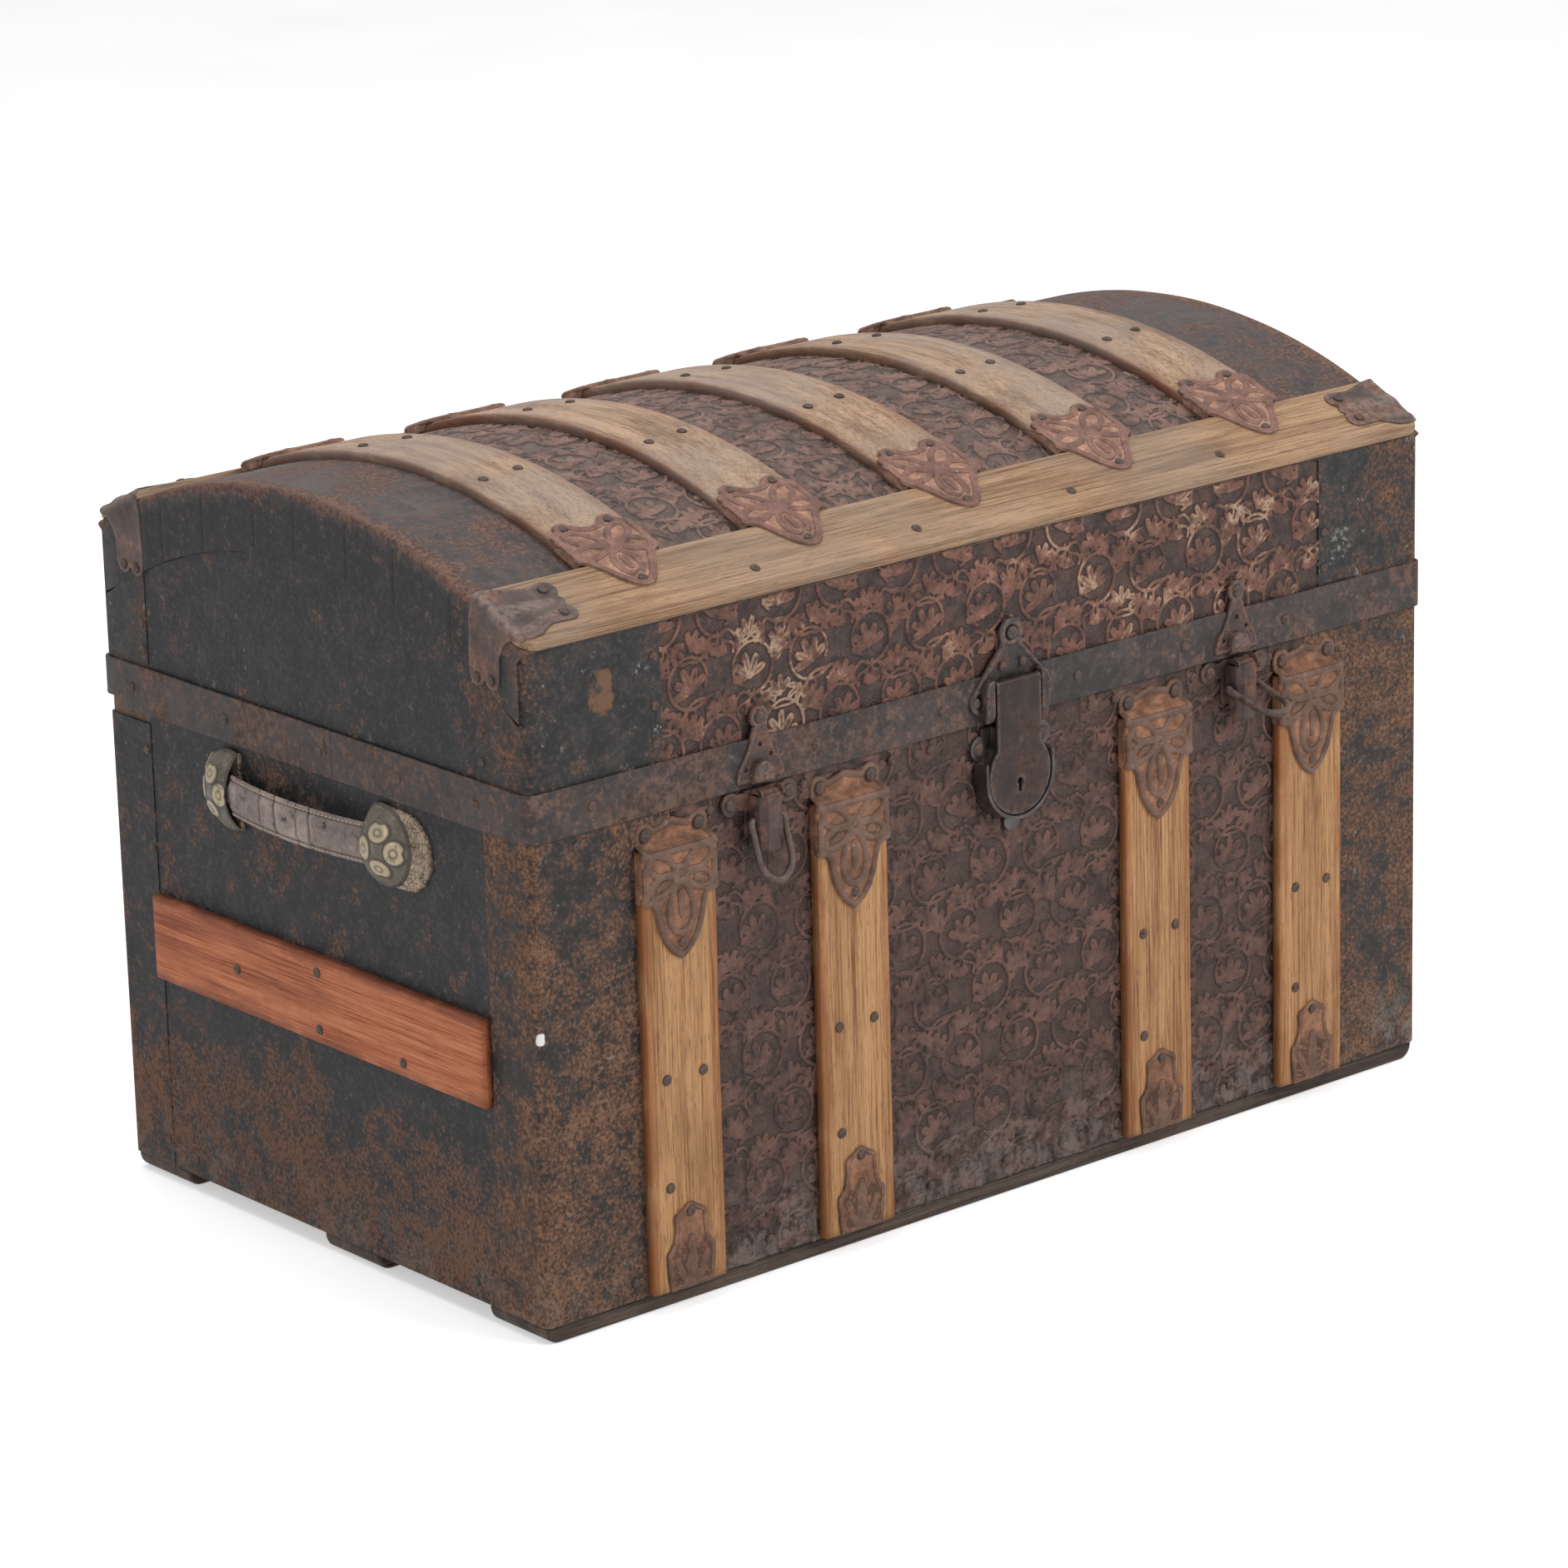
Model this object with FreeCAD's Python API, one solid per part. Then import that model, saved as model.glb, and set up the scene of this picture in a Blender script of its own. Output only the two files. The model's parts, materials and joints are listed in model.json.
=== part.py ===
import FreeCAD, Part
import math
import os

# Dome top trunk. Millimetres, +Z up. X runs along the front, Y runs from the front (negative)
# to the back, and the origin lies on the floor under the middle of the box.

os.makedirs("parts", exist_ok=True)
Vector = FreeCAD.Vector
LEFT, RIGHT = -1, 1
FRONT, BACK = -1, 1

# ---------------------------------------------------------------- carcass of the body and lid
CARCASS_LENGTH = 757.0          # over the end boards
CARCASS_DEPTH = 440.0           # over the front and back boards
BODY_HEIGHT = 316.0             # underside of the bottom board to the seam
LID_WALL_HEIGHT = 114.0         # seam to the shoulder of the dome
DOME_RISE = 57.0                # shoulder to crest, over the staves
BOARD_THICKNESS = 12.0
BOTTOM_THICKNESS = 10.0
CARCASS_CORNER_RADIUS = 4.0
STAVE_THICKNESS = 8.0
STAVE_COUNT = 9                 # narrow staves between the two shoulder staves
SHOULDER_STAVE_RUN = 50.0       # level run of a shoulder stave
LINING_THICKNESS = 0.6
LINING_TOP_GAP = 0.5
CLEAT_HEIGHT = 20.0
CLEAT_THICKNESS = 10.0
CLEAT_LENGTH = 360.0
CLEAT_DROP = 70.0               # seam to the cleat's top

# ---------------------------------------------------------------- runners
RUNNER_HEIGHT = 12.0
RUNNER_WIDTH = 58.0
RUNNER_INSET = 1.0              # from the carcass face to the outer runners
RUNNER_END_RADIUS = 10.0
MIDDLE_RUNNER_Y = -18.0

# ---------------------------------------------------------------- sheet iron
SKIN = 1.6                      # embossed sheets with their relief, and lapped plain wraps
END_SKIN = 1.0                  # plain end and back sheets
BODY_WRAP_END_LEG = 44.0
BACK_IRON_LEG = 45.0
BACK_IRON_DROP = 12.0           # seam to the top of the back corner irons
LID_WRAP_END_LEG = 47.0
LID_WRAP_FRONT_LEG_LEFT = 102.5
LID_WRAP_FRONT_LEG_RIGHT = 93.0
FLANGE_DEPTH = 42.0             # dome cover's flange down the end

# ---------------------------------------------------------------- iron band of the lid
BAND_HEIGHT = 31.0
BAND_THICKNESS = 2.0
BAND_OVERHANG = 5.0             # below the seam
BAND_CLEARANCE = 0.3            # to the sheets of the body
BAND_JOINT_Y = -26.5            # where the front and back bands meet on the ends
BAND_BACK_LIFT = 0.5            # back band's lower edge above the seam
BAND_CUT_START = 26.0           # from the back face to the slanted cut of the band
BAND_CUT_RUN = 10.0

# ---------------------------------------------------------------- wood slats
FRONT_SLAT_WIDTH = 58.0
FRONT_SLAT_THICKNESS = 7.0
OUTER_FRONT_SLAT_X = 271.5
INNER_FRONT_SLAT_X = 131.5
FRONT_SLAT_FOOT = 2.0           # above the underside of the body
FRONT_SLAT_DROP = 27.0          # seam to the top of a front slat
END_SLAT_HEIGHT = 57.0
END_SLAT_THICKNESS = 7.0
END_SLAT_DROP = 154.5           # seam to the middle of an end slat
END_SLAT_GAP = 1.0              # to the wrap and the iron beside it
SHOULDER_SLAT_WIDTH = 55.0
SHOULDER_SLAT_THICKNESS = 6.0
SHOULDER_SLAT_OVERHANG = 1.8    # past the front sheet
SHOULDER_SLAT_CORNER = 12.0     # rounding of its outer corners in plan
SHOULDER_SLAT_EDGE = 3.5        # rounding of its top edges
DOME_SLAT_WIDTH = 62.0
DOME_SLAT_THICKNESS = 6.5
DOME_SLAT_SPACING = 132.0
DOME_SLAT_SHIFT = -3.0          # middle slat off the middle of the lid
DOME_SLAT_COUNT = 5
SLAT_END_GAP = 0.3              # dome slat to shoulder slat

# ---------------------------------------------------------------- clamps and caps of stamped iron
CLAMP_THICKNESS = 1.5
CLAMP_MARGIN = 1.0              # clamp over the slat's edge
CLAMP_PLATE_HEIGHT = 34.0
CLAMP_TIP_REACH = 40.0          # from the full width down to the tip
CLAMP_TIP_RADIUS = 8.5
CLAMP_LOBE_RADIUS = 8.0
CLAMP_LOBE_SPREAD = 42.0
CLAMP_FLANGE_HEIGHT = 7.5
FOOT_CLAMP_WIDTH = 39.0
FOOT_CLAMP_HEIGHT = 56.0
DOME_CLAMP_BACK_REACH = 31.5    # plan reach from the slat joint up to the lobes
DOME_CLAMP_SHOULDER = 26.0      # plan reach of the full width up the dome
DOME_CLAMP_TIP_REACH = 29.0     # plan reach from the slat joint down to the tip
DOME_CLAMP_LOBE_RADIUS = 7.0
DOME_CLAMP_LOBE_SPREAD = 35.0
DOME_CLAMP_TIP_RADIUS = 6.5
CAP_THICKNESS = 1.6
CAP_LENGTH = 43.0               # end of the slat to the rivets of the cap's top
CAP_FRONT_MARGIN = 3.0          # slat's front edge left bare beside the cap
CAP_LOW_RIVET = 20.4            # up the slope of the slat
CAP_HIGH_RIVET = 42.5
CAP_LOBE_RADIUS = 7.5
CAP_WAIST = 24.0                # end of the slat to the hollow in the cap's front edge
CAP_LEAF_FRONT = 14.0           # front of the carcass to the leaf on the end
CAP_LEAF_WIDTH = 36.0
CAP_LEAF_DROP = 22.0            # shoulder to the leaf's rivets

# ---------------------------------------------------------------- hinges at the back
HINGE_X = 230.0
HINGE_WIDTH = 50.0
HINGE_LEAF = 1.6
HINGE_BODY_LEAF_HEIGHT = 52.0
HINGE_LID_LEAF_TOP = 24.0
KNUCKLE_RADIUS = 3.6
KNUCKLE_GAP = 0.5               # knuckle to band, and between knuckles
HINGE_PIN_RADIUS = 1.5
PIN_CLEARANCE = 0.08
PIN_HEAD_RADIUS = 2.6
PIN_HEAD_THICKNESS = 1.0
HINGE_WEB = 12.0                # height of the bent web beside a knuckle

# ---------------------------------------------------------------- hasp lock
LOCK_X = 7.0
PLATE_THICKNESS = 2.2           # hasp plate and latch catches
HASP_TOP_LOBE_Z = 51.0          # above the seam
HASP_TOP_LOBE_RADIUS = 10.0
HASP_SIDE_LOBE_X = 26.5
HASP_SIDE_LOBE_Z = 10.5
HASP_SIDE_LOBE_RADIUS = 9.5
HASP_PLATE_FOOT = 4.0           # below the seam
HASP_CHEEK_WIDTH = 7.0
HASP_AXIS_Z = 20.0              # above the seam
HASP_BARREL_RADIUS = 3.2
HASP_BARREL_GAP = 0.3
HASP_PIN_RADIUS = 1.4
HASP_NECK_WIDTH = 38.0
HASP_SIDE_GAP = 0.6             # neck to cheeks, and round part to the rim of the case
HASP_THICKNESS = 2.6
HASP_ROUND_Z = 41.3             # below the seam
HASP_ROUND_RADIUS = 26.5
KEYHOLE_DROP = 4.3              # below the middle of the round part
KEYHOLE_RADIUS = 2.2
KEYHOLE_SLOT = 2.0
KEYHOLE_LENGTH = 7.0
CASE_PLATE = 1.8
CASE_TOP = 8.0                 # below the seam
CASE_FACE_GAP = 0.6             # hasp to the housing of the lock
CASE_NECK_WIDTH = 34.0
CASE_RIM_BASE = 31.2
CASE_RIM_TOP = 29.4
CASE_RIM_HORN = 12.0            # rim's straight sides above the round part's middle
CASE_EAR_X = 25.5
CASE_EAR_Z = 21.0               # below the seam
CASE_EAR_RADIUS = 8.5
CASE_FOOT_LOBE_Z = 74.0
CASE_FOOT_LOBE_RADIUS = 6.5
STAPLE_Z = 19.5                 # below the seam
STAPLE_WIDTH = 6.4
STAPLE_HEIGHT = 11.0
STAPLE_EYE = 6.0
STAPLE_REACH = 6.6
STAPLE_TIP = 1.5
GROOVE_WIDTH = 9.0
GROOVE_MARGIN = 2.0             # below the staple
BOLT_HEIGHT = 4.4
BOLT_THICKNESS = 2.6
BOLT_LENGTH = 10.2
BOLT_CLEARANCE = 0.4
BOLT_TRAVEL = 9.0
BOLT_FACE_DEPTH = 1.6           # housing's front to the bolt's slot

# ---------------------------------------------------------------- draw latches
LATCH_X_LEFT = -202.0
LATCH_X_RIGHT = 206.0
CATCH_LOBE_Z = 39.5             # above the seam
CATCH_LOBE_RADIUS = 7.0
CATCH_HALF_WIDTH = 19.0
CATCH_NECK_HALF_WIDTH = 6.0
CATCH_FOOT = 1.5                # below the seam
NUB_RADIUS = 8.0
NUB_Z = 3.0                     # middle of the nub's arch above the seam
NUB_FOOT = 0.5
NUB_REACH = 6.0
LATCH_BASE_THICKNESS = 2.0
LATCH_BASE_WIDTH = 24.0
LATCH_BASE_TOP = 6.5            # below the seam
LATCH_BASE_HEIGHT = 30.0
LATCH_EAR_X = 23.0
LATCH_EAR_Z = 13.0
LATCH_EAR_RADIUS = 7.5
LEVER_WIDTH = 18.0
LEVER_WALL = 1.5
LEVER_LENGTH = 32.0
LEVER_AXIS_Z = 8.0              # below the seam
LEVER_AXIS_OUT = 12.5           # from the carcass face
LEVER_BARREL_RADIUS = 4.5
LEVER_BACK = 8.2
LEVER_LUG_HALF_HEIGHT = 2.1
LEVER_SIDE_GAP = 0.5
LEVER_PIN_RADIUS = 1.4
BAIL_AXIS_Z = 24.0              # below the seam
BAIL_AXIS_OUT = 10.0
BAIL_WIRE_RADIUS = 2.0
BAIL_STUB_RADIUS = 1.6
BAIL_STUB_CLEARANCE = 0.35
BAIL_GAP = 2.0
BAIL_REACH = 40.0
BAIL_SWING = {LEFT: 17.0, RIGHT: 74.0}      # degrees out from hanging, at rest

# ---------------------------------------------------------------- end handles
HANDLE_DROP = 36.0              # seam to the middle of the strap
HANDLE_MIDDLE_Y = 3.5
HANDLE_MOUTH_GAP = 143.0        # between the mouths of the two caps
HANDLE_PAD_THICKNESS = 2.0
HANDLE_PAD_RADIUS = 26.0
REAR_PAD_SHIFT = 4.0            # pad's middle past the cap's middle, away from the strap
FRONT_PAD_SHIFT = 20.0
HANDLE_CAP_RADIUS = 28.0
HANDLE_CAP_HEIGHT = 14.0
HANDLE_CAP_WALL = 1.2
HANDLE_CAP_INSET = 10.0         # mouth to the cap's middle
STRAP_WIDTH = 27.0
STRAP_THICKNESS = 5.0
STRAP_AXIS_OUT = 9.5
STRAP_BOW = 7.0
STRAP_MOUTH_GAP = 0.6
TONGUE_WIDTH = 11.0
TONGUE_THICKNESS = 4.0
TONGUE_LENGTH = 12.0

# ---------------------------------------------------------------- nails and rivets
NAIL_RADIUS = 3.4
NAIL_HEIGHT = 1.2
TACK_RADIUS = 2.4
TACK_HEIGHT = 0.9
RIVET_RADIUS = 4.4
RIVET_HEIGHT = 1.8
STITCH_PITCH = 62.0             # between tacks of a long row
TACK_SIDES = 8                  # cut tacks have faceted heads
TACK_TAPER = 0.55               # flat top of a tack's head, as a share of its width
SHOULDER_NAIL_SHIFT = 12.5      # off the middle between two dome slats
SHOULDER_NAIL_UP = 19.0         # up the slope of the shoulder slat
DOME_NAIL_Y = 59.5              # nails of a dome slat, from the middle of the lid
DOME_NAIL_STAGGER = 2.5
SLAT_NAIL_ABOVE_CLAMP = 12.0    # foot clamp's top to the lowest nail of a front slat
SLAT_NAIL_DROP = 2.5            # middle nails below halfway between that nail and the top clamp
BACK_SLAT_NAIL_INSET = 30.0
END_SLAT_NAIL_RUN = 87.5        # between the nails of an end slat
END_SLAT_NAIL_SHIFT = -6.0
STITCH_TOP = 30.0               # seam to the first tack of a wrap
STITCH_FOOT = 18.0              # underside of the body to the last one
FOOT_TACK_RISE = 12.0
FOOT_TACK_END_INSET = 16.0      # end of the carcass to the first foot tack
FOOT_TACK_SIDE_INSET = 70.0     # front and back of the carcass to the foot tacks of an end
RIM_TACK_DROP = 13.0            # seam to the tacks under the band
RIM_TACK_END_INSET = 33.5
RIM_TACK_SHIFTS = ((31.5,), (-33.5, 39.5, 71.5), (-53.5, -31.5, 38.5), (-32.5,))
BAND_RIVET_END_INSET = 45.0     # end of the carcass to the band's first rivet
BAND_RIVET_FROM_LATCH = 46.0
BAND_RIVET_FROM_LOCK = 58.0
BAND_RIVETS_FROM_JOINT = (-68.5, 12.5, 113.5)
BAND_RIVET_CORNER_INSET = 47.0
BAND_RIVET_BACK_INSET = 30.0
BAND_RIVET_FROM_HINGE = 90.0
HINGE_RIVET_MARGIN = 10.0
LID_TACKS_FROM_SHOULDER = (52.0, 21.0)
LID_TACK_FROM_BAND = 12.0
LID_TACK_FROM_FLANGE = 16.0

# ---------------------------------------------------------------- places worked out from the above
HALF_LENGTH = CARCASS_LENGTH / 2
HALF_DEPTH = CARCASS_DEPTH / 2
BODY_FOOT = RUNNER_HEIGHT
SEAM = BODY_FOOT + BODY_HEIGHT
SHOULDER = SEAM + LID_WALL_HEIGHT
DOME_RADIUS = (HALF_DEPTH ** 2 + DOME_RISE ** 2) / (2 * DOME_RISE)
DOME_MIDDLE_Z = SHOULDER + DOME_RISE - DOME_RADIUS
BAND_INNER = SKIN + BAND_CLEARANCE
BAND_OUTER = BAND_INNER + BAND_THICKNESS
HARDWARE_FACE = BAND_OUTER + PLATE_THICKNESS
SLAT_FACE = SKIN + FRONT_SLAT_THICKNESS
HINGE_AXIS_Y = HALF_DEPTH + BAND_OUTER + KNUCKLE_GAP + KNUCKLE_RADIUS
HASP_AXIS_OUT = HARDWARE_FACE + HASP_BARREL_GAP + HASP_BARREL_RADIUS
HASP_FACE = HASP_AXIS_OUT + HASP_BARREL_RADIUS
HASP_BACK = HASP_FACE - HASP_THICKNESS
CASE_FACE = HASP_BACK - CASE_FACE_GAP
LID_WRAP_FRONT_LEG = {LEFT: LID_WRAP_FRONT_LEG_LEFT, RIGHT: LID_WRAP_FRONT_LEG_RIGHT}
LATCH_X = {LEFT: LATCH_X_LEFT, RIGHT: LATCH_X_RIGHT}
FRONT_SLATS_X = (-OUTER_FRONT_SLAT_X, -INNER_FRONT_SLAT_X, INNER_FRONT_SLAT_X, OUTER_FRONT_SLAT_X)
BAND_TOP = BAND_HEIGHT - BAND_OVERHANG


# ---------------------------------------------------------------- plain helpers
def box(x0, x1, y0, y1, z0, z1):
    return Part.makeBox(x1 - x0, y1 - y0, z1 - z0, Vector(x0, y0, z0))


def cylinder(radius, length, start, direction):
    return Part.makeCylinder(radius, length, start, direction)


def fuse(shapes):
    return shapes[0].multiFuse(shapes[1:]).removeSplitter()


def cut_all(shape, tools):
    for tool in tools:
        shape = shape.cut(tool)
    return shape


def mirror_y(shape):
    return shape.mirror(Vector(0, 0, 0), Vector(0, 1, 0))


def mirror_x(shape):
    return shape.mirror(Vector(0, 0, 0), Vector(1, 0, 0))


def prism(points, step):
    """Solid swept from a closed flat outline by one straight step."""
    return Part.Face(Part.makePolygon(points + [points[0]])).extrude(step)


def along_x(outline, x0, x1):
    """Outline of (y, z) points swept along X."""
    return prism([Vector(x0, y, z) for y, z in outline], Vector(x1 - x0, 0, 0))


def on_front(outline, out0, out1):
    """Outline of (x, height above the seam) swept outward from the carcass's front face."""
    y0 = -(HALF_DEPTH + out0)
    return prism([Vector(x, y0, SEAM + z) for x, z in outline], Vector(0, out0 - out1, 0))


def front_disc(x, z, radius, out0, out1):
    start = Vector(x, -(HALF_DEPTH + out0), SEAM + z)
    return cylinder(radius, out1 - out0, start, Vector(0, -1, 0))


def front_box(x0, x1, z0, z1, out0, out1):
    return box(x0, x1, -(HALF_DEPTH + out1), -(HALF_DEPTH + out0), SEAM + z0, SEAM + z1)


def mirrored_outline(right_half):
    """Closed outline from its right half, listed from top to bottom."""
    return right_half + [(-x, z) for x, z in reversed(right_half)]


def solids_of(shapes):
    found = []
    for shape in shapes:
        found.extend(shape.Solids)
    return found


def save(name, *shapes):
    Part.makeCompound(solids_of(shapes)).exportStep("parts/" + name + ".step")


# ---------------------------------------------------------------- carcass shapes
def rounded_block(offset, z0, z1):
    """The carcass's plan, grown by offset, with its four upright edges rounded."""
    half_x = HALF_LENGTH + offset
    half_y = HALF_DEPTH + offset
    block = box(-half_x, half_x, -half_y, half_y, z0, z1)
    upright = [e for e in block.Edges if abs(e.Vertexes[0].Z - e.Vertexes[1].Z) > 1]
    return block.makeFillet(CARCASS_CORNER_RADIUS + offset, upright)


def skin_ring(inner, outer, z0, z1):
    return rounded_block(outer, z0, z1).cut(rounded_block(inner, z0 - 1, z1 + 1))


def facet_corners():
    """Corners of the dome's facets on the outside of the staves, front to back."""
    shoulder = math.asin(HALF_DEPTH / DOME_RADIUS)
    inner = math.asin((HALF_DEPTH - SHOULDER_STAVE_RUN) / DOME_RADIUS)
    angles = [-shoulder]
    for index in range(STAVE_COUNT + 1):
        angles.append(-inner + index * 2 * inner / STAVE_COUNT)
    angles.append(shoulder)
    return [dome_point(angle, DOME_RADIUS) for angle in angles]


def dome_point(angle, radius):
    return (radius * math.sin(angle), DOME_MIDDLE_Z + radius * math.cos(angle))


def facet_line(start, end, offset):
    """A facet's line shifted outward, as a height at y = 0 and a slope."""
    slope = (end[1] - start[1]) / (end[0] - start[0])
    shifted = offset * math.hypot(1, slope)
    return start[1] - slope * start[0] + shifted, slope


def dome_line(offset, reach):
    """The faceted dome shifted outward by offset, as (y, z) points between y = -reach and reach."""
    corners = facet_corners()
    lines = [facet_line(a, b, offset) for a, b in zip(corners, corners[1:])]
    points = [(-reach, lines[0][0] - lines[0][1] * reach)]
    for (height_a, slope_a), (height_b, slope_b) in zip(lines, lines[1:]):
        y = (height_b - height_a) / (slope_a - slope_b)
        if -reach < y < reach:
            points.append((y, height_a + slope_a * y))
    points.append((reach, lines[-1][0] + lines[-1][1] * reach))
    return points


def shoulder_height(offset, y):
    """Height of the shoulder facet, shifted outward, at a distance y from the middle."""
    corners = facet_corners()
    height, slope = facet_line(corners[0], corners[1], offset)
    return height - slope * abs(y)


def under_dome(offset, reach, x0, x1):
    """Block from the seam up to the faceted dome."""
    return along_x([(-reach, SEAM)] + dome_line(offset, reach) + [(reach, SEAM)], x0, x1)


# ---------------------------------------------------------------- boards
def body_boards():
    block = rounded_block(0, BODY_FOOT, SEAM)
    inner_x = HALF_LENGTH - BOARD_THICKNESS
    inner_y = HALF_DEPTH - BOARD_THICKNESS
    left = block.common(box(-HALF_LENGTH, -inner_x, -HALF_DEPTH, HALF_DEPTH, BODY_FOOT, SEAM))
    save("left_board", left)
    save("right_board", mirror_x(left))
    save("front_board", box(-inner_x, inner_x, -HALF_DEPTH, -inner_y, BODY_FOOT, SEAM))
    save("back_board", box(-inner_x, inner_x, inner_y, HALF_DEPTH, BODY_FOOT, SEAM))
    floor_top = BODY_FOOT + BOTTOM_THICKNESS
    save("bottom_board", box(-inner_x, inner_x, -inner_y, inner_y, BODY_FOOT, floor_top))


def body_lining():
    inner_x = HALF_LENGTH - BOARD_THICKNESS
    inner_y = HALF_DEPTH - BOARD_THICKNESS
    floor = BODY_FOOT + BOTTOM_THICKNESS
    top = SEAM - LINING_TOP_GAP
    outer = box(-inner_x, inner_x, -inner_y, inner_y, floor, top)
    x = inner_x - LINING_THICKNESS
    y = inner_y - LINING_THICKNESS
    save("body_lining", outer.cut(box(-x, x, -y, y, floor + LINING_THICKNESS, SEAM)))


def tray_cleats():
    face = HALF_LENGTH - BOARD_THICKNESS - LINING_THICKNESS
    top = SEAM - CLEAT_DROP
    half = CLEAT_LENGTH / 2
    left = box(-face, -face + CLEAT_THICKNESS, -half, half, top - CLEAT_HEIGHT, top)
    save("tray_cleats", left, mirror_x(left))


def lid_boards():
    inner_x = HALF_LENGTH - BOARD_THICKNESS
    inner_y = HALF_DEPTH - BOARD_THICKNESS
    crest = SHOULDER + DOME_RISE
    block = rounded_block(0, SEAM, crest)
    end = under_dome(-STAVE_THICKNESS, HALF_DEPTH, -HALF_LENGTH, -inner_x).common(block)
    save("lid_end_boards", end, mirror_x(end))
    outline = [(-HALF_DEPTH, SEAM), (-inner_y, SEAM)]
    outline.append((-inner_y, shoulder_height(-STAVE_THICKNESS, inner_y)))
    outline.append((-HALF_DEPTH, shoulder_height(-STAVE_THICKNESS, HALF_DEPTH)))
    front = along_x(outline, -inner_x, inner_x)
    save("lid_front_board", front)
    save("lid_back_board", mirror_y(front))


def dome_staves():
    outer = dome_line(0, HALF_DEPTH)
    inner = dome_line(-STAVE_THICKNESS, HALF_DEPTH)
    block = rounded_block(0, SEAM, SHOULDER + DOME_RISE)
    staves = []
    for index in range(len(outer) - 1):
        outline = [outer[index], outer[index + 1], inner[index + 1], inner[index]]
        stave = along_x(outline, -HALF_LENGTH, HALF_LENGTH)
        staves.append(stave.common(block))
    save("dome_staves", *staves)


def lid_lining():
    x = HALF_LENGTH - BOARD_THICKNESS
    y = HALF_DEPTH - BOARD_THICKNESS
    outer = under_dome(-STAVE_THICKNESS, y, -x, x)
    x = x - LINING_THICKNESS
    y = y - LINING_THICKNESS
    inner = under_dome(-STAVE_THICKNESS - LINING_THICKNESS, y, -x, x)
    save("lid_lining", outer.cut(inner))


def runners():
    outer_y = HALF_DEPTH - RUNNER_INSET - RUNNER_WIDTH / 2
    made = []
    for y in (-outer_y, MIDDLE_RUNNER_Y, outer_y):
        half = RUNNER_WIDTH / 2
        runner = box(-HALF_LENGTH, HALF_LENGTH, y - half, y + half, 0, RUNNER_HEIGHT)
        feet = [e for e in runner.Edges if e.BoundBox.ZMax < 1 and e.BoundBox.XLength < 1]
        made.append(runner.makeFillet(RUNNER_END_RADIUS, feet))
    save("runners", *made)


# ---------------------------------------------------------------- sheet iron of the body
def body_sheets():
    border = OUTER_FRONT_SLAT_X
    front = box(-border, border, -HALF_DEPTH - SKIN, -HALF_DEPTH, BODY_FOOT, SEAM)
    save("front_sheet", front)
    inner_x = HALF_LENGTH - BACK_IRON_LEG
    save("back_sheet", box(-inner_x, inner_x, HALF_DEPTH, HALF_DEPTH + END_SKIN, BODY_FOOT, SEAM))
    y0 = -HALF_DEPTH + BODY_WRAP_END_LEG
    y1 = HALF_DEPTH - BACK_IRON_LEG
    left = box(-HALF_LENGTH - END_SKIN, -HALF_LENGTH, y0, y1, BODY_FOOT, SEAM)
    save("end_sheets", left, mirror_x(left))


def body_corner_wraps():
    ring = skin_ring(0, SKIN, BODY_FOOT, SEAM)
    reach = HALF_LENGTH + SKIN
    y1 = -HALF_DEPTH + BODY_WRAP_END_LEG
    zone = box(-reach, -OUTER_FRONT_SLAT_X, -HALF_DEPTH - SKIN, y1, BODY_FOOT, SEAM)
    left = ring.common(zone)
    save("front_corner_wraps", left, mirror_x(left))


def back_corner_irons():
    top = SEAM - BACK_IRON_DROP
    ring = skin_ring(0, SKIN, BODY_FOOT, top)
    reach = HALF_LENGTH + SKIN
    y0 = HALF_DEPTH - BACK_IRON_LEG
    zone = box(-reach, -HALF_LENGTH + BACK_IRON_LEG, y0, HALF_DEPTH + SKIN, BODY_FOOT, top)
    left = ring.common(zone)
    save("back_corner_irons", left, mirror_x(left))


# ---------------------------------------------------------------- sheet iron of the lid
def lid_sheets():
    top = shoulder_height(0, HALF_DEPTH + SKIN)
    x0 = -HALF_LENGTH + LID_WRAP_FRONT_LEG_LEFT
    x1 = HALF_LENGTH - LID_WRAP_FRONT_LEG_RIGHT
    save("lid_front_sheet", box(x0, x1, -HALF_DEPTH - SKIN, -HALF_DEPTH, SEAM, top))
    inner_x = HALF_LENGTH - LID_WRAP_END_LEG
    save("lid_back_sheet", box(-inner_x, inner_x, HALF_DEPTH, HALF_DEPTH + END_SKIN, SEAM, top))
    reach = HALF_DEPTH - LID_WRAP_END_LEG
    left = under_dome(-FLANGE_DEPTH, reach, -HALF_LENGTH - END_SKIN, -HALF_LENGTH)
    save("lid_end_sheets", left, mirror_x(left))


def lid_corner_wrap(side, end, leg):
    """One bent corner sheet: a leg on the front or back, and a leg on the end under the flange."""
    top = shoulder_height(0, HALF_DEPTH + SKIN)
    ring = skin_ring(0, SKIN, SEAM, top)
    reach_x = HALF_LENGTH + SKIN
    reach_y = HALF_DEPTH + SKIN
    inner_x = HALF_LENGTH - leg
    inner_y = HALF_DEPTH - LID_WRAP_END_LEG
    zone = box(inner_x, reach_x, inner_y, reach_y, SEAM, top)
    above = along_x([(0, SHOULDER * 2)] + upper_right_line(), HALF_LENGTH, reach_x + 1)
    wrap = ring.common(zone).cut(above)
    wrap = wrap if side == RIGHT else mirror_x(wrap)
    return wrap if end == BACK else mirror_y(wrap)


def upper_right_line():
    """The flange's lower line over the back half, closed upward."""
    points = [p for p in dome_line(-FLANGE_DEPTH, HALF_DEPTH) if p[0] > 0]
    return [(0, SHOULDER)] + points + [(HALF_DEPTH, SHOULDER * 2)]


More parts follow.
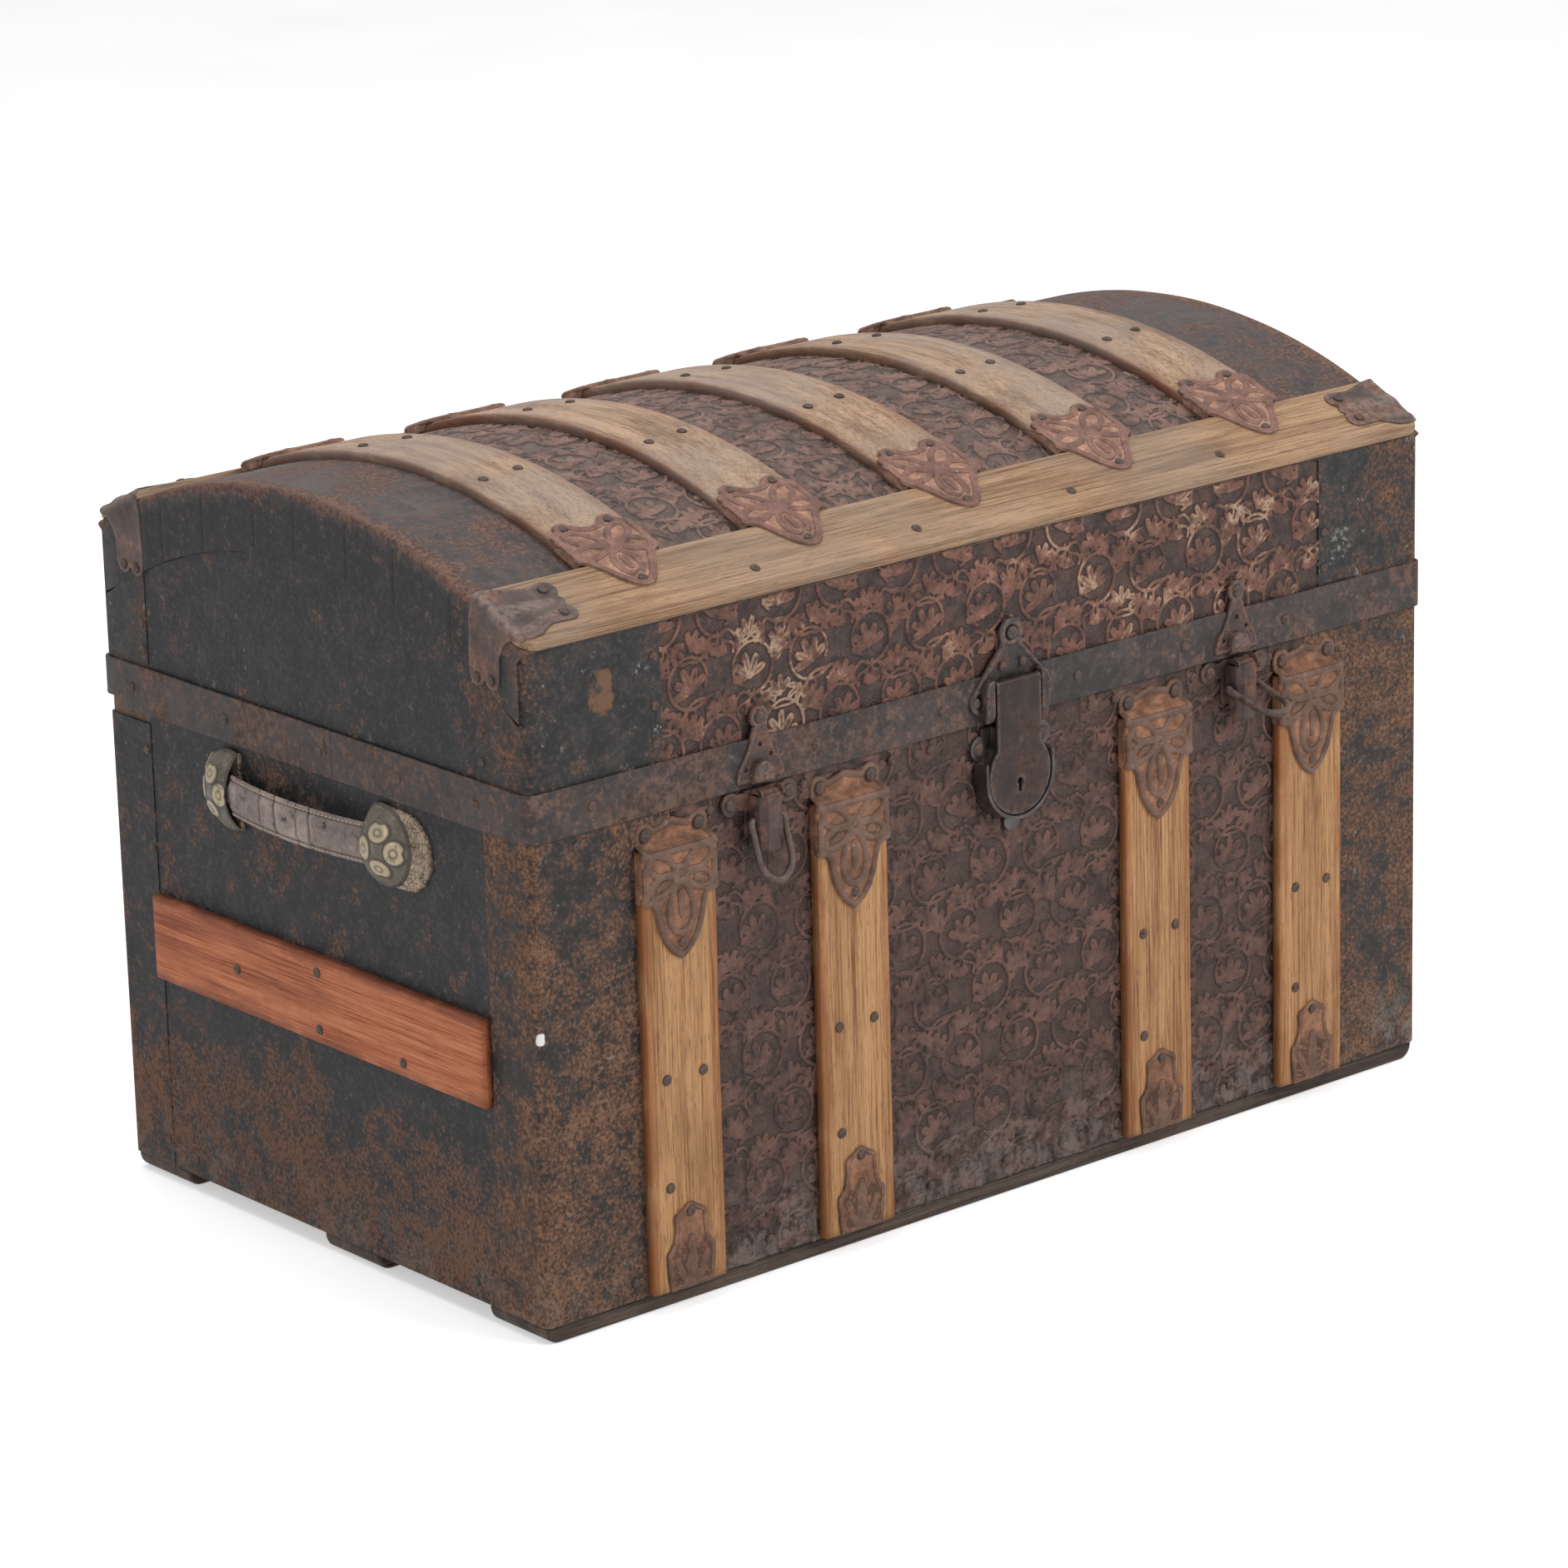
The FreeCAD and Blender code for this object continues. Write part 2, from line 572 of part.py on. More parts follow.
def lid_corner_wraps():
    wraps = []
    for side in (LEFT, RIGHT):
        wraps.append(lid_corner_wrap(side, FRONT, LID_WRAP_FRONT_LEG[side]))
        wraps.append(lid_corner_wrap(side, BACK, LID_WRAP_END_LEG))
    save("lid_corner_wraps", *wraps)


def dome_shell(x0, x1):
    reach = HALF_DEPTH + SKIN
    outline = dome_line(0, reach) + list(reversed(dome_line(SKIN, reach)))
    return along_x(outline, x0, x1)


def outer_dome_slat_x(side):
    return DOME_SLAT_SHIFT + side * DOME_SLAT_SPACING * (DOME_SLAT_COUNT - 1) / 2


def dome_skins():
    borders = {side: outer_dome_slat_x(side) for side in (LEFT, RIGHT)}
    save("dome_sheet", dome_shell(borders[LEFT], borders[RIGHT]))
    covers = []
    block = rounded_block(SKIN, SEAM, SHOULDER + DOME_RISE * 2)
    for side in (LEFT, RIGHT):
        face = HALF_LENGTH * side
        outer = (HALF_LENGTH + SKIN) * side
        shell = dome_shell(min(borders[side], outer), max(borders[side], outer))
        outline = dome_line(0, HALF_DEPTH) + list(reversed(dome_line(-FLANGE_DEPTH, HALF_DEPTH)))
        flange = along_x(outline, min(face, outer), max(face, outer))
        flange = flange.cut(flange_corner_cut(side))
        covers.append(fuse([shell, flange]).common(block))
    save("dome_end_covers", *covers)


def flange_corner_cut(side):
    """The flange stops short of the rounded corners, which the corner wraps cover."""
    reach = HALF_DEPTH + SKIN
    inner = HALF_DEPTH - CARCASS_CORNER_RADIUS
    face = HALF_LENGTH * side
    outer = (HALF_LENGTH + SKIN) * side
    x0, x1 = min(face, outer), max(face, outer)
    top = shoulder_height(0, HALF_DEPTH + SKIN)
    front = box(x0, x1, -reach, -inner, SEAM, top)
    return front.fuse(mirror_y(front))


# ---------------------------------------------------------------- iron band of the lid
def band_ring():
    z0 = SEAM - BAND_OVERHANG
    return skin_ring(BAND_INNER, BAND_OUTER, z0, z0 + BAND_HEIGHT)


def front_band():
    reach_x = HALF_LENGTH + BAND_OUTER
    reach_y = HALF_DEPTH + BAND_OUTER
    top = SEAM + BAND_HEIGHT
    zone = box(-reach_x, reach_x, -reach_y, BAND_JOINT_Y, SEAM - BAND_OVERHANG, top)
    save("front_band", band_ring().common(zone))


def back_band():
    reach_x = HALF_LENGTH + BAND_OUTER
    reach_y = HALF_DEPTH + BAND_OUTER
    z0 = SEAM - BAND_OVERHANG
    top = SEAM + BAND_HEIGHT
    foot = SEAM + BAND_BACK_LIFT
    zone = box(-reach_x, reach_x, BAND_JOINT_Y, reach_y, z0, top)
    cut_y = HALF_DEPTH - BAND_CUT_START
    outline = [(cut_y, z0 - 1), (cut_y, z0), (cut_y + BAND_CUT_RUN, foot)]
    outline += [(reach_y + 1, foot), (reach_y + 1, z0 - 1)]
    under = along_x(outline, -reach_x - 1, reach_x + 1)
    save("back_band", band_ring().common(zone).cut(under))


# ---------------------------------------------------------------- wood slats
def front_slats():
    half = FRONT_SLAT_WIDTH / 2
    y0 = -(HALF_DEPTH + SLAT_FACE)
    y1 = -(HALF_DEPTH + SKIN)
    for number, x in enumerate(FRONT_SLATS_X, start=1):
        slat = box(x - half, x + half, y0, y1, BODY_FOOT + FRONT_SLAT_FOOT, SEAM - FRONT_SLAT_DROP)
        save("front_slat_%d" % number, slat)


def back_slats():
    half = FRONT_SLAT_WIDTH / 2
    y0 = HALF_DEPTH + END_SKIN
    x0, x1 = INNER_FRONT_SLAT_X - half, INNER_FRONT_SLAT_X + half
    z0, z1 = BODY_FOOT + FRONT_SLAT_FOOT, SEAM - FRONT_SLAT_DROP
    right = box(x0, x1, y0, y0 + FRONT_SLAT_THICKNESS, z0, z1)
    save("back_slats", mirror_x(right), right)


def end_slats():
    y0 = -HALF_DEPTH + BODY_WRAP_END_LEG + END_SLAT_GAP
    y1 = HALF_DEPTH - BACK_IRON_LEG - END_SLAT_GAP
    middle = SEAM - END_SLAT_DROP
    face = HALF_LENGTH + END_SKIN
    half = END_SLAT_HEIGHT / 2
    left = box(-face - END_SLAT_THICKNESS, -face, y0, y1, middle - half, middle + half)
    save("end_slats", left, mirror_x(left))


def shoulder_frame():
    """Place and slope of the shoulder slat's lower front edge."""
    corners = facet_corners()
    slope = facet_line(corners[0], corners[1], 0)[1]
    y = -(HALF_DEPTH + SKIN + SHOULDER_SLAT_OVERHANG)
    return Vector(0, y, shoulder_height(SKIN, y)), math.degrees(math.atan(slope))


def on_shoulder(shape):
    """Carry a shape drawn flat (x, up the slope, outward) to the front shoulder."""
    start, slope = shoulder_frame()
    placed = shape.copy()
    placed.Placement = FreeCAD.Placement(start, FreeCAD.Rotation(Vector(1, 0, 0), slope))
    return placed


def flat_shoulder_slat(growth):
    """The shoulder slat laid flat, grown outward, with its outer corners and top edges rounded."""
    half = HALF_LENGTH + SKIN + growth
    top = SHOULDER_SLAT_THICKNESS + growth
    slat = box(-half, half, -growth, SHOULDER_SLAT_WIDTH, 0, top)
    corners = [e for e in slat.Edges if e.BoundBox.YMax < 1 and e.BoundBox.ZLength > 1]
    slat = slat.makeFillet(SHOULDER_SLAT_CORNER + growth, corners)
    rim = [e for e in slat.Edges if e.BoundBox.ZMin > top - 1 and e.BoundBox.YMin < 1]
    rim += [e for e in slat.Edges if e.BoundBox.ZMin > top - 1 and e.BoundBox.XLength < 1]
    return slat.makeFillet(SHOULDER_SLAT_EDGE + growth, unique_edges(rim))


def unique_edges(edges):
    found = []
    for edge in edges:
        if not any(edge.isSame(other) for other in found):
            found.append(edge)
    return found


def shoulder_slats():
    front = on_shoulder(flat_shoulder_slat(0))
    save("shoulder_slats", front, mirror_y(front))


def slat_joint_y():
    """Distance from the middle to the upper edge of a shoulder slat, at its underside."""
    start, slope = shoulder_frame()
    return -start.y - SHOULDER_SLAT_WIDTH * math.cos(math.radians(slope))


def arc_top(radius, reach, x0):
    """Upper arc of the dome at a radius, between y = -reach and reach."""
    rise = DOME_MIDDLE_Z + math.sqrt(radius ** 2 - reach ** 2)
    crest = Vector(x0, 0, DOME_MIDDLE_Z + radius)
    return Part.Arc(Vector(x0, -reach, rise), crest, Vector(x0, reach, rise)).toShape()


def dome_slats():
    reach = slat_joint_y() - SLAT_END_GAP
    radius = DOME_RADIUS + SKIN + DOME_SLAT_THICKNESS
    made = []
    for index in range(DOME_SLAT_COUNT):
        x = DOME_SLAT_SHIFT + (index - (DOME_SLAT_COUNT - 1) / 2) * DOME_SLAT_SPACING
        x0 = x - DOME_SLAT_WIDTH / 2
        under = [Vector(x0, y, z) for y, z in dome_line(SKIN, reach)]
        top = arc_top(radius, reach, x0)
        rear = Part.makeLine(under[-1], top.Vertexes[1].Point)
        fore = Part.makeLine(top.Vertexes[0].Point, under[0])
        wire = Part.Wire(Part.__sortEdges__(Part.makePolygon(under).Edges + [rear, top, fore]))
        made.append(Part.Face(wire).extrude(Vector(DOME_SLAT_WIDTH, 0, 0)))
    save("dome_slats", *made)


# ---------------------------------------------------------------- clamps over the slat ends
def top_clamp(x):
    """Clamp over the upper end of a front slat: tongue, step and two riveted lobes."""
    top = -FRONT_SLAT_DROP + CLAMP_THICKNESS
    half = FRONT_SLAT_WIDTH / 2 + CLAMP_MARGIN
    waist = top - CLAMP_PLATE_HEIGHT
    tip_z = waist - CLAMP_TIP_REACH + CLAMP_TIP_RADIUS
    outline = [(half, top), (half, waist), (half * 0.57, waist - CLAMP_TIP_REACH * 0.45)]
    outline.append((CLAMP_TIP_RADIUS, tip_z))
    outline = [(x + dx, z) for dx, z in mirrored_outline(outline)]
    face = SLAT_FACE + CLAMP_THICKNESS
    tongue = on_front(outline, SLAT_FACE, face)
    tip = front_disc(x, tip_z, CLAMP_TIP_RADIUS, SLAT_FACE, face)
    step = front_box(x - half, x + half, top - CLAMP_THICKNESS, top, SKIN, face)
    lobe_top = top + CLAMP_FLANGE_HEIGHT
    flange = front_box(x - half, x + half, top, lobe_top, SKIN, SKIN + CLAMP_THICKNESS)
    parts = [tongue, tip, step, flange]
    for side in (LEFT, RIGHT):
        lobe_x = x + side * CLAMP_LOBE_SPREAD / 2
        parts.append(front_disc(lobe_x, lobe_top, CLAMP_LOBE_RADIUS, SKIN, SKIN + CLAMP_THICKNESS))
    return fuse(parts)


def foot_clamp(x):
    """Arched clamp over the lower end of a front slat."""
    half = FOOT_CLAMP_WIDTH / 2
    foot = -BODY_HEIGHT + FRONT_SLAT_FOOT
    arch = foot + FOOT_CLAMP_HEIGHT - half
    plate = front_box(x - half, x + half, foot, arch, SLAT_FACE, SLAT_FACE + CLAMP_THICKNESS)
    disc = front_disc(x, arch, half, SLAT_FACE, SLAT_FACE + CLAMP_THICKNESS)
    return fuse([plate, disc])


def body_clamps():
    save("slat_top_clamps", *[top_clamp(x) for x in FRONT_SLATS_X])
    save("slat_foot_clamps", *[foot_clamp(x) for x in FRONT_SLATS_X])


def dome_clamp_layer(x0, x1):
    """Thin layer on top of a dome slat and, past the joint, on top of the front shoulder slat."""
    inner = DOME_RADIUS + SKIN + DOME_SLAT_THICKNESS
    reach = slat_joint_y() - SLAT_END_GAP
    edges = [arc_top(radius, reach, x0) for radius in (inner, inner + CLAMP_THICKNESS)]
    sides = []
    for index in (0, 1):
        sides.append(Part.makeLine(edges[0].Vertexes[index].Point, edges[1].Vertexes[index].Point))
    wire = Part.Wire(Part.__sortEdges__([edges[0], sides[1], edges[1], sides[0]]))
    upper = Part.Face(wire).extrude(Vector(x1 - x0, 0, 0))
    lower = SHOULDER_SLAT_THICKNESS
    slab = box(x0, x1, 0, SHOULDER_SLAT_WIDTH, lower, lower + CLAMP_THICKNESS)
    slab = on_shoulder(slab)
    joint = box(x0, x1, -HALF_DEPTH * 2, -reach, SEAM, SEAM * 2)
    return fuse([upper, slab.common(joint)])


def dome_clamp(x):
    """Front clamp of a dome slat, drawn in plan and cut from the layer it is pressed to."""
    joint = -slat_joint_y()
    half = DOME_SLAT_WIDTH / 2 + CLAMP_MARGIN
    tip_y = joint - DOME_CLAMP_TIP_REACH + DOME_CLAMP_TIP_RADIUS
    outline = [(half, joint + DOME_CLAMP_SHOULDER), (half, joint)]
    outline.append((half * 0.6, joint - DOME_CLAMP_TIP_REACH * 0.35))
    outline.append((DOME_CLAMP_TIP_RADIUS, tip_y))
    points = [Vector(x + dx, y, SEAM) for dx, y in mirrored_outline(outline)]
    height = Vector(0, 0, LID_WALL_HEIGHT + DOME_RISE * 2)
    parts = [prism(points, height)]
    parts.append(cylinder(DOME_CLAMP_TIP_RADIUS, height.z, Vector(x, tip_y, SEAM), Vector(0, 0, 1)))
    for side in (LEFT, RIGHT):
        lobe_x = x + side * DOME_CLAMP_LOBE_SPREAD / 2
        start = Vector(lobe_x, joint + DOME_CLAMP_BACK_REACH, SEAM)
        parts.append(cylinder(DOME_CLAMP_LOBE_RADIUS, height.z, start, Vector(0, 0, 1)))
    layer = dome_clamp_layer(x - half, x + half)
    return layer.common(fuse(parts))


def dome_clamps():
    made = []
    for index in range(DOME_SLAT_COUNT):
        x = DOME_SLAT_SHIFT + (index - (DOME_SLAT_COUNT - 1) / 2) * DOME_SLAT_SPACING
        clamp = dome_clamp(x)
        made += [clamp, mirror_y(clamp)]
    save("dome_clamps", *made)


# ---------------------------------------------------------------- corner caps of the lid
def cap_top_cutter():
    """Outline of the cap's top leaf, over the flat slat's right end, as a tall block."""
    end = HALF_LENGTH + SKIN
    beyond = end + CAP_THICKNESS * 2
    low = CAP_FRONT_MARGIN
    waist = end - CAP_WAIST
    tip = end - CAP_LENGTH
    high = SHOULDER_SLAT_WIDTH - CAP_THICKNESS / 2
    outline = [(beyond, low), (waist + CAP_LOBE_RADIUS, low), (waist, low * 2)]
    outline += [(waist - low, CAP_LOW_RIVET - CAP_LOBE_RADIUS)]
    outline += [(tip, CAP_LOW_RIVET - CAP_LOBE_RADIUS * 0.9), (tip, high - CAP_THICKNESS)]
    outline += [(waist, high), (beyond, high)]
    height = SHOULDER_SLAT_THICKNESS * 2
    parts = [prism([Vector(x, y, 0) for x, y in outline], Vector(0, 0, height))]
    for y in (CAP_LOW_RIVET, CAP_HIGH_RIVET):
        parts.append(cylinder(CAP_LOBE_RADIUS, height, Vector(tip, y, 0), Vector(0, 0, 1)))
    middle = Vector(tip - CAP_LOBE_RADIUS, (CAP_LOW_RIVET + CAP_HIGH_RIVET) / 2, 0)
    parts.append(cylinder(CAP_LOBE_RADIUS * 0.8, height, middle, Vector(0, 0, 1)))
    return fuse(parts)


def cap_leaf():
    """The cap's leaf down the right end: it starts beside the slat and ends in two lobes."""
    face = HALF_LENGTH + SKIN
    reach = face + CAP_THICKNESS
    fore = -HALF_DEPTH + CAP_LEAF_FRONT
    rear = fore + CAP_LEAF_WIDTH
    low = SHOULDER - CAP_LEAF_DROP
    beside = -slat_joint_y() - CAP_THICKNESS / 2
    middle = SKIN + SHOULDER_SLAT_THICKNESS / 2
    outline = [(fore, shoulder_height(middle, fore)), (fore, SHOULDER)]
    outline += [(fore + CAP_LOBE_RADIUS, SHOULDER - CAP_LOBE_RADIUS), (fore + CAP_LOBE_RADIUS, low)]
    outline += [(rear - CAP_THICKNESS, low), (rear - CAP_THICKNESS, SHOULDER)]
    outline.append((beside, shoulder_height(middle, beside)))
    parts = [along_x(outline, face, reach)]
    for y in (fore + CAP_LOBE_RADIUS * 2 - 1, rear - CAP_LOBE_RADIUS - 1):
        parts.append(cylinder(CAP_LOBE_RADIUS - 1, CAP_THICKNESS, Vector(face, y, low), Vector(1, 0, 0)))
    return fuse(parts)


def corner_cap():
    """Cap of the front right corner: on the slat's top, over its rounded end and down the end."""
    shell = flat_shoulder_slat(CAP_THICKNESS).cut(flat_shoulder_slat(0))
    top = on_shoulder(shell.common(cap_top_cutter()))
    return fuse([top, cap_leaf()])


def corner_caps():
    right = corner_cap()
    left = mirror_x(right)
    save("corner_caps", right, left, mirror_y(right), mirror_y(left))


# ---------------------------------------------------------------- hinges
def hinge_knuckle(x0, x1):
    return cylinder(KNUCKLE_RADIUS, x1 - x0, Vector(x0, HINGE_AXIS_Y, SEAM), Vector(1, 0, 0))


def hinge_web(face, side, x0, x1):
    """Bent strip from a leaf to its knuckle. side is 1 above the seam and -1 below it."""
    inner = HINGE_AXIS_Y - KNUCKLE_RADIUS / 2
    outer = HINGE_AXIS_Y + KNUCKLE_RADIUS / 2.5
    root = KNUCKLE_RADIUS * 0.83
    outline = [(face, SEAM + side * HINGE_WEB), (face + HINGE_LEAF, SEAM + side * HINGE_WEB)]
    outline += [(outer, SEAM + side * root), (inner, SEAM + side * root)]
    outline.append((face, SEAM + side * HINGE_WEB * 0.7))
    return along_x(outline, x0, x1)


def hinge_parts(x):
    half = HINGE_WIDTH / 2
    third = HINGE_WIDTH / 6
    inner = third + KNUCKLE_GAP
    body_face = HALF_DEPTH + END_SKIN
    lid_face = HALF_DEPTH + BAND_OUTER
    foot = SEAM - HINGE_BODY_LEAF_HEIGHT
    leaf = box(x - half, x + half, body_face, body_face + HINGE_LEAF, foot, SEAM - HINGE_WEB)
    body_parts = [leaf]
    for x0, x1 in ((x - half, x - inner), (x + inner, x + half)):
        body_parts += [hinge_knuckle(x0, x1), hinge_web(body_face, -1, x0, x1)]
    top = SEAM + HINGE_LID_LEAF_TOP
    web_top = SEAM + HINGE_WEB
    lid_leaf = box(x - half, x + half, lid_face, lid_face + HINGE_LEAF, web_top, top)
    x0, x1 = x - third, x + third
    lid_parts = [lid_leaf, hinge_knuckle(x0, x1), hinge_web(lid_face, 1, x0, x1)]
    start = Vector(x - half, HINGE_AXIS_Y, SEAM)
    along = Vector(1, 0, 0)
    bore = cylinder(HINGE_PIN_RADIUS + PIN_CLEARANCE, HINGE_WIDTH, start, along)
    pin = [cylinder(HINGE_PIN_RADIUS, HINGE_WIDTH, start, along)]
    pin.append(cylinder(PIN_HEAD_RADIUS, PIN_HEAD_THICKNESS, start, Vector(-1, 0, 0)))
    far = Vector(x + half, HINGE_AXIS_Y, SEAM)
    pin.append(cylinder(PIN_HEAD_RADIUS, PIN_HEAD_THICKNESS, far, along))
    return fuse(body_parts).cut(bore), fuse(lid_parts).cut(bore), fuse(pin)


def hinges():
    made = [hinge_parts(x) for x in (-HINGE_X, HINGE_X)]
    save("hinge_body_leaves", *[parts[0] for parts in made])
    save("hinge_lid_leaves", *[parts[1] for parts in made])
    save("hinge_pins", *[parts[2] for parts in made])


# ---------------------------------------------------------------- hasp lock
def hasp_plate():
    lobe = HASP_TOP_LOBE_RADIUS
    outer = HASP_SIDE_LOBE_X + HASP_SIDE_LOBE_RADIUS
    outline = [(lobe * 0.9, HASP_TOP_LOBE_Z - lobe * 0.5), (outer, HASP_SIDE_LOBE_Z + 4)]
    cheek_outer = HASP_NECK_WIDTH / 2 + HASP_SIDE_GAP + HASP_CHEEK_WIDTH
    outline += [(outer, HASP_SIDE_LOBE_Z), (cheek_outer, HASP_SIDE_LOBE_Z - HASP_SIDE_LOBE_RADIUS)]
    outline.append((cheek_outer, -HASP_PLATE_FOOT))
    outline = [(LOCK_X + x, z) for x, z in mirrored_outline(outline)]
    parts = []
    for out0, out1 in ((BAND_OUTER, HARDWARE_FACE), (SKIN, BAND_OUTER)):
        layer = [on_front(outline, out0, out1)]
        layer.append(front_disc(LOCK_X, HASP_TOP_LOBE_Z, lobe, out0, out1))
        for side in (LEFT, RIGHT):
            x = LOCK_X + side * HASP_SIDE_LOBE_X
            layer.append(front_disc(x, HASP_SIDE_LOBE_Z, HASP_SIDE_LOBE_RADIUS, out0, out1))
        parts.append(fuse(layer))
    above = front_box(LOCK_X - outer, LOCK_X + outer, BAND_TOP, BODY_HEIGHT, 0, HARDWARE_FACE)
    parts[1] = parts[1].common(above)
    inner = HASP_NECK_WIDTH / 2 + HASP_SIDE_GAP
    top = HASP_AXIS_Z + HASP_BARREL_RADIUS
    for side in (LEFT, RIGHT):
        x0 = LOCK_X + min(side * inner, side * cheek_outer)
        x1 = x0 + HASP_CHEEK_WIDTH
        parts.append(front_box(x0, x1, -HASP_PLATE_FOOT, top, HARDWARE_FACE, HASP_FACE))
    bore = hasp_rod(HASP_PIN_RADIUS, cheek_outer)
    save("hasp_plate", fuse(parts).cut(bore))
    save("hasp_pin", bore)


def hasp_rod(radius, half):
    start = Vector(LOCK_X - half, -(HALF_DEPTH + HASP_AXIS_OUT), SEAM + HASP_AXIS_Z)
    return cylinder(radius, half * 2, start, Vector(1, 0, 0))


def hasp():
    half = HASP_NECK_WIDTH / 2
    neck = front_box(LOCK_X - half, LOCK_X + half, -HASP_ROUND_Z, HASP_AXIS_Z, HASP_BACK, HASP_FACE)
    disc = front_disc(LOCK_X, -HASP_ROUND_Z, HASP_ROUND_RADIUS, HASP_BACK, HASP_FACE)
    flap = fuse([neck, disc, hasp_rod(HASP_BARREL_RADIUS, half)])
    keyhole_z = -HASP_ROUND_Z - KEYHOLE_DROP
    slot = KEYHOLE_SLOT / 2
    foot = keyhole_z - KEYHOLE_LENGTH
    tools = [hasp_rod(HASP_PIN_RADIUS + PIN_CLEARANCE, half)]
    tools.append(front_disc(LOCK_X, keyhole_z, KEYHOLE_RADIUS, HASP_BACK, HASP_FACE))
    tools.append(front_box(LOCK_X - slot, LOCK_X + slot, foot, keyhole_z, HASP_BACK, HASP_FACE))
    save("hasp", cut_all(flap, tools), hasp_staple())


def hasp_staple():
    half = STAPLE_WIDTH / 2
    top = -STAPLE_Z + STAPLE_HEIGHT / 2
    tip = HASP_BACK - STAPLE_REACH
    block = front_box(LOCK_X - half, LOCK_X + half, top - STAPLE_HEIGHT, top, tip, HASP_BACK)
    eye = STAPLE_EYE / 2
    wall = tip + STAPLE_TIP
    hole = front_box(LOCK_X - half, LOCK_X + half, -STAPLE_Z - eye, -STAPLE_Z + eye, wall, HASP_BACK)
    return block.cut(hole)


def lock_case():
    plate_face = SKIN + CASE_PLATE
    inner = HASP_ROUND_RADIUS + HASP_SIDE_GAP
    half = CASE_NECK_WIDTH / 2
    middle = -HASP_ROUND_Z
    horn = middle + CASE_RIM_HORN
    parts = [front_disc(LOCK_X, middle, CASE_RIM_BASE, SKIN, plate_face)]
    ear = CASE_EAR_X
    parts.append(front_box(LOCK_X - ear, LOCK_X + ear, middle, -CASE_TOP, SKIN, plate_face))
    for side in (LEFT, RIGHT):
        x = LOCK_X + side * ear
        parts.append(front_disc(x, -CASE_EAR_Z, CASE_EAR_RADIUS, SKIN, plate_face))
    lobe = CASE_FOOT_LOBE_RADIUS
    parts.append(front_disc(LOCK_X, -CASE_FOOT_LOBE_Z, lobe, SKIN, plate_face))
    parts.append(front_disc(LOCK_X, middle, inner, plate_face, CASE_FACE))
    parts.append(front_box(LOCK_X - half, LOCK_X + half, middle, -CASE_TOP, plate_face, CASE_FACE))
    start = Vector(LOCK_X, -(HALF_DEPTH + plate_face), SEAM + middle)
    height = HASP_FACE - plate_face
    cone = Part.makeCone(CASE_RIM_BASE, CASE_RIM_TOP, height, start, Vector(0, -1, 0))
    reach = CASE_RIM_BASE + 1
    upper = front_box(LOCK_X - reach, LOCK_X + reach, middle, 0, plate_face, HASP_FACE)
    lower_rim = cone.cut(front_disc(LOCK_X, middle, inner, plate_face, HASP_FACE)).cut(upper)
    parts.append(lower_rim)
    for side in (LEFT, RIGHT):
        parts.append(rim_side(side, inner, plate_face, middle, horn))
    return cut_all(fuse(parts), lock_case_cuts())


def rim_side(side, inner, plate_face, z0, z1):
    """Straight side of the case's rim, with the same slope outside as the round part."""
    xs = (inner, CASE_RIM_BASE, CASE_RIM_TOP, inner)
    outs = (plate_face, plate_face, HASP_FACE, HASP_FACE)
    points = []
    for x, out in zip(xs, outs):
        points.append(Vector(LOCK_X + side * x, -(HALF_DEPTH + out), SEAM + z0))
    return prism(points, Vector(0, 0, z1 - z0))


def bolt_zone(clearance, x0, x1):
    """The lock bolt's cross section, grown by a clearance, between two places along X."""
    half = BOLT_HEIGHT / 2 + clearance
    face = CASE_FACE - BOLT_FACE_DEPTH
    back = face - BOLT_THICKNESS
    return front_box(x0, x1, -STAPLE_Z - half, -STAPLE_Z + half, back - clearance, face + clearance)


def lock_case_cuts():
    half = GROOVE_WIDTH / 2
    foot = -STAPLE_Z - STAPLE_HEIGHT / 2 - GROOVE_MARGIN
    depth = HASP_BACK - STAPLE_REACH - BOLT_CLEARANCE
    groove = front_box(LOCK_X - half, LOCK_X + half, foot, 0, depth, HASP_FACE)
    x1 = LOCK_X - half
    x0 = x1 - BOLT_LENGTH - BOLT_CLEARANCE * 3
    slot = bolt_zone(BOLT_CLEARANCE, x0, x1)
    keyhole_z = -HASP_ROUND_Z - KEYHOLE_DROP
    key = front_disc(LOCK_X, keyhole_z, KEYHOLE_RADIUS, SKIN + CASE_PLATE, HASP_FACE)
    return [groove, slot, key]


def lock_bolt():
    x1 = LOCK_X - GROOVE_WIDTH / 2 - BOLT_CLEARANCE * 2
    return bolt_zone(0, x1 - BOLT_LENGTH, x1)


def lock():
    hasp_plate()
    hasp()
    save("lock_case", lock_case())
    save("lock_bolt", lock_bolt())


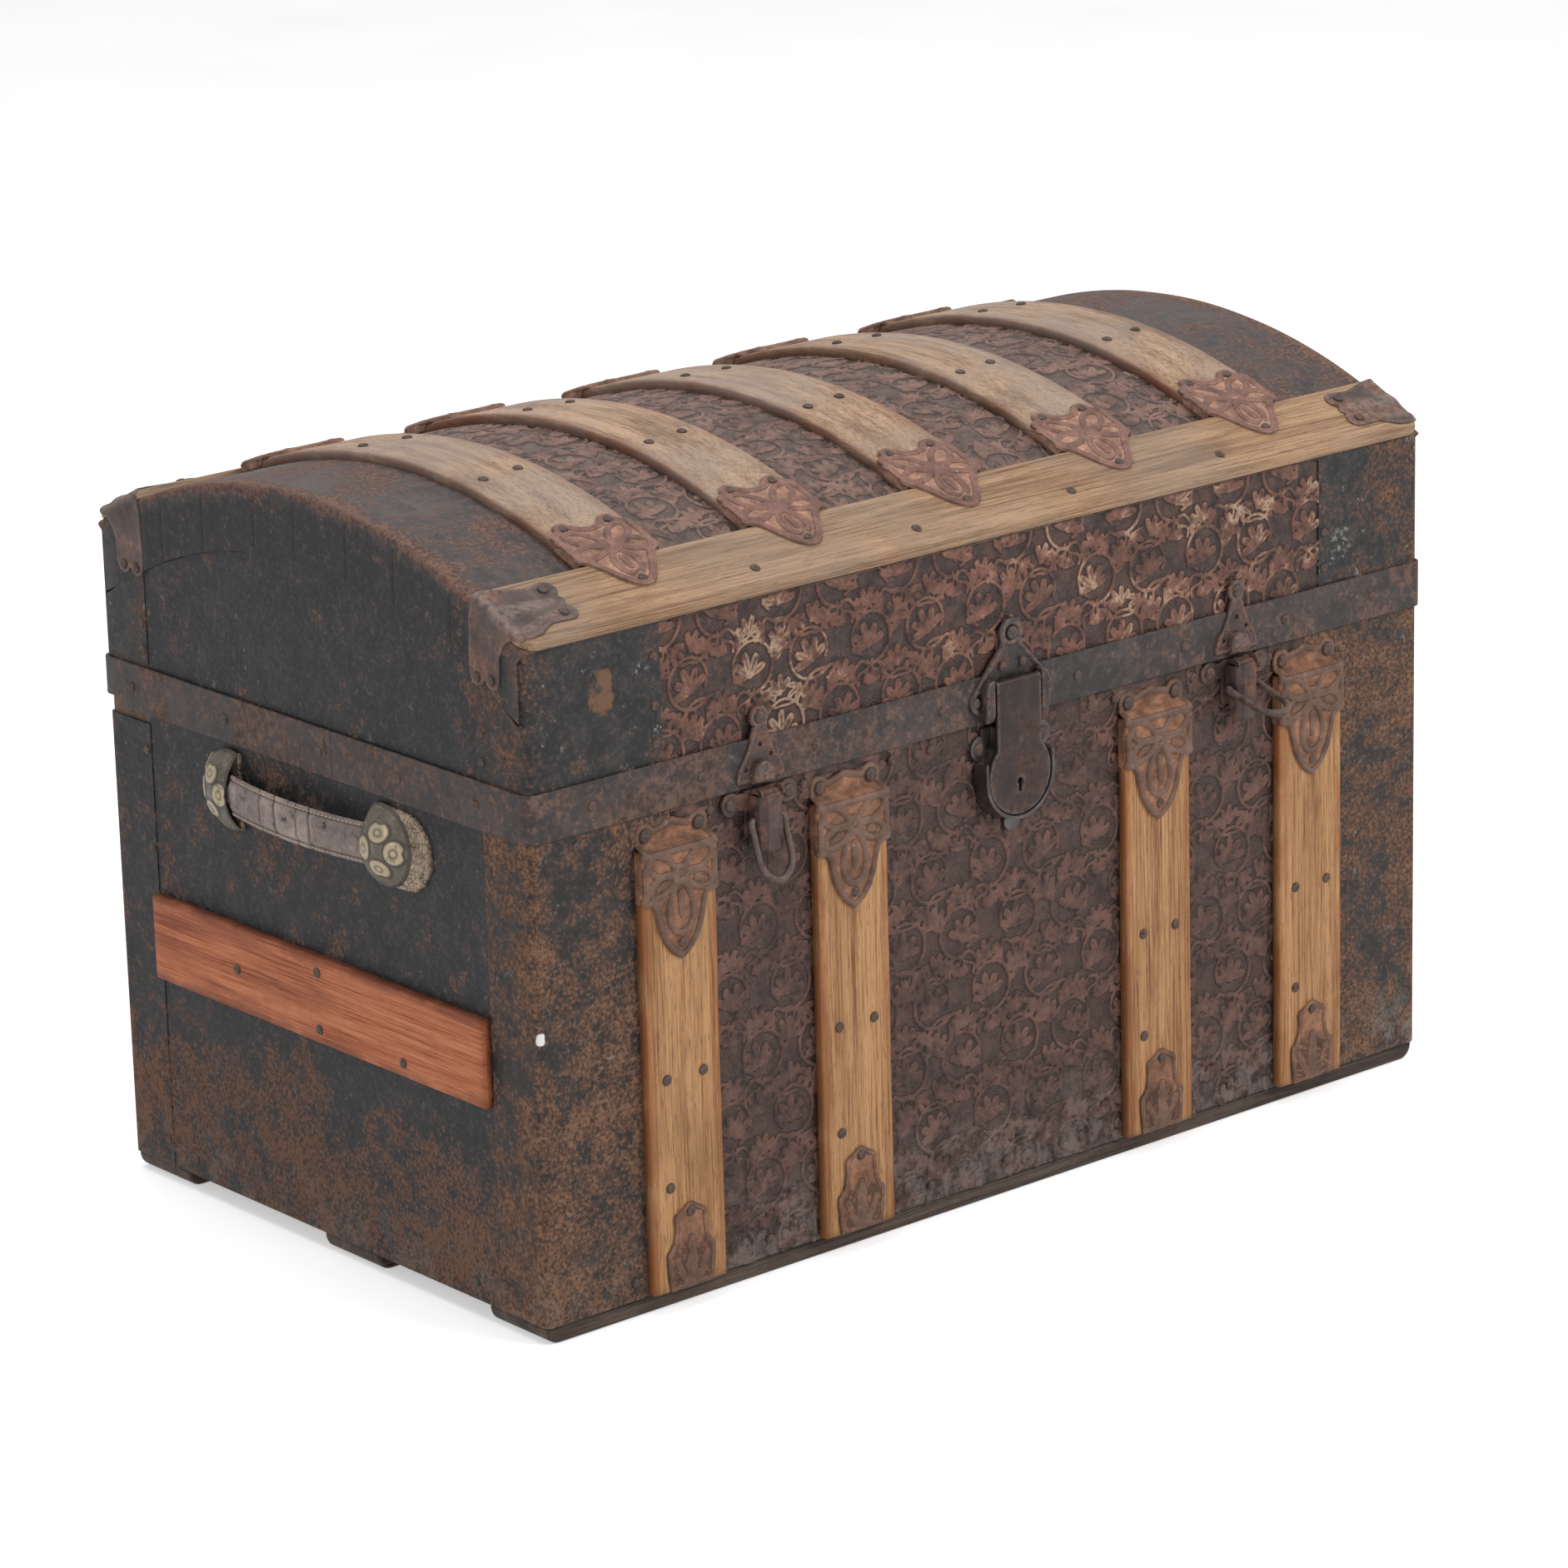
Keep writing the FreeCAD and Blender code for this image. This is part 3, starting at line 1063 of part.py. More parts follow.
# ---------------------------------------------------------------- draw latches
def latch_catch(x):
    neck = CATCH_NECK_HALF_WIDTH
    wide = CATCH_HALF_WIDTH
    outline = [(neck, CATCH_LOBE_Z - neck), (neck * 1.25, CATCH_LOBE_Z * 0.7)]
    outline += [(wide * 0.7, CATCH_LOBE_Z * 0.42), (wide * 0.95, CATCH_LOBE_Z * 0.17)]
    outline.append((wide, -CATCH_FOOT))
    outline = [(x + dx, z) for dx, z in mirrored_outline(outline)]
    parts = []
    for out0, out1 in ((BAND_OUTER, HARDWARE_FACE), (SKIN, BAND_OUTER)):
        disc = front_disc(x, CATCH_LOBE_Z, CATCH_LOBE_RADIUS, out0, out1)
        parts.append(fuse([on_front(outline, out0, out1), disc]))
    above = front_box(x - wide, x + wide, BAND_TOP, BODY_HEIGHT, 0, HARDWARE_FACE)
    parts[1] = parts[1].common(above)
    nub_face = HARDWARE_FACE + NUB_REACH
    arch = front_disc(x, NUB_Z, NUB_RADIUS, HARDWARE_FACE, nub_face)
    below = front_box(x - wide, x + wide, -BODY_HEIGHT, NUB_FOOT, HARDWARE_FACE, nub_face)
    parts.append(arch.cut(below))
    return fuse(parts)


def latch_base(x):
    half = LATCH_BASE_WIDTH / 2
    face = SKIN + LATCH_BASE_THICKNESS
    foot = -LATCH_BASE_TOP - LATCH_BASE_HEIGHT
    parts = [front_box(x - half, x + half, foot, -LATCH_BASE_TOP, SKIN, face)]
    ear = LATCH_EAR_X
    tie = LATCH_EAR_RADIUS * 0.7
    parts.append(front_box(x - ear, x + ear, -LATCH_EAR_Z - tie, -LATCH_EAR_Z + tie, SKIN, face))
    for side in (LEFT, RIGHT):
        parts.append(front_disc(x + side * ear, -LATCH_EAR_Z, LATCH_EAR_RADIUS, SKIN, face))
    lug = LEVER_WIDTH / 2 - LEVER_WALL - LEVER_SIDE_GAP
    rise = LEVER_LUG_HALF_HEIGHT
    low, high = -LEVER_AXIS_Z - rise, -LEVER_AXIS_Z + rise
    parts.append(front_box(x - lug, x + lug, low, high, face, LEVER_AXIS_OUT))
    parts.append(lever_rod(x, rise, lug))
    return fuse(parts).cut(lever_rod(x, LEVER_PIN_RADIUS, lug))


def lever_rod(x, radius, half):
    start = Vector(x - half, -(HALF_DEPTH + LEVER_AXIS_OUT), SEAM - LEVER_AXIS_Z)
    return cylinder(radius, half * 2, start, Vector(1, 0, 0))


def latch_lever(x):
    """Channel lever: two sides that rise round its pin, and a front wall below the pin."""
    half = LEVER_WIDTH / 2
    axis_y = -(HALF_DEPTH + LEVER_AXIS_OUT)
    axis_z = SEAM - LEVER_AXIS_Z
    barrel = LEVER_BARREL_RADIUS
    chamfer = barrel * 0.75
    outline = [(barrel, 0), (barrel, chamfer - LEVER_LENGTH), (barrel - chamfer, -LEVER_LENGTH)]
    outline += [(-barrel / 2, -LEVER_LENGTH), (-LEVER_BACK, LEVER_BACK * 1.5 - LEVER_LENGTH)]
    outline += [(-LEVER_BACK, -barrel * 0.7), (-barrel, 0)]
    points = [(axis_y - out, axis_z + z) for out, z in outline]
    solid = fuse([along_x(points, x - half, x + half), lever_rod(x, barrel, half)])
    inner = half - LEVER_WALL
    wall_y = axis_y - barrel + LEVER_WALL
    foot = axis_z - LEVER_LENGTH + LEVER_WALL
    rear = axis_y + LEVER_BACK * 2
    tools = [box(x - inner, x + inner, wall_y, rear, foot, SEAM)]
    tools.append(box(x - inner, x + inner, axis_y - barrel * 2, rear, axis_z, SEAM))
    tools.append(lever_rod(x, LEVER_PIN_RADIUS + PIN_CLEARANCE, half))
    tools.append(bail_rod(x, BAIL_STUB_RADIUS + BAIL_STUB_CLEARANCE, half))
    return cut_all(solid, tools)


def bail_rod(x, radius, half):
    start = Vector(x - half, -(HALF_DEPTH + BAIL_AXIS_OUT), SEAM - BAIL_AXIS_Z)
    return cylinder(radius, half * 2, start, Vector(1, 0, 0))


def latch_bail(x, swing):
    """Wire loop with two short inward stubs, drawn hanging and then swung out."""
    half = LEVER_WIDTH / 2 + BAIL_GAP + BAIL_WIRE_RADIUS
    y = -(HALF_DEPTH + BAIL_AXIS_OUT)
    z = SEAM - BAIL_AXIS_Z
    bend = z - BAIL_REACH + half
    right = Part.makeLine(Vector(x + half, y, z), Vector(x + half, y, bend))
    low = Vector(x, y, z - BAIL_REACH)
    arch = Part.Arc(Vector(x + half, y, bend), low, Vector(x - half, y, bend)).toShape()
    left = Part.makeLine(Vector(x - half, y, bend), Vector(x - half, y, z))
    path = Part.Wire([right, arch, left])
    circle = Part.makeCircle(BAIL_WIRE_RADIUS, Vector(x + half, y, z), Vector(0, 0, 1))
    loop = path.makePipeShell([Part.Wire([circle])], True, False)
    parts = [loop]
    for side in (LEFT, RIGHT):
        eye = Vector(x + side * half, y, z)
        parts.append(Part.makeSphere(BAIL_WIRE_RADIUS, eye))
        length = BAIL_WIRE_RADIUS + BAIL_GAP + LEVER_WALL
        parts.append(cylinder(BAIL_STUB_RADIUS, length, eye, Vector(-side, 0, 0)))
    bail = fuse(parts)
    bail.rotate(Vector(x, y, z), Vector(-1, 0, 0), swing)
    return bail


def latches():
    catches, bases, pins = [], [], []
    for side, word in ((LEFT, "left"), (RIGHT, "right")):
        x = LATCH_X[side]
        catches.append(latch_catch(x))
        bases.append(latch_base(x))
        pins.append(lever_rod(x, LEVER_PIN_RADIUS, LEVER_WIDTH / 2))
        save("latch_lever_" + word, latch_lever(x))
        save("latch_bail_" + word, latch_bail(x, BAIL_SWING[side]))
    save("latch_catches", *catches)
    save("latch_bases", *bases)
    save("lever_pins", *pins)


# ---------------------------------------------------------------- end handles
def handle_cap_ball(shrink, y):
    pad_face = END_SKIN + HANDLE_PAD_THICKNESS
    radius = (HANDLE_CAP_RADIUS ** 2 + HANDLE_CAP_HEIGHT ** 2) / (2 * HANDLE_CAP_HEIGHT)
    x = HALF_LENGTH + pad_face + HANDLE_CAP_HEIGHT - radius
    return Part.makeSphere(radius - shrink, Vector(x, y, SEAM - HANDLE_DROP))


def handle_cap(side):
    """Domed cap on the right end, side being -1 for the front cap and 1 for the rear cap."""
    mouth = HANDLE_MIDDLE_Y + side * HANDLE_MOUTH_GAP / 2
    y = mouth + side * HANDLE_CAP_INSET
    far = y + side * HANDLE_CAP_RADIUS
    x0 = HALF_LENGTH + END_SKIN + HANDLE_PAD_THICKNESS
    middle = SEAM - HANDLE_DROP
    reach = HANDLE_CAP_RADIUS
    x1 = x0 + HANDLE_CAP_HEIGHT * 2
    zone = box(x0, x1, min(mouth, far), max(mouth, far), middle - reach, middle + reach)
    return handle_cap_ball(0, y).cut(handle_cap_ball(HANDLE_CAP_WALL, y)).common(zone)


def handle_pad(side, shift):
    """Leather pad under a cap, rounded past it and straight at the cap's mouth."""
    mouth = HANDLE_MIDDLE_Y + side * HANDLE_MOUTH_GAP / 2
    y = mouth + side * (HANDLE_CAP_INSET + shift)
    x0 = HALF_LENGTH + END_SKIN
    middle = SEAM - HANDLE_DROP
    half = HANDLE_PAD_RADIUS
    x1 = x0 + HANDLE_PAD_THICKNESS
    disc = cylinder(half, HANDLE_PAD_THICKNESS, Vector(x0, y, middle), Vector(1, 0, 0))
    tail = box(x0, x1, min(mouth, y), max(mouth, y), middle - half, middle + half)
    reach = half * 3
    zone = box(x0, x1, min(mouth, y + side * reach), max(mouth, y + side * reach), 0, SEAM)
    return fuse([disc, tail]).common(zone)


def handle_strap():
    """Leather strap of the right end: bowed outward, with a narrow tongue into each cap."""
    half = HANDLE_MOUTH_GAP / 2 - STRAP_MOUTH_GAP
    radius = (half ** 2 + STRAP_BOW ** 2) / (2 * STRAP_BOW)
    axis_x = HALF_LENGTH + STRAP_AXIS_OUT
    middle_x = axis_x + STRAP_BOW - radius
    low = SEAM - HANDLE_DROP - STRAP_WIDTH / 2
    start = Vector(middle_x, HANDLE_MIDDLE_Y, low)
    up = Vector(0, 0, 1)
    outer = cylinder(radius + STRAP_THICKNESS / 2, STRAP_WIDTH, start, up)
    inner = cylinder(radius - STRAP_THICKNESS / 2, STRAP_WIDTH, start, up)
    y0, y1 = HANDLE_MIDDLE_Y - half, HANDLE_MIDDLE_Y + half
    zone = box(middle_x, axis_x + STRAP_BOW * 2, y0, y1, low, low + STRAP_WIDTH)
    strap = outer.cut(inner).common(zone)
    rise = TONGUE_WIDTH / 2
    deep = TONGUE_THICKNESS / 2
    middle = SEAM - HANDLE_DROP
    x0, x1 = axis_x - deep, axis_x + deep
    reach = half + STRAP_MOUTH_GAP + TONGUE_LENGTH
    y2, y3 = HANDLE_MIDDLE_Y - reach, HANDLE_MIDDLE_Y + reach
    tongues = [box(x0, x1, y2, y0 + deep, middle - rise, middle + rise)]
    tongues.append(box(x0, x1, y1 - deep, y3, middle - rise, middle + rise))
    return fuse([strap] + tongues)


def handles():
    caps = [handle_cap(FRONT), handle_cap(BACK)]
    pads = [handle_pad(FRONT, FRONT_PAD_SHIFT), handle_pad(BACK, REAR_PAD_SHIFT)]
    save("handle_caps", *(caps + [mirror_x(c) for c in caps]))
    save("handle_pads", *(pads + [mirror_x(p) for p in pads]))
    strap = handle_strap()
    save("handle_strap_right", strap)
    save("handle_strap_left", mirror_x(strap))


# ---------------------------------------------------------------- nails and rivets
def nail_head(radius, height, place, normal):
    """Shallow domed head seated at a place, facing along the normal."""
    ball = (radius ** 2 + height ** 2) / (2 * height)
    arc = math.asin(radius / ball)
    rim = Vector(radius, 0, 0)
    shoulder = Vector(ball * math.sin(arc / 2), 0, ball * math.cos(arc / 2) - ball + height)
    top = Vector(0, 0, height)
    centre = Vector(0, 0, 0)
    edges = [Part.makeLine(centre, rim), Part.Arc(rim, shoulder, top).toShape()]
    edges.append(Part.makeLine(top, centre))
    head = Part.Face(Part.Wire(edges)).revolve(centre, Vector(0, 0, 1), 360)
    head = Part.Solid(head) if head.ShapeType == "Shell" else head
    head.Placement = facing(place, normal)
    return head


def facing(place, normal):
    return FreeCAD.Placement(place, FreeCAD.Rotation(Vector(0, 0, 1), normal))


def tack_head(place, normal):
    """Small faceted head of a cut tack, wide at its foot and flat on top."""
    step = 2 * math.pi / TACK_SIDES
    turns = [Vector(math.cos(step * k), math.sin(step * k), 0) for k in range(TACK_SIDES)]
    foot = [turn * TACK_RADIUS for turn in turns]
    top = [turn * TACK_RADIUS * TACK_TAPER + Vector(0, 0, TACK_HEIGHT) for turn in turns]
    head = Part.makeLoft([closed_wire(foot), closed_wire(top)], True, True)
    head.Placement = facing(place, normal)
    return head


def closed_wire(points):
    return Part.makePolygon(points + [points[0]])


def front_head(x, z, out, radius, height):
    return nail_head(radius, height, Vector(x, -(HALF_DEPTH + out), SEAM + z), Vector(0, -1, 0))


def front_tack(x, z, out):
    return tack_head(Vector(x, -(HALF_DEPTH + out), SEAM + z), Vector(0, -1, 0))


def end_tacks(y, z, out):
    """The same tack on the left end and on the right end."""
    heads = []
    for side in (LEFT, RIGHT):
        place = Vector(side * (HALF_LENGTH + out), y, SEAM + z)
        heads.append(tack_head(place, Vector(side, 0, 0)))
    return heads


def end_heads(y, z, out, radius, height):
    """The same head on the left end and on the right end."""
    heads = []
    for side in (LEFT, RIGHT):
        place = Vector(side * (HALF_LENGTH + out), y, SEAM + z)
        heads.append(nail_head(radius, height, place, Vector(side, 0, 0)))
    return heads


def back_head(x, z, out, radius, height):
    return nail_head(radius, height, Vector(x, HALF_DEPTH + out, SEAM + z), Vector(0, 1, 0))


def spaced(start, end, pitch):
    """Places evenly spaced from start to end, at about one pitch."""
    count = max(1, round(abs(end - start) / pitch))
    return [start + (end - start) * index / count for index in range(count + 1)]


def slat_nails():
    heads = []
    half = FRONT_SLAT_WIDTH / 4
    tip = CLAMP_THICKNESS - FRONT_SLAT_DROP - CLAMP_PLATE_HEIGHT - CLAMP_TIP_REACH
    low = -BODY_HEIGHT + FRONT_SLAT_FOOT + FOOT_CLAMP_HEIGHT + SLAT_NAIL_ABOVE_CLAMP
    middle = (tip + low) / 2 - SLAT_NAIL_DROP
    for x in FRONT_SLATS_X:
        for z, dx in ((middle, -half), (middle, half), (low, -half)):
            heads.append(front_head(x + dx, z, SLAT_FACE, NAIL_RADIUS, NAIL_HEIGHT))
        foot = -BODY_HEIGHT + FOOT_CLAMP_HEIGHT - FRONT_SLAT_FOOT * 2
        face = SLAT_FACE + CLAMP_THICKNESS
        heads.append(front_head(x, foot, face, NAIL_RADIUS, NAIL_HEIGHT))
        upper = tip + CLAMP_TIP_RADIUS * 1.3
        heads.append(front_head(x, upper, face, NAIL_RADIUS, NAIL_HEIGHT))
        lobe_z = CLAMP_THICKNESS - FRONT_SLAT_DROP + CLAMP_FLANGE_HEIGHT
        for side in (LEFT, RIGHT):
            lobe_x = x + side * CLAMP_LOBE_SPREAD / 2
            face = SKIN + CLAMP_THICKNESS
            heads.append(front_head(lobe_x, lobe_z, face, RIVET_RADIUS, NAIL_HEIGHT))
    face = END_SKIN + FRONT_SLAT_THICKNESS
    upper = -FRONT_SLAT_DROP - BACK_SLAT_NAIL_INSET
    lower = -BODY_HEIGHT + BACK_SLAT_NAIL_INSET
    for x in (-INNER_FRONT_SLAT_X, INNER_FRONT_SLAT_X):
        for z in (upper, (upper + lower) / 2, lower):
            heads.append(back_head(x, z, face, NAIL_RADIUS, NAIL_HEIGHT))
    return heads


def end_nails():
    heads = []
    face = END_SKIN + END_SLAT_THICKNESS
    row = END_SLAT_HEIGHT / 3
    for step, dz in ((1, 0), (0, row), (0, -row), (-1, -row)):
        y = END_SLAT_NAIL_SHIFT + END_SLAT_NAIL_RUN * step
        heads += end_heads(y, -END_SLAT_DROP + dz, face, NAIL_RADIUS, NAIL_HEIGHT)
    wrap_y = -HALF_DEPTH + BODY_WRAP_END_LEG - TACK_RADIUS * 2
    iron_y = HALF_DEPTH - BACK_IRON_LEG + TACK_RADIUS * 2
    for z in spaced(-STITCH_TOP, -BODY_HEIGHT + STITCH_FOOT, STITCH_PITCH):
        heads += end_tacks(wrap_y, z, SKIN)
        heads += end_tacks(iron_y, z, SKIN)
    far = HALF_DEPTH - FOOT_TACK_SIDE_INSET
    for y in spaced(-far, far, STITCH_PITCH * 1.6):
        heads += end_tacks(y, -BODY_HEIGHT + FOOT_TACK_RISE, END_SKIN)
    return heads


def body_rim_nails():
    """Tacks along the body's front, under the band and along the foot, clear of the hardware."""
    end = HALF_LENGTH - RIM_TACK_END_INSET
    rim = [-end, end]
    for middle, shifts in zip(FRONT_SLATS_X, RIM_TACK_SHIFTS):
        rim += [middle + shift for shift in shifts]
    heads = [front_tack(x, -RIM_TACK_DROP, SKIN) for x in rim]
    between = (OUTER_FRONT_SLAT_X + INNER_FRONT_SLAT_X) / 2
    outside = OUTER_FRONT_SLAT_X + FRONT_SLAT_WIDTH * 2 / 3
    foot = [HALF_LENGTH - FOOT_TACK_END_INSET, outside, between, INNER_FRONT_SLAT_X / 2]
    for x in foot + [0] + [-place for place in foot]:
        heads.append(front_tack(x, -BODY_HEIGHT + FOOT_TACK_RISE, SKIN))
    return heads


def body_hardware_rivets():
    heads = []
    face = SKIN + CASE_PLATE
    for side in (LEFT, RIGHT):
        x = LOCK_X + side * (CASE_EAR_X + CASE_EAR_RADIUS / 4)
        heads.append(front_head(x, -CASE_EAR_Z, face, RIVET_RADIUS, NAIL_HEIGHT))
    face = SKIN + LATCH_BASE_THICKNESS
    for centre in LATCH_X.values():
        for side in (LEFT, RIGHT):
            x = centre + side * LATCH_EAR_X
            heads.append(front_head(x, -LATCH_EAR_Z, face, RIVET_RADIUS, RIVET_HEIGHT))
    face = END_SKIN + HINGE_LEAF
    for centre in (-HINGE_X, HINGE_X):
        for dx in (-HINGE_WIDTH / 3, HINGE_WIDTH / 3):
            z = HINGE_RIVET_MARGIN - HINGE_BODY_LEAF_HEIGHT
            heads.append(back_head(centre + dx, z, face, RIVET_RADIUS, NAIL_HEIGHT))
    return heads


def dome_head(x, y, out, radius, height):
    """A nail on top of a dome slat, or on a clamp over it."""
    ball = DOME_RADIUS + SKIN + DOME_SLAT_THICKNESS + out
    angle = math.asin(y / ball)
    py, pz = dome_point(angle, ball)
    return nail_head(radius, height, Vector(x, py, pz), Vector(0, math.sin(angle), math.cos(angle)))


def shoulder_head(x, up, out, radius, height, side):
    """A nail on a shoulder slat, up the slope by a distance, at the front or the back."""
    head = on_shoulder_place(x, up, out)
    slope = math.radians(shoulder_frame()[1])
    normal = Vector(0, -math.sin(slope), math.cos(slope))
    if side == BACK:
        head = Vector(head.x, -head.y, head.z)
        normal = Vector(0, -normal.y, normal.z)
    return nail_head(radius, height, head, normal)


def on_shoulder_place(x, up, out):
    start, slope = shoulder_frame()
    angle = math.radians(slope)
    y = start.y + up * math.cos(angle) - out * math.sin(angle)
    return Vector(x, y, start.z + up * math.sin(angle) + out * math.cos(angle))


def dome_nails():
    heads = []
    for index in range(DOME_SLAT_COUNT):
        x = DOME_SLAT_SHIFT + (index - (DOME_SLAT_COUNT - 1) / 2) * DOME_SLAT_SPACING
        for side in (FRONT, BACK):
            for step in (LEFT, RIGHT):
                y = side * (DOME_NAIL_Y - DOME_NAIL_STAGGER * step)
                dx = step * DOME_SLAT_WIDTH / 4
                heads.append(dome_head(x + dx, y, 0, NAIL_RADIUS, NAIL_HEIGHT))
        lobe_y = slat_joint_y() - DOME_CLAMP_BACK_REACH
        for side in (FRONT, BACK):
            for dx in (-DOME_CLAMP_LOBE_SPREAD / 2, DOME_CLAMP_LOBE_SPREAD / 2):
                y = side * lobe_y
                heads.append(dome_head(x + dx, y, CLAMP_THICKNESS, NAIL_RADIUS, NAIL_HEIGHT))
            tip = SHOULDER_SLAT_WIDTH - DOME_CLAMP_TIP_REACH + DOME_CLAMP_TIP_RADIUS
            out = SHOULDER_SLAT_THICKNESS + CLAMP_THICKNESS
            heads.append(shoulder_head(x, tip, out, NAIL_RADIUS, NAIL_HEIGHT, side))
    out = SHOULDER_SLAT_THICKNESS
    for index in range(DOME_SLAT_COUNT - 1):
        x = DOME_SLAT_SHIFT + (index - (DOME_SLAT_COUNT - 2) / 2) * DOME_SLAT_SPACING
        x += SHOULDER_NAIL_SHIFT
        for side in (FRONT, BACK):
            heads.append(shoulder_head(x, SHOULDER_NAIL_UP, out, NAIL_RADIUS, NAIL_HEIGHT, side))
    return heads


def cap_rivets():
    heads = []
    out = SHOULDER_SLAT_THICKNESS + CAP_THICKNESS
    inner = HALF_LENGTH + SKIN - CAP_LENGTH
    for side in (FRONT, BACK):
        for end in (LEFT, RIGHT):
            for up in (CAP_LOW_RIVET, CAP_HIGH_RIVET):
                heads.append(shoulder_head(end * inner, up, out, NAIL_RADIUS, NAIL_HEIGHT, side))
    fore = HALF_DEPTH - CAP_LEAF_FRONT
    face = SKIN + CAP_THICKNESS
    low = LID_WALL_HEIGHT - CAP_LEAF_DROP
    for y in (fore - CAP_LOBE_RADIUS * 2 + 1, fore - CAP_LEAF_WIDTH + CAP_LOBE_RADIUS + 1):
        heads += end_heads(-y, low, face, NAIL_RADIUS, NAIL_HEIGHT)
        heads += end_heads(y, low, face, NAIL_RADIUS, NAIL_HEIGHT)
    return heads


def band_rivets():
    heads = []
    middle = BAND_HEIGHT / 2 - BAND_OVERHANG
    end = HALF_LENGTH - BAND_RIVET_END_INSET
    front = [-end, LOCK_X - BAND_RIVET_FROM_LOCK, LOCK_X + BAND_RIVET_FROM_LOCK, end]
    for x in LATCH_X.values():
        front += [x - BAND_RIVET_FROM_LATCH, x + BAND_RIVET_FROM_LATCH]
    for x in front:
        heads.append(front_head(x, middle, BAND_OUTER, NAIL_RADIUS, NAIL_HEIGHT))
    ends = [BAND_JOINT_Y + shift for shift in BAND_RIVETS_FROM_JOINT]
    ends += [BAND_RIVET_CORNER_INSET - HALF_DEPTH, HALF_DEPTH - BAND_RIVET_BACK_INSET]
    for y in ends:
        heads += end_heads(y, middle, BAND_OUTER, NAIL_RADIUS, NAIL_HEIGHT)
    hinge = HINGE_X - BAND_RIVET_FROM_HINGE
    for x in (-end, -hinge, 0, hinge, end):
        heads.append(back_head(x, middle, BAND_OUTER, NAIL_RADIUS, NAIL_HEIGHT))
    return heads


def lid_wrap_nails():
    heads = []
    low = BAND_TOP + LID_TACK_FROM_BAND
    for z in [low] + [LID_WALL_HEIGHT - drop for drop in LID_TACKS_FROM_SHOULDER]:
        for side in (LEFT, RIGHT):
            x = side * (HALF_LENGTH - LID_WRAP_FRONT_LEG[side] + TACK_RADIUS * 2)
            heads.append(front_tack(x, z, SKIN))
    y = HALF_DEPTH - LID_WRAP_END_LEG + TACK_RADIUS * 2
    for z in (low, LID_WALL_HEIGHT - FLANGE_DEPTH - LID_TACK_FROM_FLANGE):
        heads += end_tacks(-y, z, SKIN) + end_tacks(y, z, SKIN)
    return heads


def lid_hardware_rivets():
    heads = [front_head(LOCK_X, HASP_TOP_LOBE_Z, HARDWARE_FACE, RIVET_RADIUS, RIVET_HEIGHT)]
    for side in (LEFT, RIGHT):
        x = LOCK_X + side * (HASP_SIDE_LOBE_X + HASP_SIDE_LOBE_RADIUS / 2)
        heads.append(front_head(x, HASP_SIDE_LOBE_Z, HARDWARE_FACE, NAIL_RADIUS, NAIL_HEIGHT))
        x = LOCK_X + side * HASP_NECK_WIDTH / 4.5
        z = HASP_AXIS_Z + HASP_BARREL_RADIUS * 3.3
        heads.append(front_tack(x, z, HARDWARE_FACE))
    for x in LATCH_X.values():
        heads.append(front_head(x, CATCH_LOBE_Z, HARDWARE_FACE, RIVET_RADIUS, RIVET_HEIGHT))
    face = BAND_OUTER + HINGE_LEAF
    middle = (HINGE_WEB + HINGE_LID_LEAF_TOP) / 2
    for centre in (-HINGE_X, HINGE_X):
        for dx in (-HINGE_WIDTH / 3, HINGE_WIDTH / 3):
            heads.append(back_head(centre + dx, middle, face, NAIL_RADIUS, NAIL_HEIGHT))
    return heads


def nails():
    save("body_nails", *(slat_nails() + end_nails() + body_rim_nails() + body_hardware_rivets()))
    lid = dome_nails() + cap_rivets() + band_rivets() + lid_wrap_nails() + lid_hardware_rivets()
    save("lid_nails", *lid)


# ---------------------------------------------------------------- the whole trunk
def build():
    for make in (body_boards, body_lining, tray_cleats, lid_boards, dome_staves, lid_lining,
                 runners, body_sheets, body_corner_wraps, back_corner_irons, lid_sheets,
                 lid_corner_wraps, dome_skins, front_band, back_band, front_slats, back_slats,
                 end_slats, shoulder_slats, dome_slats, body_clamps, dome_clamps, corner_caps,
                 hinges, lock, latches, handles, nails):
        make()


build()
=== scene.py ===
import json
import math

import bmesh
import bpy
import numpy as np
from mathutils import Matrix, Vector
from mathutils.geometry import delaunay_2d_cdt


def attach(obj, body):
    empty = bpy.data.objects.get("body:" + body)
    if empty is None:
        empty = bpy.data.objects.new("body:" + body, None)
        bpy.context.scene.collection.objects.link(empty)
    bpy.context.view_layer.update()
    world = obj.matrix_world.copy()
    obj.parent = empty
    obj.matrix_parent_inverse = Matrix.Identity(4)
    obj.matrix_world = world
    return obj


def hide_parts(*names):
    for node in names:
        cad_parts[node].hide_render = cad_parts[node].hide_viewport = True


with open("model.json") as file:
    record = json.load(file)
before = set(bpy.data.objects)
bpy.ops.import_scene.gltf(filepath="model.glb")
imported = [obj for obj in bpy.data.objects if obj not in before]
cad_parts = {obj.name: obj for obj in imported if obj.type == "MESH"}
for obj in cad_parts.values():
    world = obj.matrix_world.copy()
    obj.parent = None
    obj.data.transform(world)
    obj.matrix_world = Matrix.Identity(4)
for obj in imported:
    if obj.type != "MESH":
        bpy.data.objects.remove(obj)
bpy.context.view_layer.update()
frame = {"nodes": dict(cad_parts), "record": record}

# ---------------------------------------------------------------- sizes shared with the part, in mm
MM = 0.001
HALF_LENGTH = 378.5
HALF_DEPTH = 220.0
FOOT = 12.0
SEAM = 328.0
SHOULDER = 442.0
DOME_RADIUS = 453.0701754
DOME_MIDDLE_Z = 45.9298246
SKIN = 1.6
END_SKIN = 1.0
SHOULDER_SLOPE = 0.47778
SLOPE_LENGTH = math.hypot(1, SHOULDER_SLOPE)
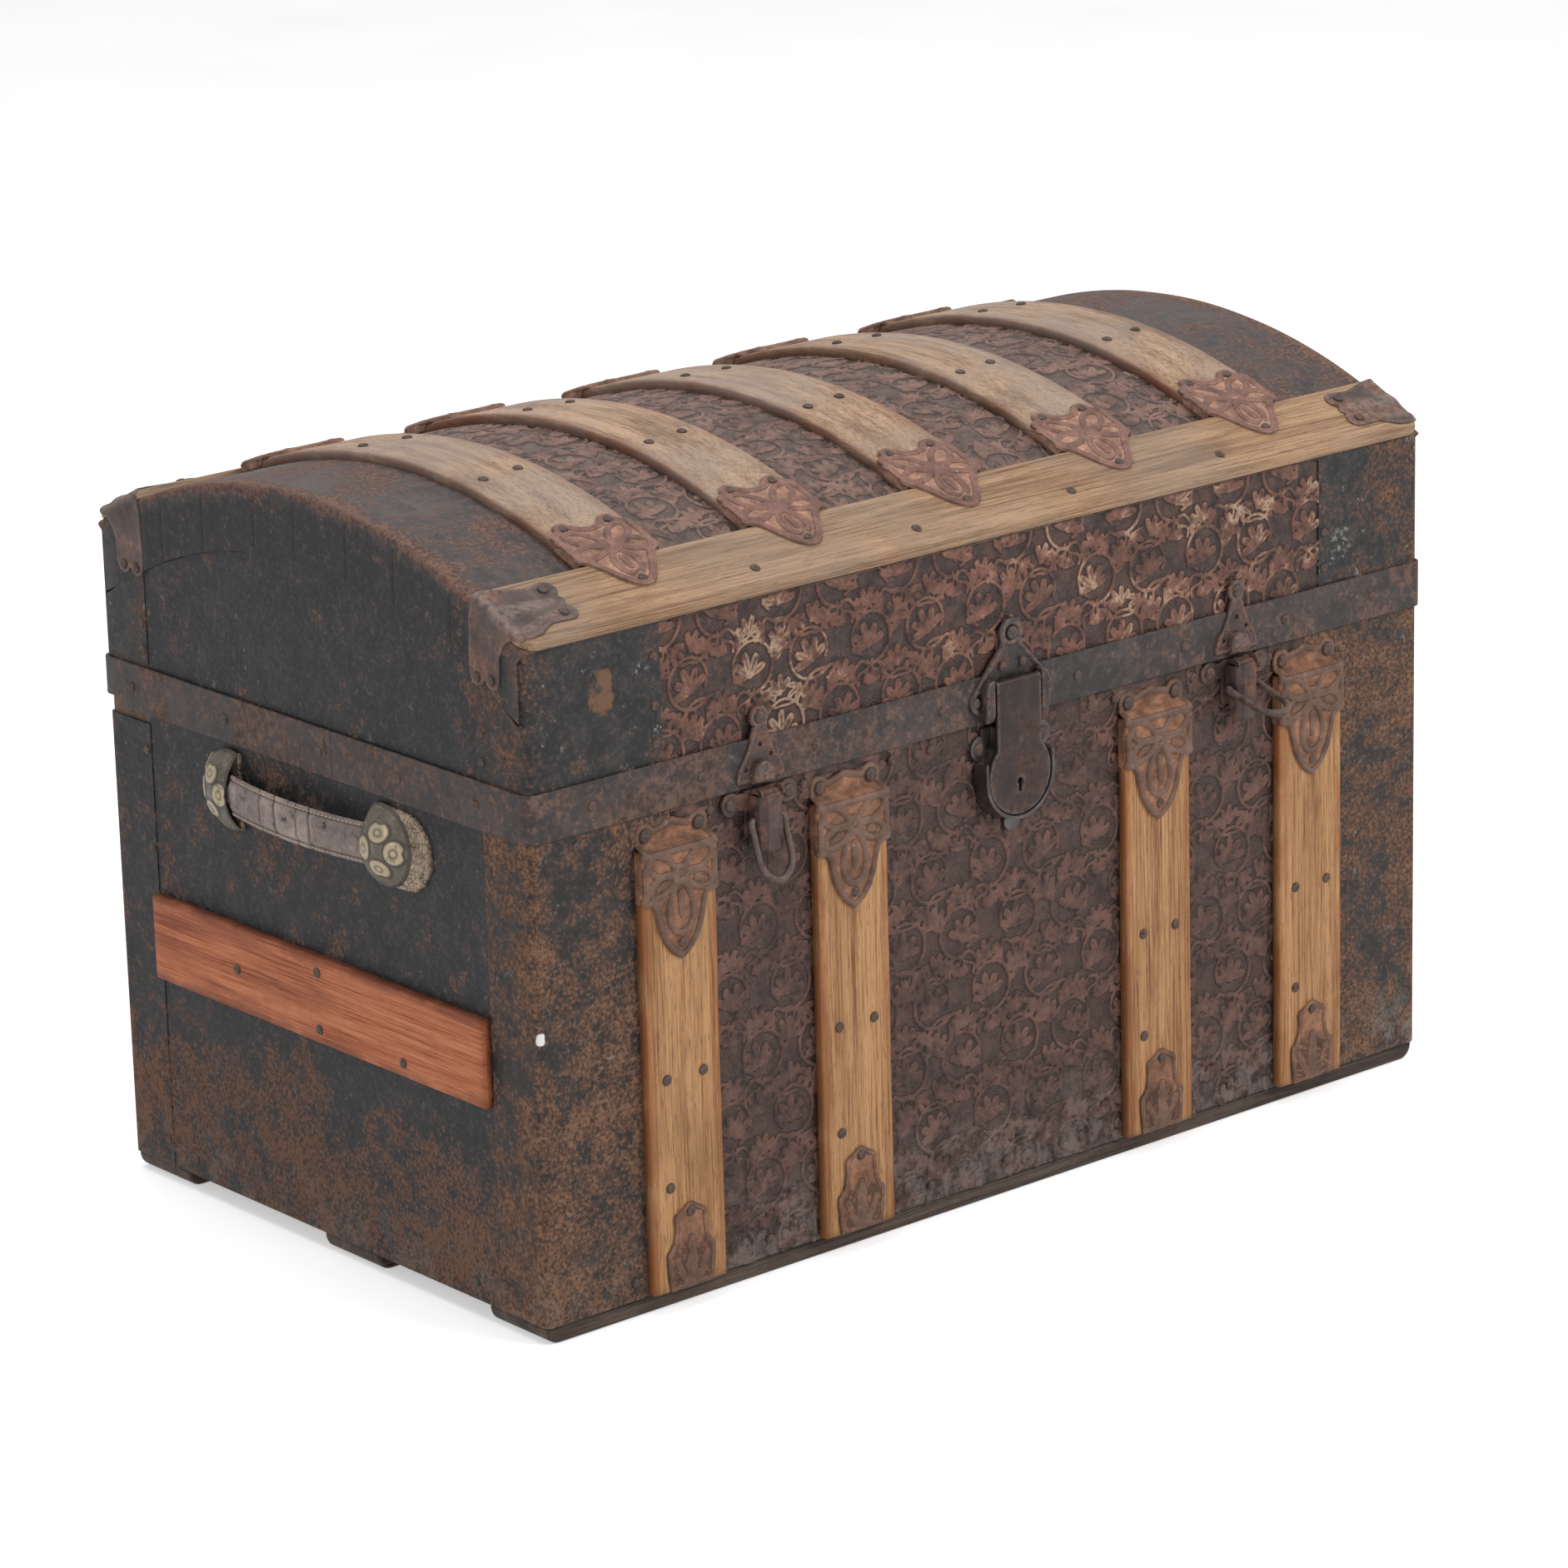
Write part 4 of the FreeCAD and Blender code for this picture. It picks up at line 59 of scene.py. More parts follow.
SLOPE_ANGLE = math.atan(SHOULDER_SLOPE)
SHOULDER_THICK = 6.0
FRONT_SLATS = (-271.5, -131.5, 131.5, 271.5)
FRONT_SLAT_WIDTH = 58.0
FRONT_SLAT_ENDS = (14.0, 301.0)
FRONT_SLAT_FACE = 8.6
END_SLAT_Z = 173.5
END_SLAT_HALF = 28.5
END_SLAT_ENDS = (-175.0, 174.0)
PLAIN_SLAT_THICKNESS = 7.0
DOME_SLATS = (-267.0, -135.0, -3.0, 129.0, 261.0)
DOME_SLAT_WIDTH = 62.0
DOME_SLAT_THICKNESS = 6.5
SLAT_JOINT_Y = 173.8
LATCH_X = {"left": -202.0, "right": 206.0}
LOCK_X = 7.0
LID_FRONT_SHEET = (-276.0, 285.5)
LID_SHEET_TOP = 441.0
HANDLE_Z = 292.0
HANDLE_Y = 3.5
HANDLE_MOUTH = 71.5
LEFT, RIGHT = -1, 1
FRONT, BACK = -1, 1

BODIES = frame["record"]["behaviour"]["bodies"]
BODY_OF = {node: body for body, nodes in BODIES.items() for node in nodes}


# ---------------------------------------------------------------- looks: procedural materials
def tinted(colour, share):
    return tuple(channel * share for channel in colour)


class Look:
    """One material, built up in the object's own space: a colour with others laid over it."""

    def __init__(self, name, roughness=0.6, specular=0.5):
        self.material = bpy.data.materials.new(name)
        self.material.use_nodes = True
        self.nodes = self.material.node_tree.nodes
        self.links = self.material.node_tree.links
        self.shader = self.nodes["Principled BSDF"]
        self.shader.inputs["Roughness"].default_value = roughness
        self.shader.inputs["Metallic"].default_value = 0.0
        self.shader.inputs["Specular IOR Level"].default_value = specular
        self.place = self.node("TexCoord", "Object", {})
        self.colour = None

    def put(self, socket, value):
        if isinstance(value, bpy.types.NodeSocket):
            self.links.new(value, socket)
        elif hasattr(value, "__len__") and len(value) == 3 and len(socket.default_value) == 4:
            socket.default_value = (*value, 1)
        else:
            socket.default_value = value

    def node(self, kind, output, inputs, **settings):
        """A new node with its settings and inputs; gives one of its outputs."""
        node = self.nodes.new("ShaderNode" + kind)
        for name, value in settings.items():
            setattr(node, name, value)
        for socket, value in inputs.items():
            self.put(node.inputs[socket], value)
        return node.outputs[output]

    def stretched(self, scale=(1, 1, 1), shift=(0, 0, 0)):
        return self.node("Mapping", "Vector", {"Vector": self.place, "Scale": scale, "Location": shift})

    def noise(self, scale, detail=3.0, rough=0.55, vector=None, distortion=0.0):
        return self.node("TexNoise", "Fac", {"Vector": vector or self.place, "Scale": scale, "Detail": detail,
                                             "Roughness": rough, "Distortion": distortion})

    def cells(self, scale, feature="F1"):
        return self.node("TexVoronoi", "Distance", {"Vector": self.place, "Scale": scale}, feature=feature)

    def axis(self, name):
        return self.node("SeparateXYZ", name, {0: self.place})

    def attribute(self, name):
        return self.node("Attribute", "Fac", {}, attribute_name=name)

    def window(self, value, low, high):
        """0 below low, 1 above high, smooth between; low above high turns it round."""
        flip = float(low > high)
        sockets = {"Value": value, "From Min": min(low, high), "From Max": max(low, high),
                   "To Min": flip, "To Max": 1 - flip}
        return self.node("MapRange", "Result", sockets, interpolation_type="SMOOTHSTEP")

    def calc(self, operation, a, b=0):
        return self.node("Math", 0, {0: a, 1: b}, operation=operation)

    def both(self, a, b):
        return self.calc("MULTIPLY", a, b)

    def total(self, *fields):
        """Sum of fields, each with its weight."""
        result = self.both(*fields[0])
        for field in fields[1:]:
            result = self.calc("ADD", result, self.both(*field))
        return result

    def blend(self, share, a, b):
        """From one number to another by a share."""
        return self.node("Mix", 0, {0: share, 2: a, 3: b})

    def lay(self, share, colour, strength=None):
        """A colour over what is there, where the share is high."""
        if strength is not None:
            share = self.both(share, strength)
        self.colour = self.node("Mix", 2, {0: share, 6: self.colour, 7: colour}, data_type="RGBA")

    def ramp(self, value, *stops):
        node = self.node("ValToRGB", "Color", {"Fac": value}).node
        elements = node.color_ramp.elements
        while len(elements) < len(stops):
            elements.new(0.5)
        for element, (position, colour) in zip(elements, stops):
            element.position = position
            element.color = (*colour, 1)
        return node.outputs["Color"]

    def shades(self, value, colour, dark, bright, high=0.68, low=0.34):
        """The colour at the middle of a field, a darker shade below it and a brighter one above."""
        return self.ramp(value, (low, tinted(colour, dark)), (0.5, colour), (high, tinted(colour, bright)))

    def crevice(self, relief, foot, brow):
        """Mask for painted shade along the hollow line where relief rises, from its foot to its brow."""
        return self.both(self.window(relief, *foot), self.window(relief, *brow))

    def finish(self, roughness=None, metallic=None, heights=()):
        """heights are (value, depth in mm) pairs, bumped one over the other."""
        shown = {"Base Color": self.colour, "Roughness": roughness, "Metallic": metallic}
        for value, depth in heights:
            inputs = {"Strength": 1.0, "Distance": depth * MM, "Height": value}
            if "Normal" in shown:
                inputs["Normal"] = shown["Normal"]
            shown["Normal"] = self.node("Bump", "Normal", inputs)
        for socket, value in shown.items():
            if value is not None:
                self.put(self.shader.inputs[socket], value)
        return self.material


def wood_look(name, along, pale, mid, dark, edge, grey=0.0, dirt=0.5, streaks=0.5):
    """Bare old wood: streaked grain along one axis, stained edges, dark pores and flecks."""
    look = Look(name, specular=0.22)

    def grain(length, width, detail=4, rough=0.7, shift=(0, 0, 0), distortion=0.0):
        scale = [length if axis == along else width for axis in "xyz"]
        return look.noise(1.0, detail, rough, look.stretched(scale, shift), distortion)

    fine = grain(16, 900)
    wide = grain(2.6, 95, 4, 0.55, (3, 1, 2), 0.6)
    look.colour = look.ramp(look.total((wide, 0.45), (fine, 0.55)), (0.38, dark), (0.475, mid), (0.585, pale))
    streak = look.window(fine, 0.46, 0.36)
    look.lay(streak, dark, streaks)
    look.lay(look.window(grain(90, 1100, 2, 0.5, (1, 7, 4)), 0.60, 0.66), tinted(dark, 0.6), streaks)
    stain = look.both(look.attribute("edge"), look.window(look.noise(28, 4, 0.6), 0.25, 0.6))
    look.lay(stain, edge, 0.9)
    look.lay(look.window(grain(7, 45, 5, 0.65, (2, 5, 8)), 0.53, 0.68), tinted(dark, 0.9), dirt)
    look.lay(look.window(look.noise(14, 5, 0.65), 0.5, 0.68), tinted(mid, 0.5), dirt * 0.6)
    if grey:
        worn = look.window(look.noise(9, 4, 0.6, look.stretched(shift=(5, 5, 5))), 0.38, 0.6)
        look.lay(worn, tinted((1.15, 0.98, 0.86), sum(mid) / 3), grey)
    return look.finish(look.blend(streak, 0.6, 0.8), heights=((fine, 0.45), (wide, 0.25)))


DUST = (0.080, 0.070, 0.064)
PALE_SCAB = (0.30, 0.29, 0.26)
GRAZED_IRON = (0.27, 0.245, 0.215)
# near-black painted shade for the slits of a tucked flange
SLIT_SHADE = (0.004, 0.004, 0.004)


def sheet_look(name, paint, rust, cover, orange=(0.17, 0.083, 0.047), flakes=0.3, foot=0.0, corner=0.0,
               fallen=None, spots=(), fineness=1.0):
    """Black lacquered sheet iron: speckled rust, more at the foot, the corners and worn places.

    fallen is the paint where a flange has turned down the end. Each spot is (x, z, wide, tall,
    grain, least, colour), in metres: a ragged mark at one place."""
    look = Look(name, specular=0.22)
    big = look.noise(10, 5, 0.65)
    middle = look.noise(60 * fineness, 5, 0.72)
    speck = look.noise(380 * fineness, 4, 0.72)
    shares = [(big, 0.34), (middle, 0.41), (speck, 0.25), (look.attribute("wear"), 0.12)]
    if foot:
        shares.append((look.window(look.axis("Z"), 0.24, 0.0), foot))
    if corner:
        along = look.window(look.calc("ABSOLUTE", look.axis("X")), 0.360, 0.3795)
        across = look.window(look.calc("ABSOLUTE", look.axis("Y")), 0.200, 0.2205)
        shares.append((look.both(along, across), corner))
    if fallen:
        shares.append((look.attribute("fall"), -0.055))
    field = look.total(*shares)
    edge = 0.62 - cover
    mask = look.window(field, edge - 0.03, edge + 0.04)
    look.colour = paint
    look.lay(look.window(middle, 0.35, 0.68), tinted(paint, 2.2))
    if fallen:
        look.lay(look.attribute("fall"), fallen, 0.95)
    look.lay(look.window(look.noise(240, 4, 0.75), 0.48, 0.7), DUST, 0.4)
    look.lay(mask, look.shades(speck, rust, 0.35, 1.7, high=0.64), 0.92)
    hot = look.window(field, edge + 0.05, edge + 0.09)
    look.lay(hot, look.ramp(speck, (0.35, rust), (0.62, orange)), 0.75)
    scab = look.noise(105, 6, 0.8, look.stretched(shift=(9, 2, 4)))
    look.lay(look.window(scab, 0.625, 0.66), PALE_SCAB, flakes)
    if foot:
        low = look.window(look.axis("Z"), 0.075, 0.012)
        right = look.window(look.axis("X"), 0.30, 0.372)
        grazed = look.both(low, look.window(look.noise(70, 6, 0.8), 0.44, 0.66))
        look.lay(grazed, GRAZED_IRON, look.calc("ADD", look.both(right, 0.45), 0.25))
    for x, z, wide, tall, grain, least, colour in spots:
        sides = []
        for axis, middle_of_spot, half in (("X", x, wide), ("Z", z, tall)):
            away = look.calc("ABSOLUTE", look.calc("SUBTRACT", look.axis(axis), middle_of_spot))
            sides.append(look.window(away, half, half * 0.2))
        bare = look.both(look.both(*sides), look.noise(grain, 5, 0.75))
        look.lay(look.window(bare, least, least + 0.13), colour)
    # painted shade: near-black in the slits of the tucked flange
    look.lay(look.attribute("slit"), SLIT_SHADE)
    return look.finish(look.blend(mask, 0.55, 0.9), heights=((middle, 0.6), (speck, 0.22), (mask, 0.15)))


def metal_look(name, dark, worn, rust, shine=0.55, rusty=0.5, scale=55.0, bump=0.3):
    """Old iron fitting: dark skin, rust in patches and metal showing where it is rubbed."""
    look = Look(name, specular=0.4)
    small = look.noise(scale, 5, 0.68)
    grain = look.noise(scale * 6, 4, 0.65)
    look.colour = look.shades(small, dark, 0.5, 1.9, high=0.66)
    field = look.total((small, 0.6), (look.noise(scale * 0.25, 3, 0.5), 0.4))
    edge = 0.60 - rusty * 0.2
    mask = look.window(field, edge, edge + 0.06)
    look.lay(mask, look.ramp(grain, (0.35, tinted(rust, 0.5)), (0.65, tinted(rust, 1.5))), 0.85)
    # rubbed metal where relief is high; on bails, nail heads and corner-cap folds this also paints highlights
    look.lay(look.both(look.attribute("relief"), look.window(grain, 0.36, 0.56)), worn, 0.65)
    rough = look.blend(mask, 0.95 - shine, 0.85)
    return look.finish(rough, look.blend(mask, shine * 0.8, 0.05), ((small, bump), (grain, bump * 0.4)))


def clamp_look(name, recess, ridge):
    """Stamped clamps: orange rust in the hollows, dark rubbed ridges, black painted shade in the crevices."""
    look = Look(name, roughness=0.7, specular=0.35)
    relief = look.attribute("relief")
    small = look.noise(85, 5, 0.7)
    grain = look.noise(520, 3, 0.6)
    look.colour = look.shades(small, recess, 0.5, 1.8)
    high = look.window(relief, 0.35, 0.75)
    look.lay(high, look.shades(small, ridge, 0.72, 1.35, high=0.66, low=0.36), 0.9)
    # painted shade: near-black along the foot of each ridge and rim
    look.lay(look.crevice(relief, (0.02, 0.2), (0.5, 0.25)), (0.03, 0.018, 0.014), 0.7)
    chips = look.window(look.noise(260, 4, 0.75, look.stretched(shift=(4, 4, 4))), 0.64, 0.68)
    look.lay(chips, (0.45, 0.40, 0.34), 0.35)
    return look.finish(look.blend(high, 0.85, 0.6), look.blend(high, 0.0, 0.3), ((small, 0.4), (grain, 0.12)))


def embossed_look(name, ground, raised, gold, gilt, foot=0.0):
    """Embossed tinplate: stippled dark ground, worn reddish relief and rubbed gold on its tops."""
    look = Look(name, specular=0.28)
    relief = look.attribute("relief")
    big = look.noise(7, 4, 0.6)
    middle = look.noise(30, 4, 0.6)
    small = look.noise(120, 5, 0.7)
    look.colour = look.shades(small, ground, 0.5, 2.0)
    look.lay(look.window(look.total((middle, 0.6), (small, 0.4)), 0.5, 0.6), tinted(raised, 0.55), 0.6)
    top = look.both(look.window(relief, 0.3, 0.75), look.window(small, 0.28, 0.46))
    tone = look.total((middle, 0.5), (small, 0.5))
    look.lay(top, look.shades(tone, raised, 0.5, 1.6, high=0.62, low=0.38), 0.92)
    field = look.total((big, 0.5), (middle, 0.3), (small, 0.2))
    rubbed = look.both(look.window(relief, 0.55, 0.95), look.window(field, 0.6 - gilt, 0.66 - gilt))
    look.lay(rubbed, look.ramp(small, (0.36, tinted(gold, 0.6)), (0.62, gold)), 0.85)
    # painted shade: a darker copy of the ground along the foot of the relief
    look.lay(look.crevice(relief, (0.01, 0.12), (0.5, 0.2)), tinted(ground, 0.3), 0.8)
    if foot:
        low = look.window(look.axis("Z"), 0.085, 0.012)
        grazed = look.both(low, look.window(look.noise(60, 5, 0.75), 0.44, 0.58))
        look.lay(grazed, (0.175, 0.150, 0.135), foot)
    stipple = look.both(look.cells(520), look.window(relief, 0.5, 0.05))
    return look.finish(look.blend(top, 0.55, 0.62), heights=((stipple, 0.7), (small, 0.3)))


def brass_look(name, dull, bright):
    """Stamped brass: tarnished ground and rubbed bright ribs."""
    look = Look(name, specular=0.5)
    relief = look.attribute("relief")
    small = look.noise(140, 5, 0.7)
    look.colour = look.shades(small, dull, 0.55, 1.6)
    high = look.both(look.window(relief, 0.5, 0.85), look.window(small, 0.28, 0.46))
    look.lay(high, bright, 0.9)
    # painted shade: a darker copy of the dull brass along the foot of the ribs
    look.lay(look.crevice(relief, (0.03, 0.3), (0.55, 0.35)), tinted(dull, 0.25), 0.7)
    return look.finish(look.blend(high, 0.55, 0.42), look.blend(high, 0.35, 0.7), ((small, 0.25),))


def leather_look(name, skin, worn, dark, cracked=0.7):
    """Dry leather: rubbed pale on its high places, cracked and dirty between, darker in the strap's creases
    with dirt and painted shade.
    """
    look = Look(name, specular=0.3)
    cracks = look.cells(230, "DISTANCE_TO_EDGE")
    small = look.noise(110, 6, 0.7)
    tone = look.total((look.noise(26, 4, 0.6), 0.5), (small, 0.5))
    look.colour = look.ramp(tone, (0.38, skin), (0.5, worn), (0.62, tinted(worn, 1.7)))
    look.lay(look.window(cracks, 0.10, 0.0), dark, cracked)
    look.lay(look.window(small, 0.42, 0.34), dark)
    # dirt attribute: dirt and painted shade, nearly black, in the strap's creases and seam groove
    look.lay(look.attribute("dirt"), dark, 0.9)
    rough = look.blend(look.window(small, 0.4, 0.7), 0.6, 0.85)
    return look.finish(rough, heights=((look.window(cracks, 0.0, 0.12), cracked * 0.5), (small, 0.4)))


def plain_look(name, low, high, scale):
    look = Look(name, roughness=0.85, specular=0.25)
    small = look.noise(scale, 5, 0.6)
    look.colour = look.ramp(small, (0.3, low), (0.7, high))
    return look.finish(heights=((small, 0.15),))


def make_looks():
    """Every material by its short name. Woods give pale, mid, dark and stained edge."""
    looks = {}

    def add(name, make, *colours, **options):
        looks[name] = make(name + "_look", *colours, **options)

    add("slat_front", wood_look, "z", (0.49, 0.272, 0.125), (0.36, 0.186, 0.080), (0.165, 0.072, 0.030),
        (0.27, 0.092, 0.032), dirt=0.45)
    add("slat_dome", wood_look, "y", (0.45, 0.300, 0.195), (0.33, 0.212, 0.134), (0.145, 0.085, 0.052),
        (0.18, 0.070, 0.042), grey=0.45, dirt=0.6)
    add("slat_shoulder", wood_look, "x", (0.41, 0.258, 0.150), (0.295, 0.176, 0.098), (0.13, 0.070, 0.036),
        (0.20, 0.085, 0.038), grey=0.3, dirt=0.5)
    add("slat_end", wood_look, "y", (0.52, 0.19, 0.088), (0.37, 0.112, 0.048), (0.20, 0.055, 0.026),
        (0.13, 0.035, 0.018), dirt=0.5, streaks=0.25)
    add("plank", wood_look, "x", (0.16, 0.11, 0.07), (0.11, 0.072, 0.045), (0.05, 0.032, 0.02),
        (0.05, 0.03, 0.02))
    add("runner", wood_look, "x", (0.115, 0.082, 0.062), (0.066, 0.046, 0.035), (0.025, 0.017, 0.013),
        (0.02, 0.014, 0.011), dirt=0.9)
    add("lining", plain_look, (0.60, 0.53, 0.41), (0.73, 0.67, 0.55), 14)
    add("thread", plain_look, (0.30, 0.235, 0.17), (0.52, 0.43, 0.33), 300)
    # ground, relief, gold, how much gold
    add("front_emboss", embossed_look, (0.055, 0.032, 0.025), (0.094, 0.049, 0.037), (0.22, 0.15, 0.11),
        -0.04, foot=0.5)
    add("lid_emboss", embossed_look, (0.050, 0.030, 0.025), (0.152, 0.070, 0.049), (0.40, 0.285, 0.19), 0.09)
    add("dome_emboss", embossed_look, (0.092, 0.062, 0.053), (0.142, 0.083, 0.066), (0.22, 0.155, 0.125),
        -0.04)
    # paint, rust, how much rust, hottest rust, pale flakes
    add("end_sheet", sheet_look, (0.0105, 0.0105, 0.012), (0.105, 0.063, 0.047), 0.065, flakes=0.28,
        foot=0.085, corner=0.05)
    add("wrap", sheet_look, (0.019, 0.0165, 0.0155), (0.112, 0.063, 0.043), 0.130, (0.225, 0.122, 0.068),
        0.4, foot=0.03, corner=0.03, spots=((-0.3765, 0.1995, 0.004, 0.006, 260, 0.16, (0.78, 0.76, 0.74)),))
    add("lid_wrap", sheet_look, (0.0175, 0.0165, 0.0165), (0.092, 0.056, 0.042), 0.100, (0.20, 0.098, 0.058),
        0.7, corner=0.03, spots=((-0.322, 0.407, 0.021, 0.030, 110, 0.35, (0.150, 0.078, 0.044)),
                                 (0.306, 0.380, 0.030, 0.030, 300, 0.49, (0.21, 0.21, 0.19))))
    add("cover", sheet_look, (0.040, 0.033, 0.032), (0.104, 0.066, 0.054), 0.125, (0.185, 0.098, 0.07), 0.2,
        fallen=(0.015, 0.0145, 0.016))
    add("back", sheet_look, (0.014, 0.014, 0.015), (0.085, 0.047, 0.034), 0.07, flakes=0.15, foot=0.06)
    add("band", sheet_look, (0.034, 0.028, 0.0275), (0.096, 0.062, 0.050), 0.125, (0.145, 0.083, 0.058), 0.3,
        fineness=0.5)
    # hollows, ridges
    add("clamp", clamp_look, (0.205, 0.100, 0.058), (0.122, 0.075, 0.057))
    add("dome_clamp", clamp_look, (0.27, 0.15, 0.105), (0.16, 0.082, 0.066))
    # dark skin, rubbed metal (on bails, nail heads and cap folds also a painted highlight), rust, then shine,
    # how rusty, scale of the patches, depth of the bumps
    for name, dark, worn, rust, *rest in (
        ("cap", (0.085, 0.058, 0.050), (0.27, 0.20, 0.17), (0.15, 0.080, 0.058), 0.3, 0.5, 40, 0.3),
        ("lock", (0.027, 0.0160, 0.0128), (0.16, 0.115, 0.097), (0.052, 0.028, 0.021), 0.45, 0.3, 45, 0.12),
        ("plate", (0.036, 0.030, 0.029), (0.15, 0.105, 0.088), (0.080, 0.045, 0.034), 0.45, 0.45, 60, 0.2),
        ("case", (0.070, 0.058, 0.056), (0.34, 0.30, 0.30), (0.09, 0.055, 0.045), 0.72, 0.3, 40, 0.1),
        ("latch", (0.068, 0.043, 0.036), (0.25, 0.175, 0.145), (0.125, 0.062, 0.045), 0.45, 0.6, 70, 0.2),
        ("bail", (0.066, 0.042, 0.036), (0.17, 0.122, 0.104), (0.092, 0.054, 0.042), 0.4, 0.4, 30, 0.05),
        ("pin", (0.10, 0.085, 0.07), (0.4, 0.35, 0.3), (0.10, 0.05, 0.03), 0.6, 0.2, 90, 0.1),
        ("hinge", (0.035, 0.032, 0.03), (0.2, 0.17, 0.15), (0.08, 0.04, 0.025), 0.4, 0.5, 60, 0.2),
        ("nail", (0.044, 0.030, 0.025), (0.14, 0.098, 0.080), (0.080, 0.044, 0.032), 0.3, 0.6, 60, 0.12),
    ):
        add(name, metal_look, dark, worn, rust, *rest)
    add("brass", brass_look, (0.105, 0.088, 0.066), (0.37, 0.30, 0.20))
    # skin, rubbed places, dirt (also the painted shade in the strap's creases)
    add("strap", leather_look, (0.115, 0.085, 0.075), (0.215, 0.170, 0.152), (0.022, 0.015, 0.012), 0.18)
    add("pad", leather_look, (0.17, 0.12, 0.085), (0.30, 0.225, 0.165), (0.04, 0.026, 0.018))
    return looks


LOOKS = make_looks()
NODES_OF_LOOK = {
    "lining": "body_lining lid_lining",
    "runner": "runners",
    "front_emboss": "front_sheet",
    "lid_emboss": "lid_front_sheet",
    "dome_emboss": "dome_sheet",
    "end_sheet": "end_sheets lid_end_sheets back_corner_irons",
    "back": "back_sheet lid_back_sheet",
    "wrap": "front_corner_wraps",
    "lid_wrap": "lid_corner_wraps",
    "cover": "dome_end_covers",
    "band": "front_band back_band",
    "slat_front": "front_slat_1 front_slat_2 front_slat_3 front_slat_4 back_slats",
    "slat_end": "end_slats",
    "slat_shoulder": "shoulder_slats",
    "slat_dome": "dome_slats",
    "clamp": "slat_top_clamps slat_foot_clamps",
    "dome_clamp": "dome_clamps",
    "cap": "corner_caps",
    "lock": "hasp lock_bolt",
    "case": "lock_case",
    "plate": "hasp_plate",
    "latch": "latch_catches latch_bases latch_lever_left latch_lever_right",
    "bail": "latch_bail_left latch_bail_right",
    "pin": "hasp_pin lever_pins hinge_pins",
    "hinge": "hinge_body_leaves hinge_lid_leaves",
    "nail": "body_nails lid_nails",
    "brass": "handle_caps",
    "pad": "handle_pads",
    "strap": "handle_strap_left handle_strap_right",
}
NODE_LOOKS = {node: look for look, nodes in NODES_OF_LOOK.items() for node in nodes.split()}


# ---------------------------------------------------------------- meshes
def shown(obj):
    bpy.context.scene.collection.objects.link(obj)
    return obj


def paint(obj, look):
    obj.data.materials.clear()
    obj.data.materials.append(LOOKS[look])


def adopt(obj, node, look=None):
    """A new piece takes its body from a CAD node; without a look of its own it stands for it."""
    paint(obj, look or NODE_LOOKS[node])
    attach(obj, BODY_OF[node])
    if look is None:
        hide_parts(node)


def edited(mesh, edit):
    made = bmesh.new()
    made.from_mesh(mesh)
    edit(made)
    made.to_mesh(mesh)
    made.free()


def new_object(name, points, faces, values):
    """A smooth mesh from points in mm, with its values as attributes and its faces turned outward."""
    mesh = bpy.data.meshes.new(name)
    mesh.from_pydata([tuple(p) for p in np.asarray(points) * MM], [], faces)
    for key, data in values.items():
        layer = mesh.attributes.new(key, "FLOAT", "POINT")
        layer.data.foreach_set("value", np.asarray(data, np.float32))
    mesh.validate()
    edited(mesh, lambda made: bmesh.ops.recalc_face_normals(made, faces=made.faces))
    return shown(bpy.data.objects.new(name, mesh))


def crease(obj, degrees):
    """Smooth shading that keeps edges sharper than an angle."""
    for polygon in obj.data.polygons:
        polygon.use_smooth = True
    if degrees:
        obj.data.set_sharp_from_angle(angle=math.radians(degrees))
    return obj


def grid_faces(top):
    """Indices of a grid of points, its squares and its border."""
    index = np.arange(top.shape[0] * top.shape[1]).reshape(top.shape[:2])
    quads = np.stack([index[:-1, :-1], index[:-1, 1:], index[1:, 1:], index[1:, :-1]], -1).reshape(-1, 4)
    border = [*index[0], *index[1:, -1], *index[-1, -2::-1], *index[-2:0:-1, 0]]
    return index, quads, [int(v) for v in border]


def slab_data(top, under, values):
    """Closed slab from a grid of top points; below, only the border's points are kept."""
    index, quads, loop = grid_faces(top)
    low = {v: index.size + k for k, v in enumerate(loop)}
    faces = quads.tolist() + [[a, low[a], low[b], b] for a, b in zip(loop, loop[1:] + loop[:1])]
    strips = [[*index[0], index[1, -1], index[1, 0]]]
    strips += [[a[0], a[-1], b[-1], b[0]] for a, b in zip(index[1:-2], index[2:-1])]
    strips.append([index[-2, 0], index[-2, -1], *index[-1, ::-1]])
    faces += [[low[int(v)] for v in strip] for strip in strips]
    points = np.concatenate([top.reshape(-1, 3), under.reshape(-1, 3)[loop]])
    data = {key: np.concatenate([grid.ravel(), grid.ravel()[loop]]) for key, grid in values.items()}
    return points, faces, data


def shell_data(top, under, values):
    """Closed sheet from two grids of the same shape, one for each face."""
    index, quads, loop = grid_faces(top)
    count = index.size
    faces = quads.tolist() + (quads[:, ::-1] + count).tolist()
    faces += [[b, a, a + count, b + count] for a, b in zip(loop, loop[1:] + loop[:1])]
    data = {key: np.tile(grid.ravel(), 2) for key, grid in values.items()}
    return np.concatenate([top.reshape(-1, 3), under.reshape(-1, 3)]), faces, data


def sweep_data(rings, values=None):
    """Closed skin through a row of closed rings, with flat ends."""
    rings = np.asarray(rings)
    rows, columns = rings.shape[:2]
    index = np.arange(rows * columns).reshape(rows, columns)
    turned = np.roll(index, -1, 1)
    quads = np.stack([index[:-1], turned[:-1], turned[1:], index[1:]], -1).reshape(-1, 4)
    faces = quads.tolist() + [index[0, ::-1].tolist(), index[-1].tolist()]
    data = {key: np.asarray(grid).ravel() for key, grid in (values or {}).items()}
    return rings.reshape(-1, 3), faces, data


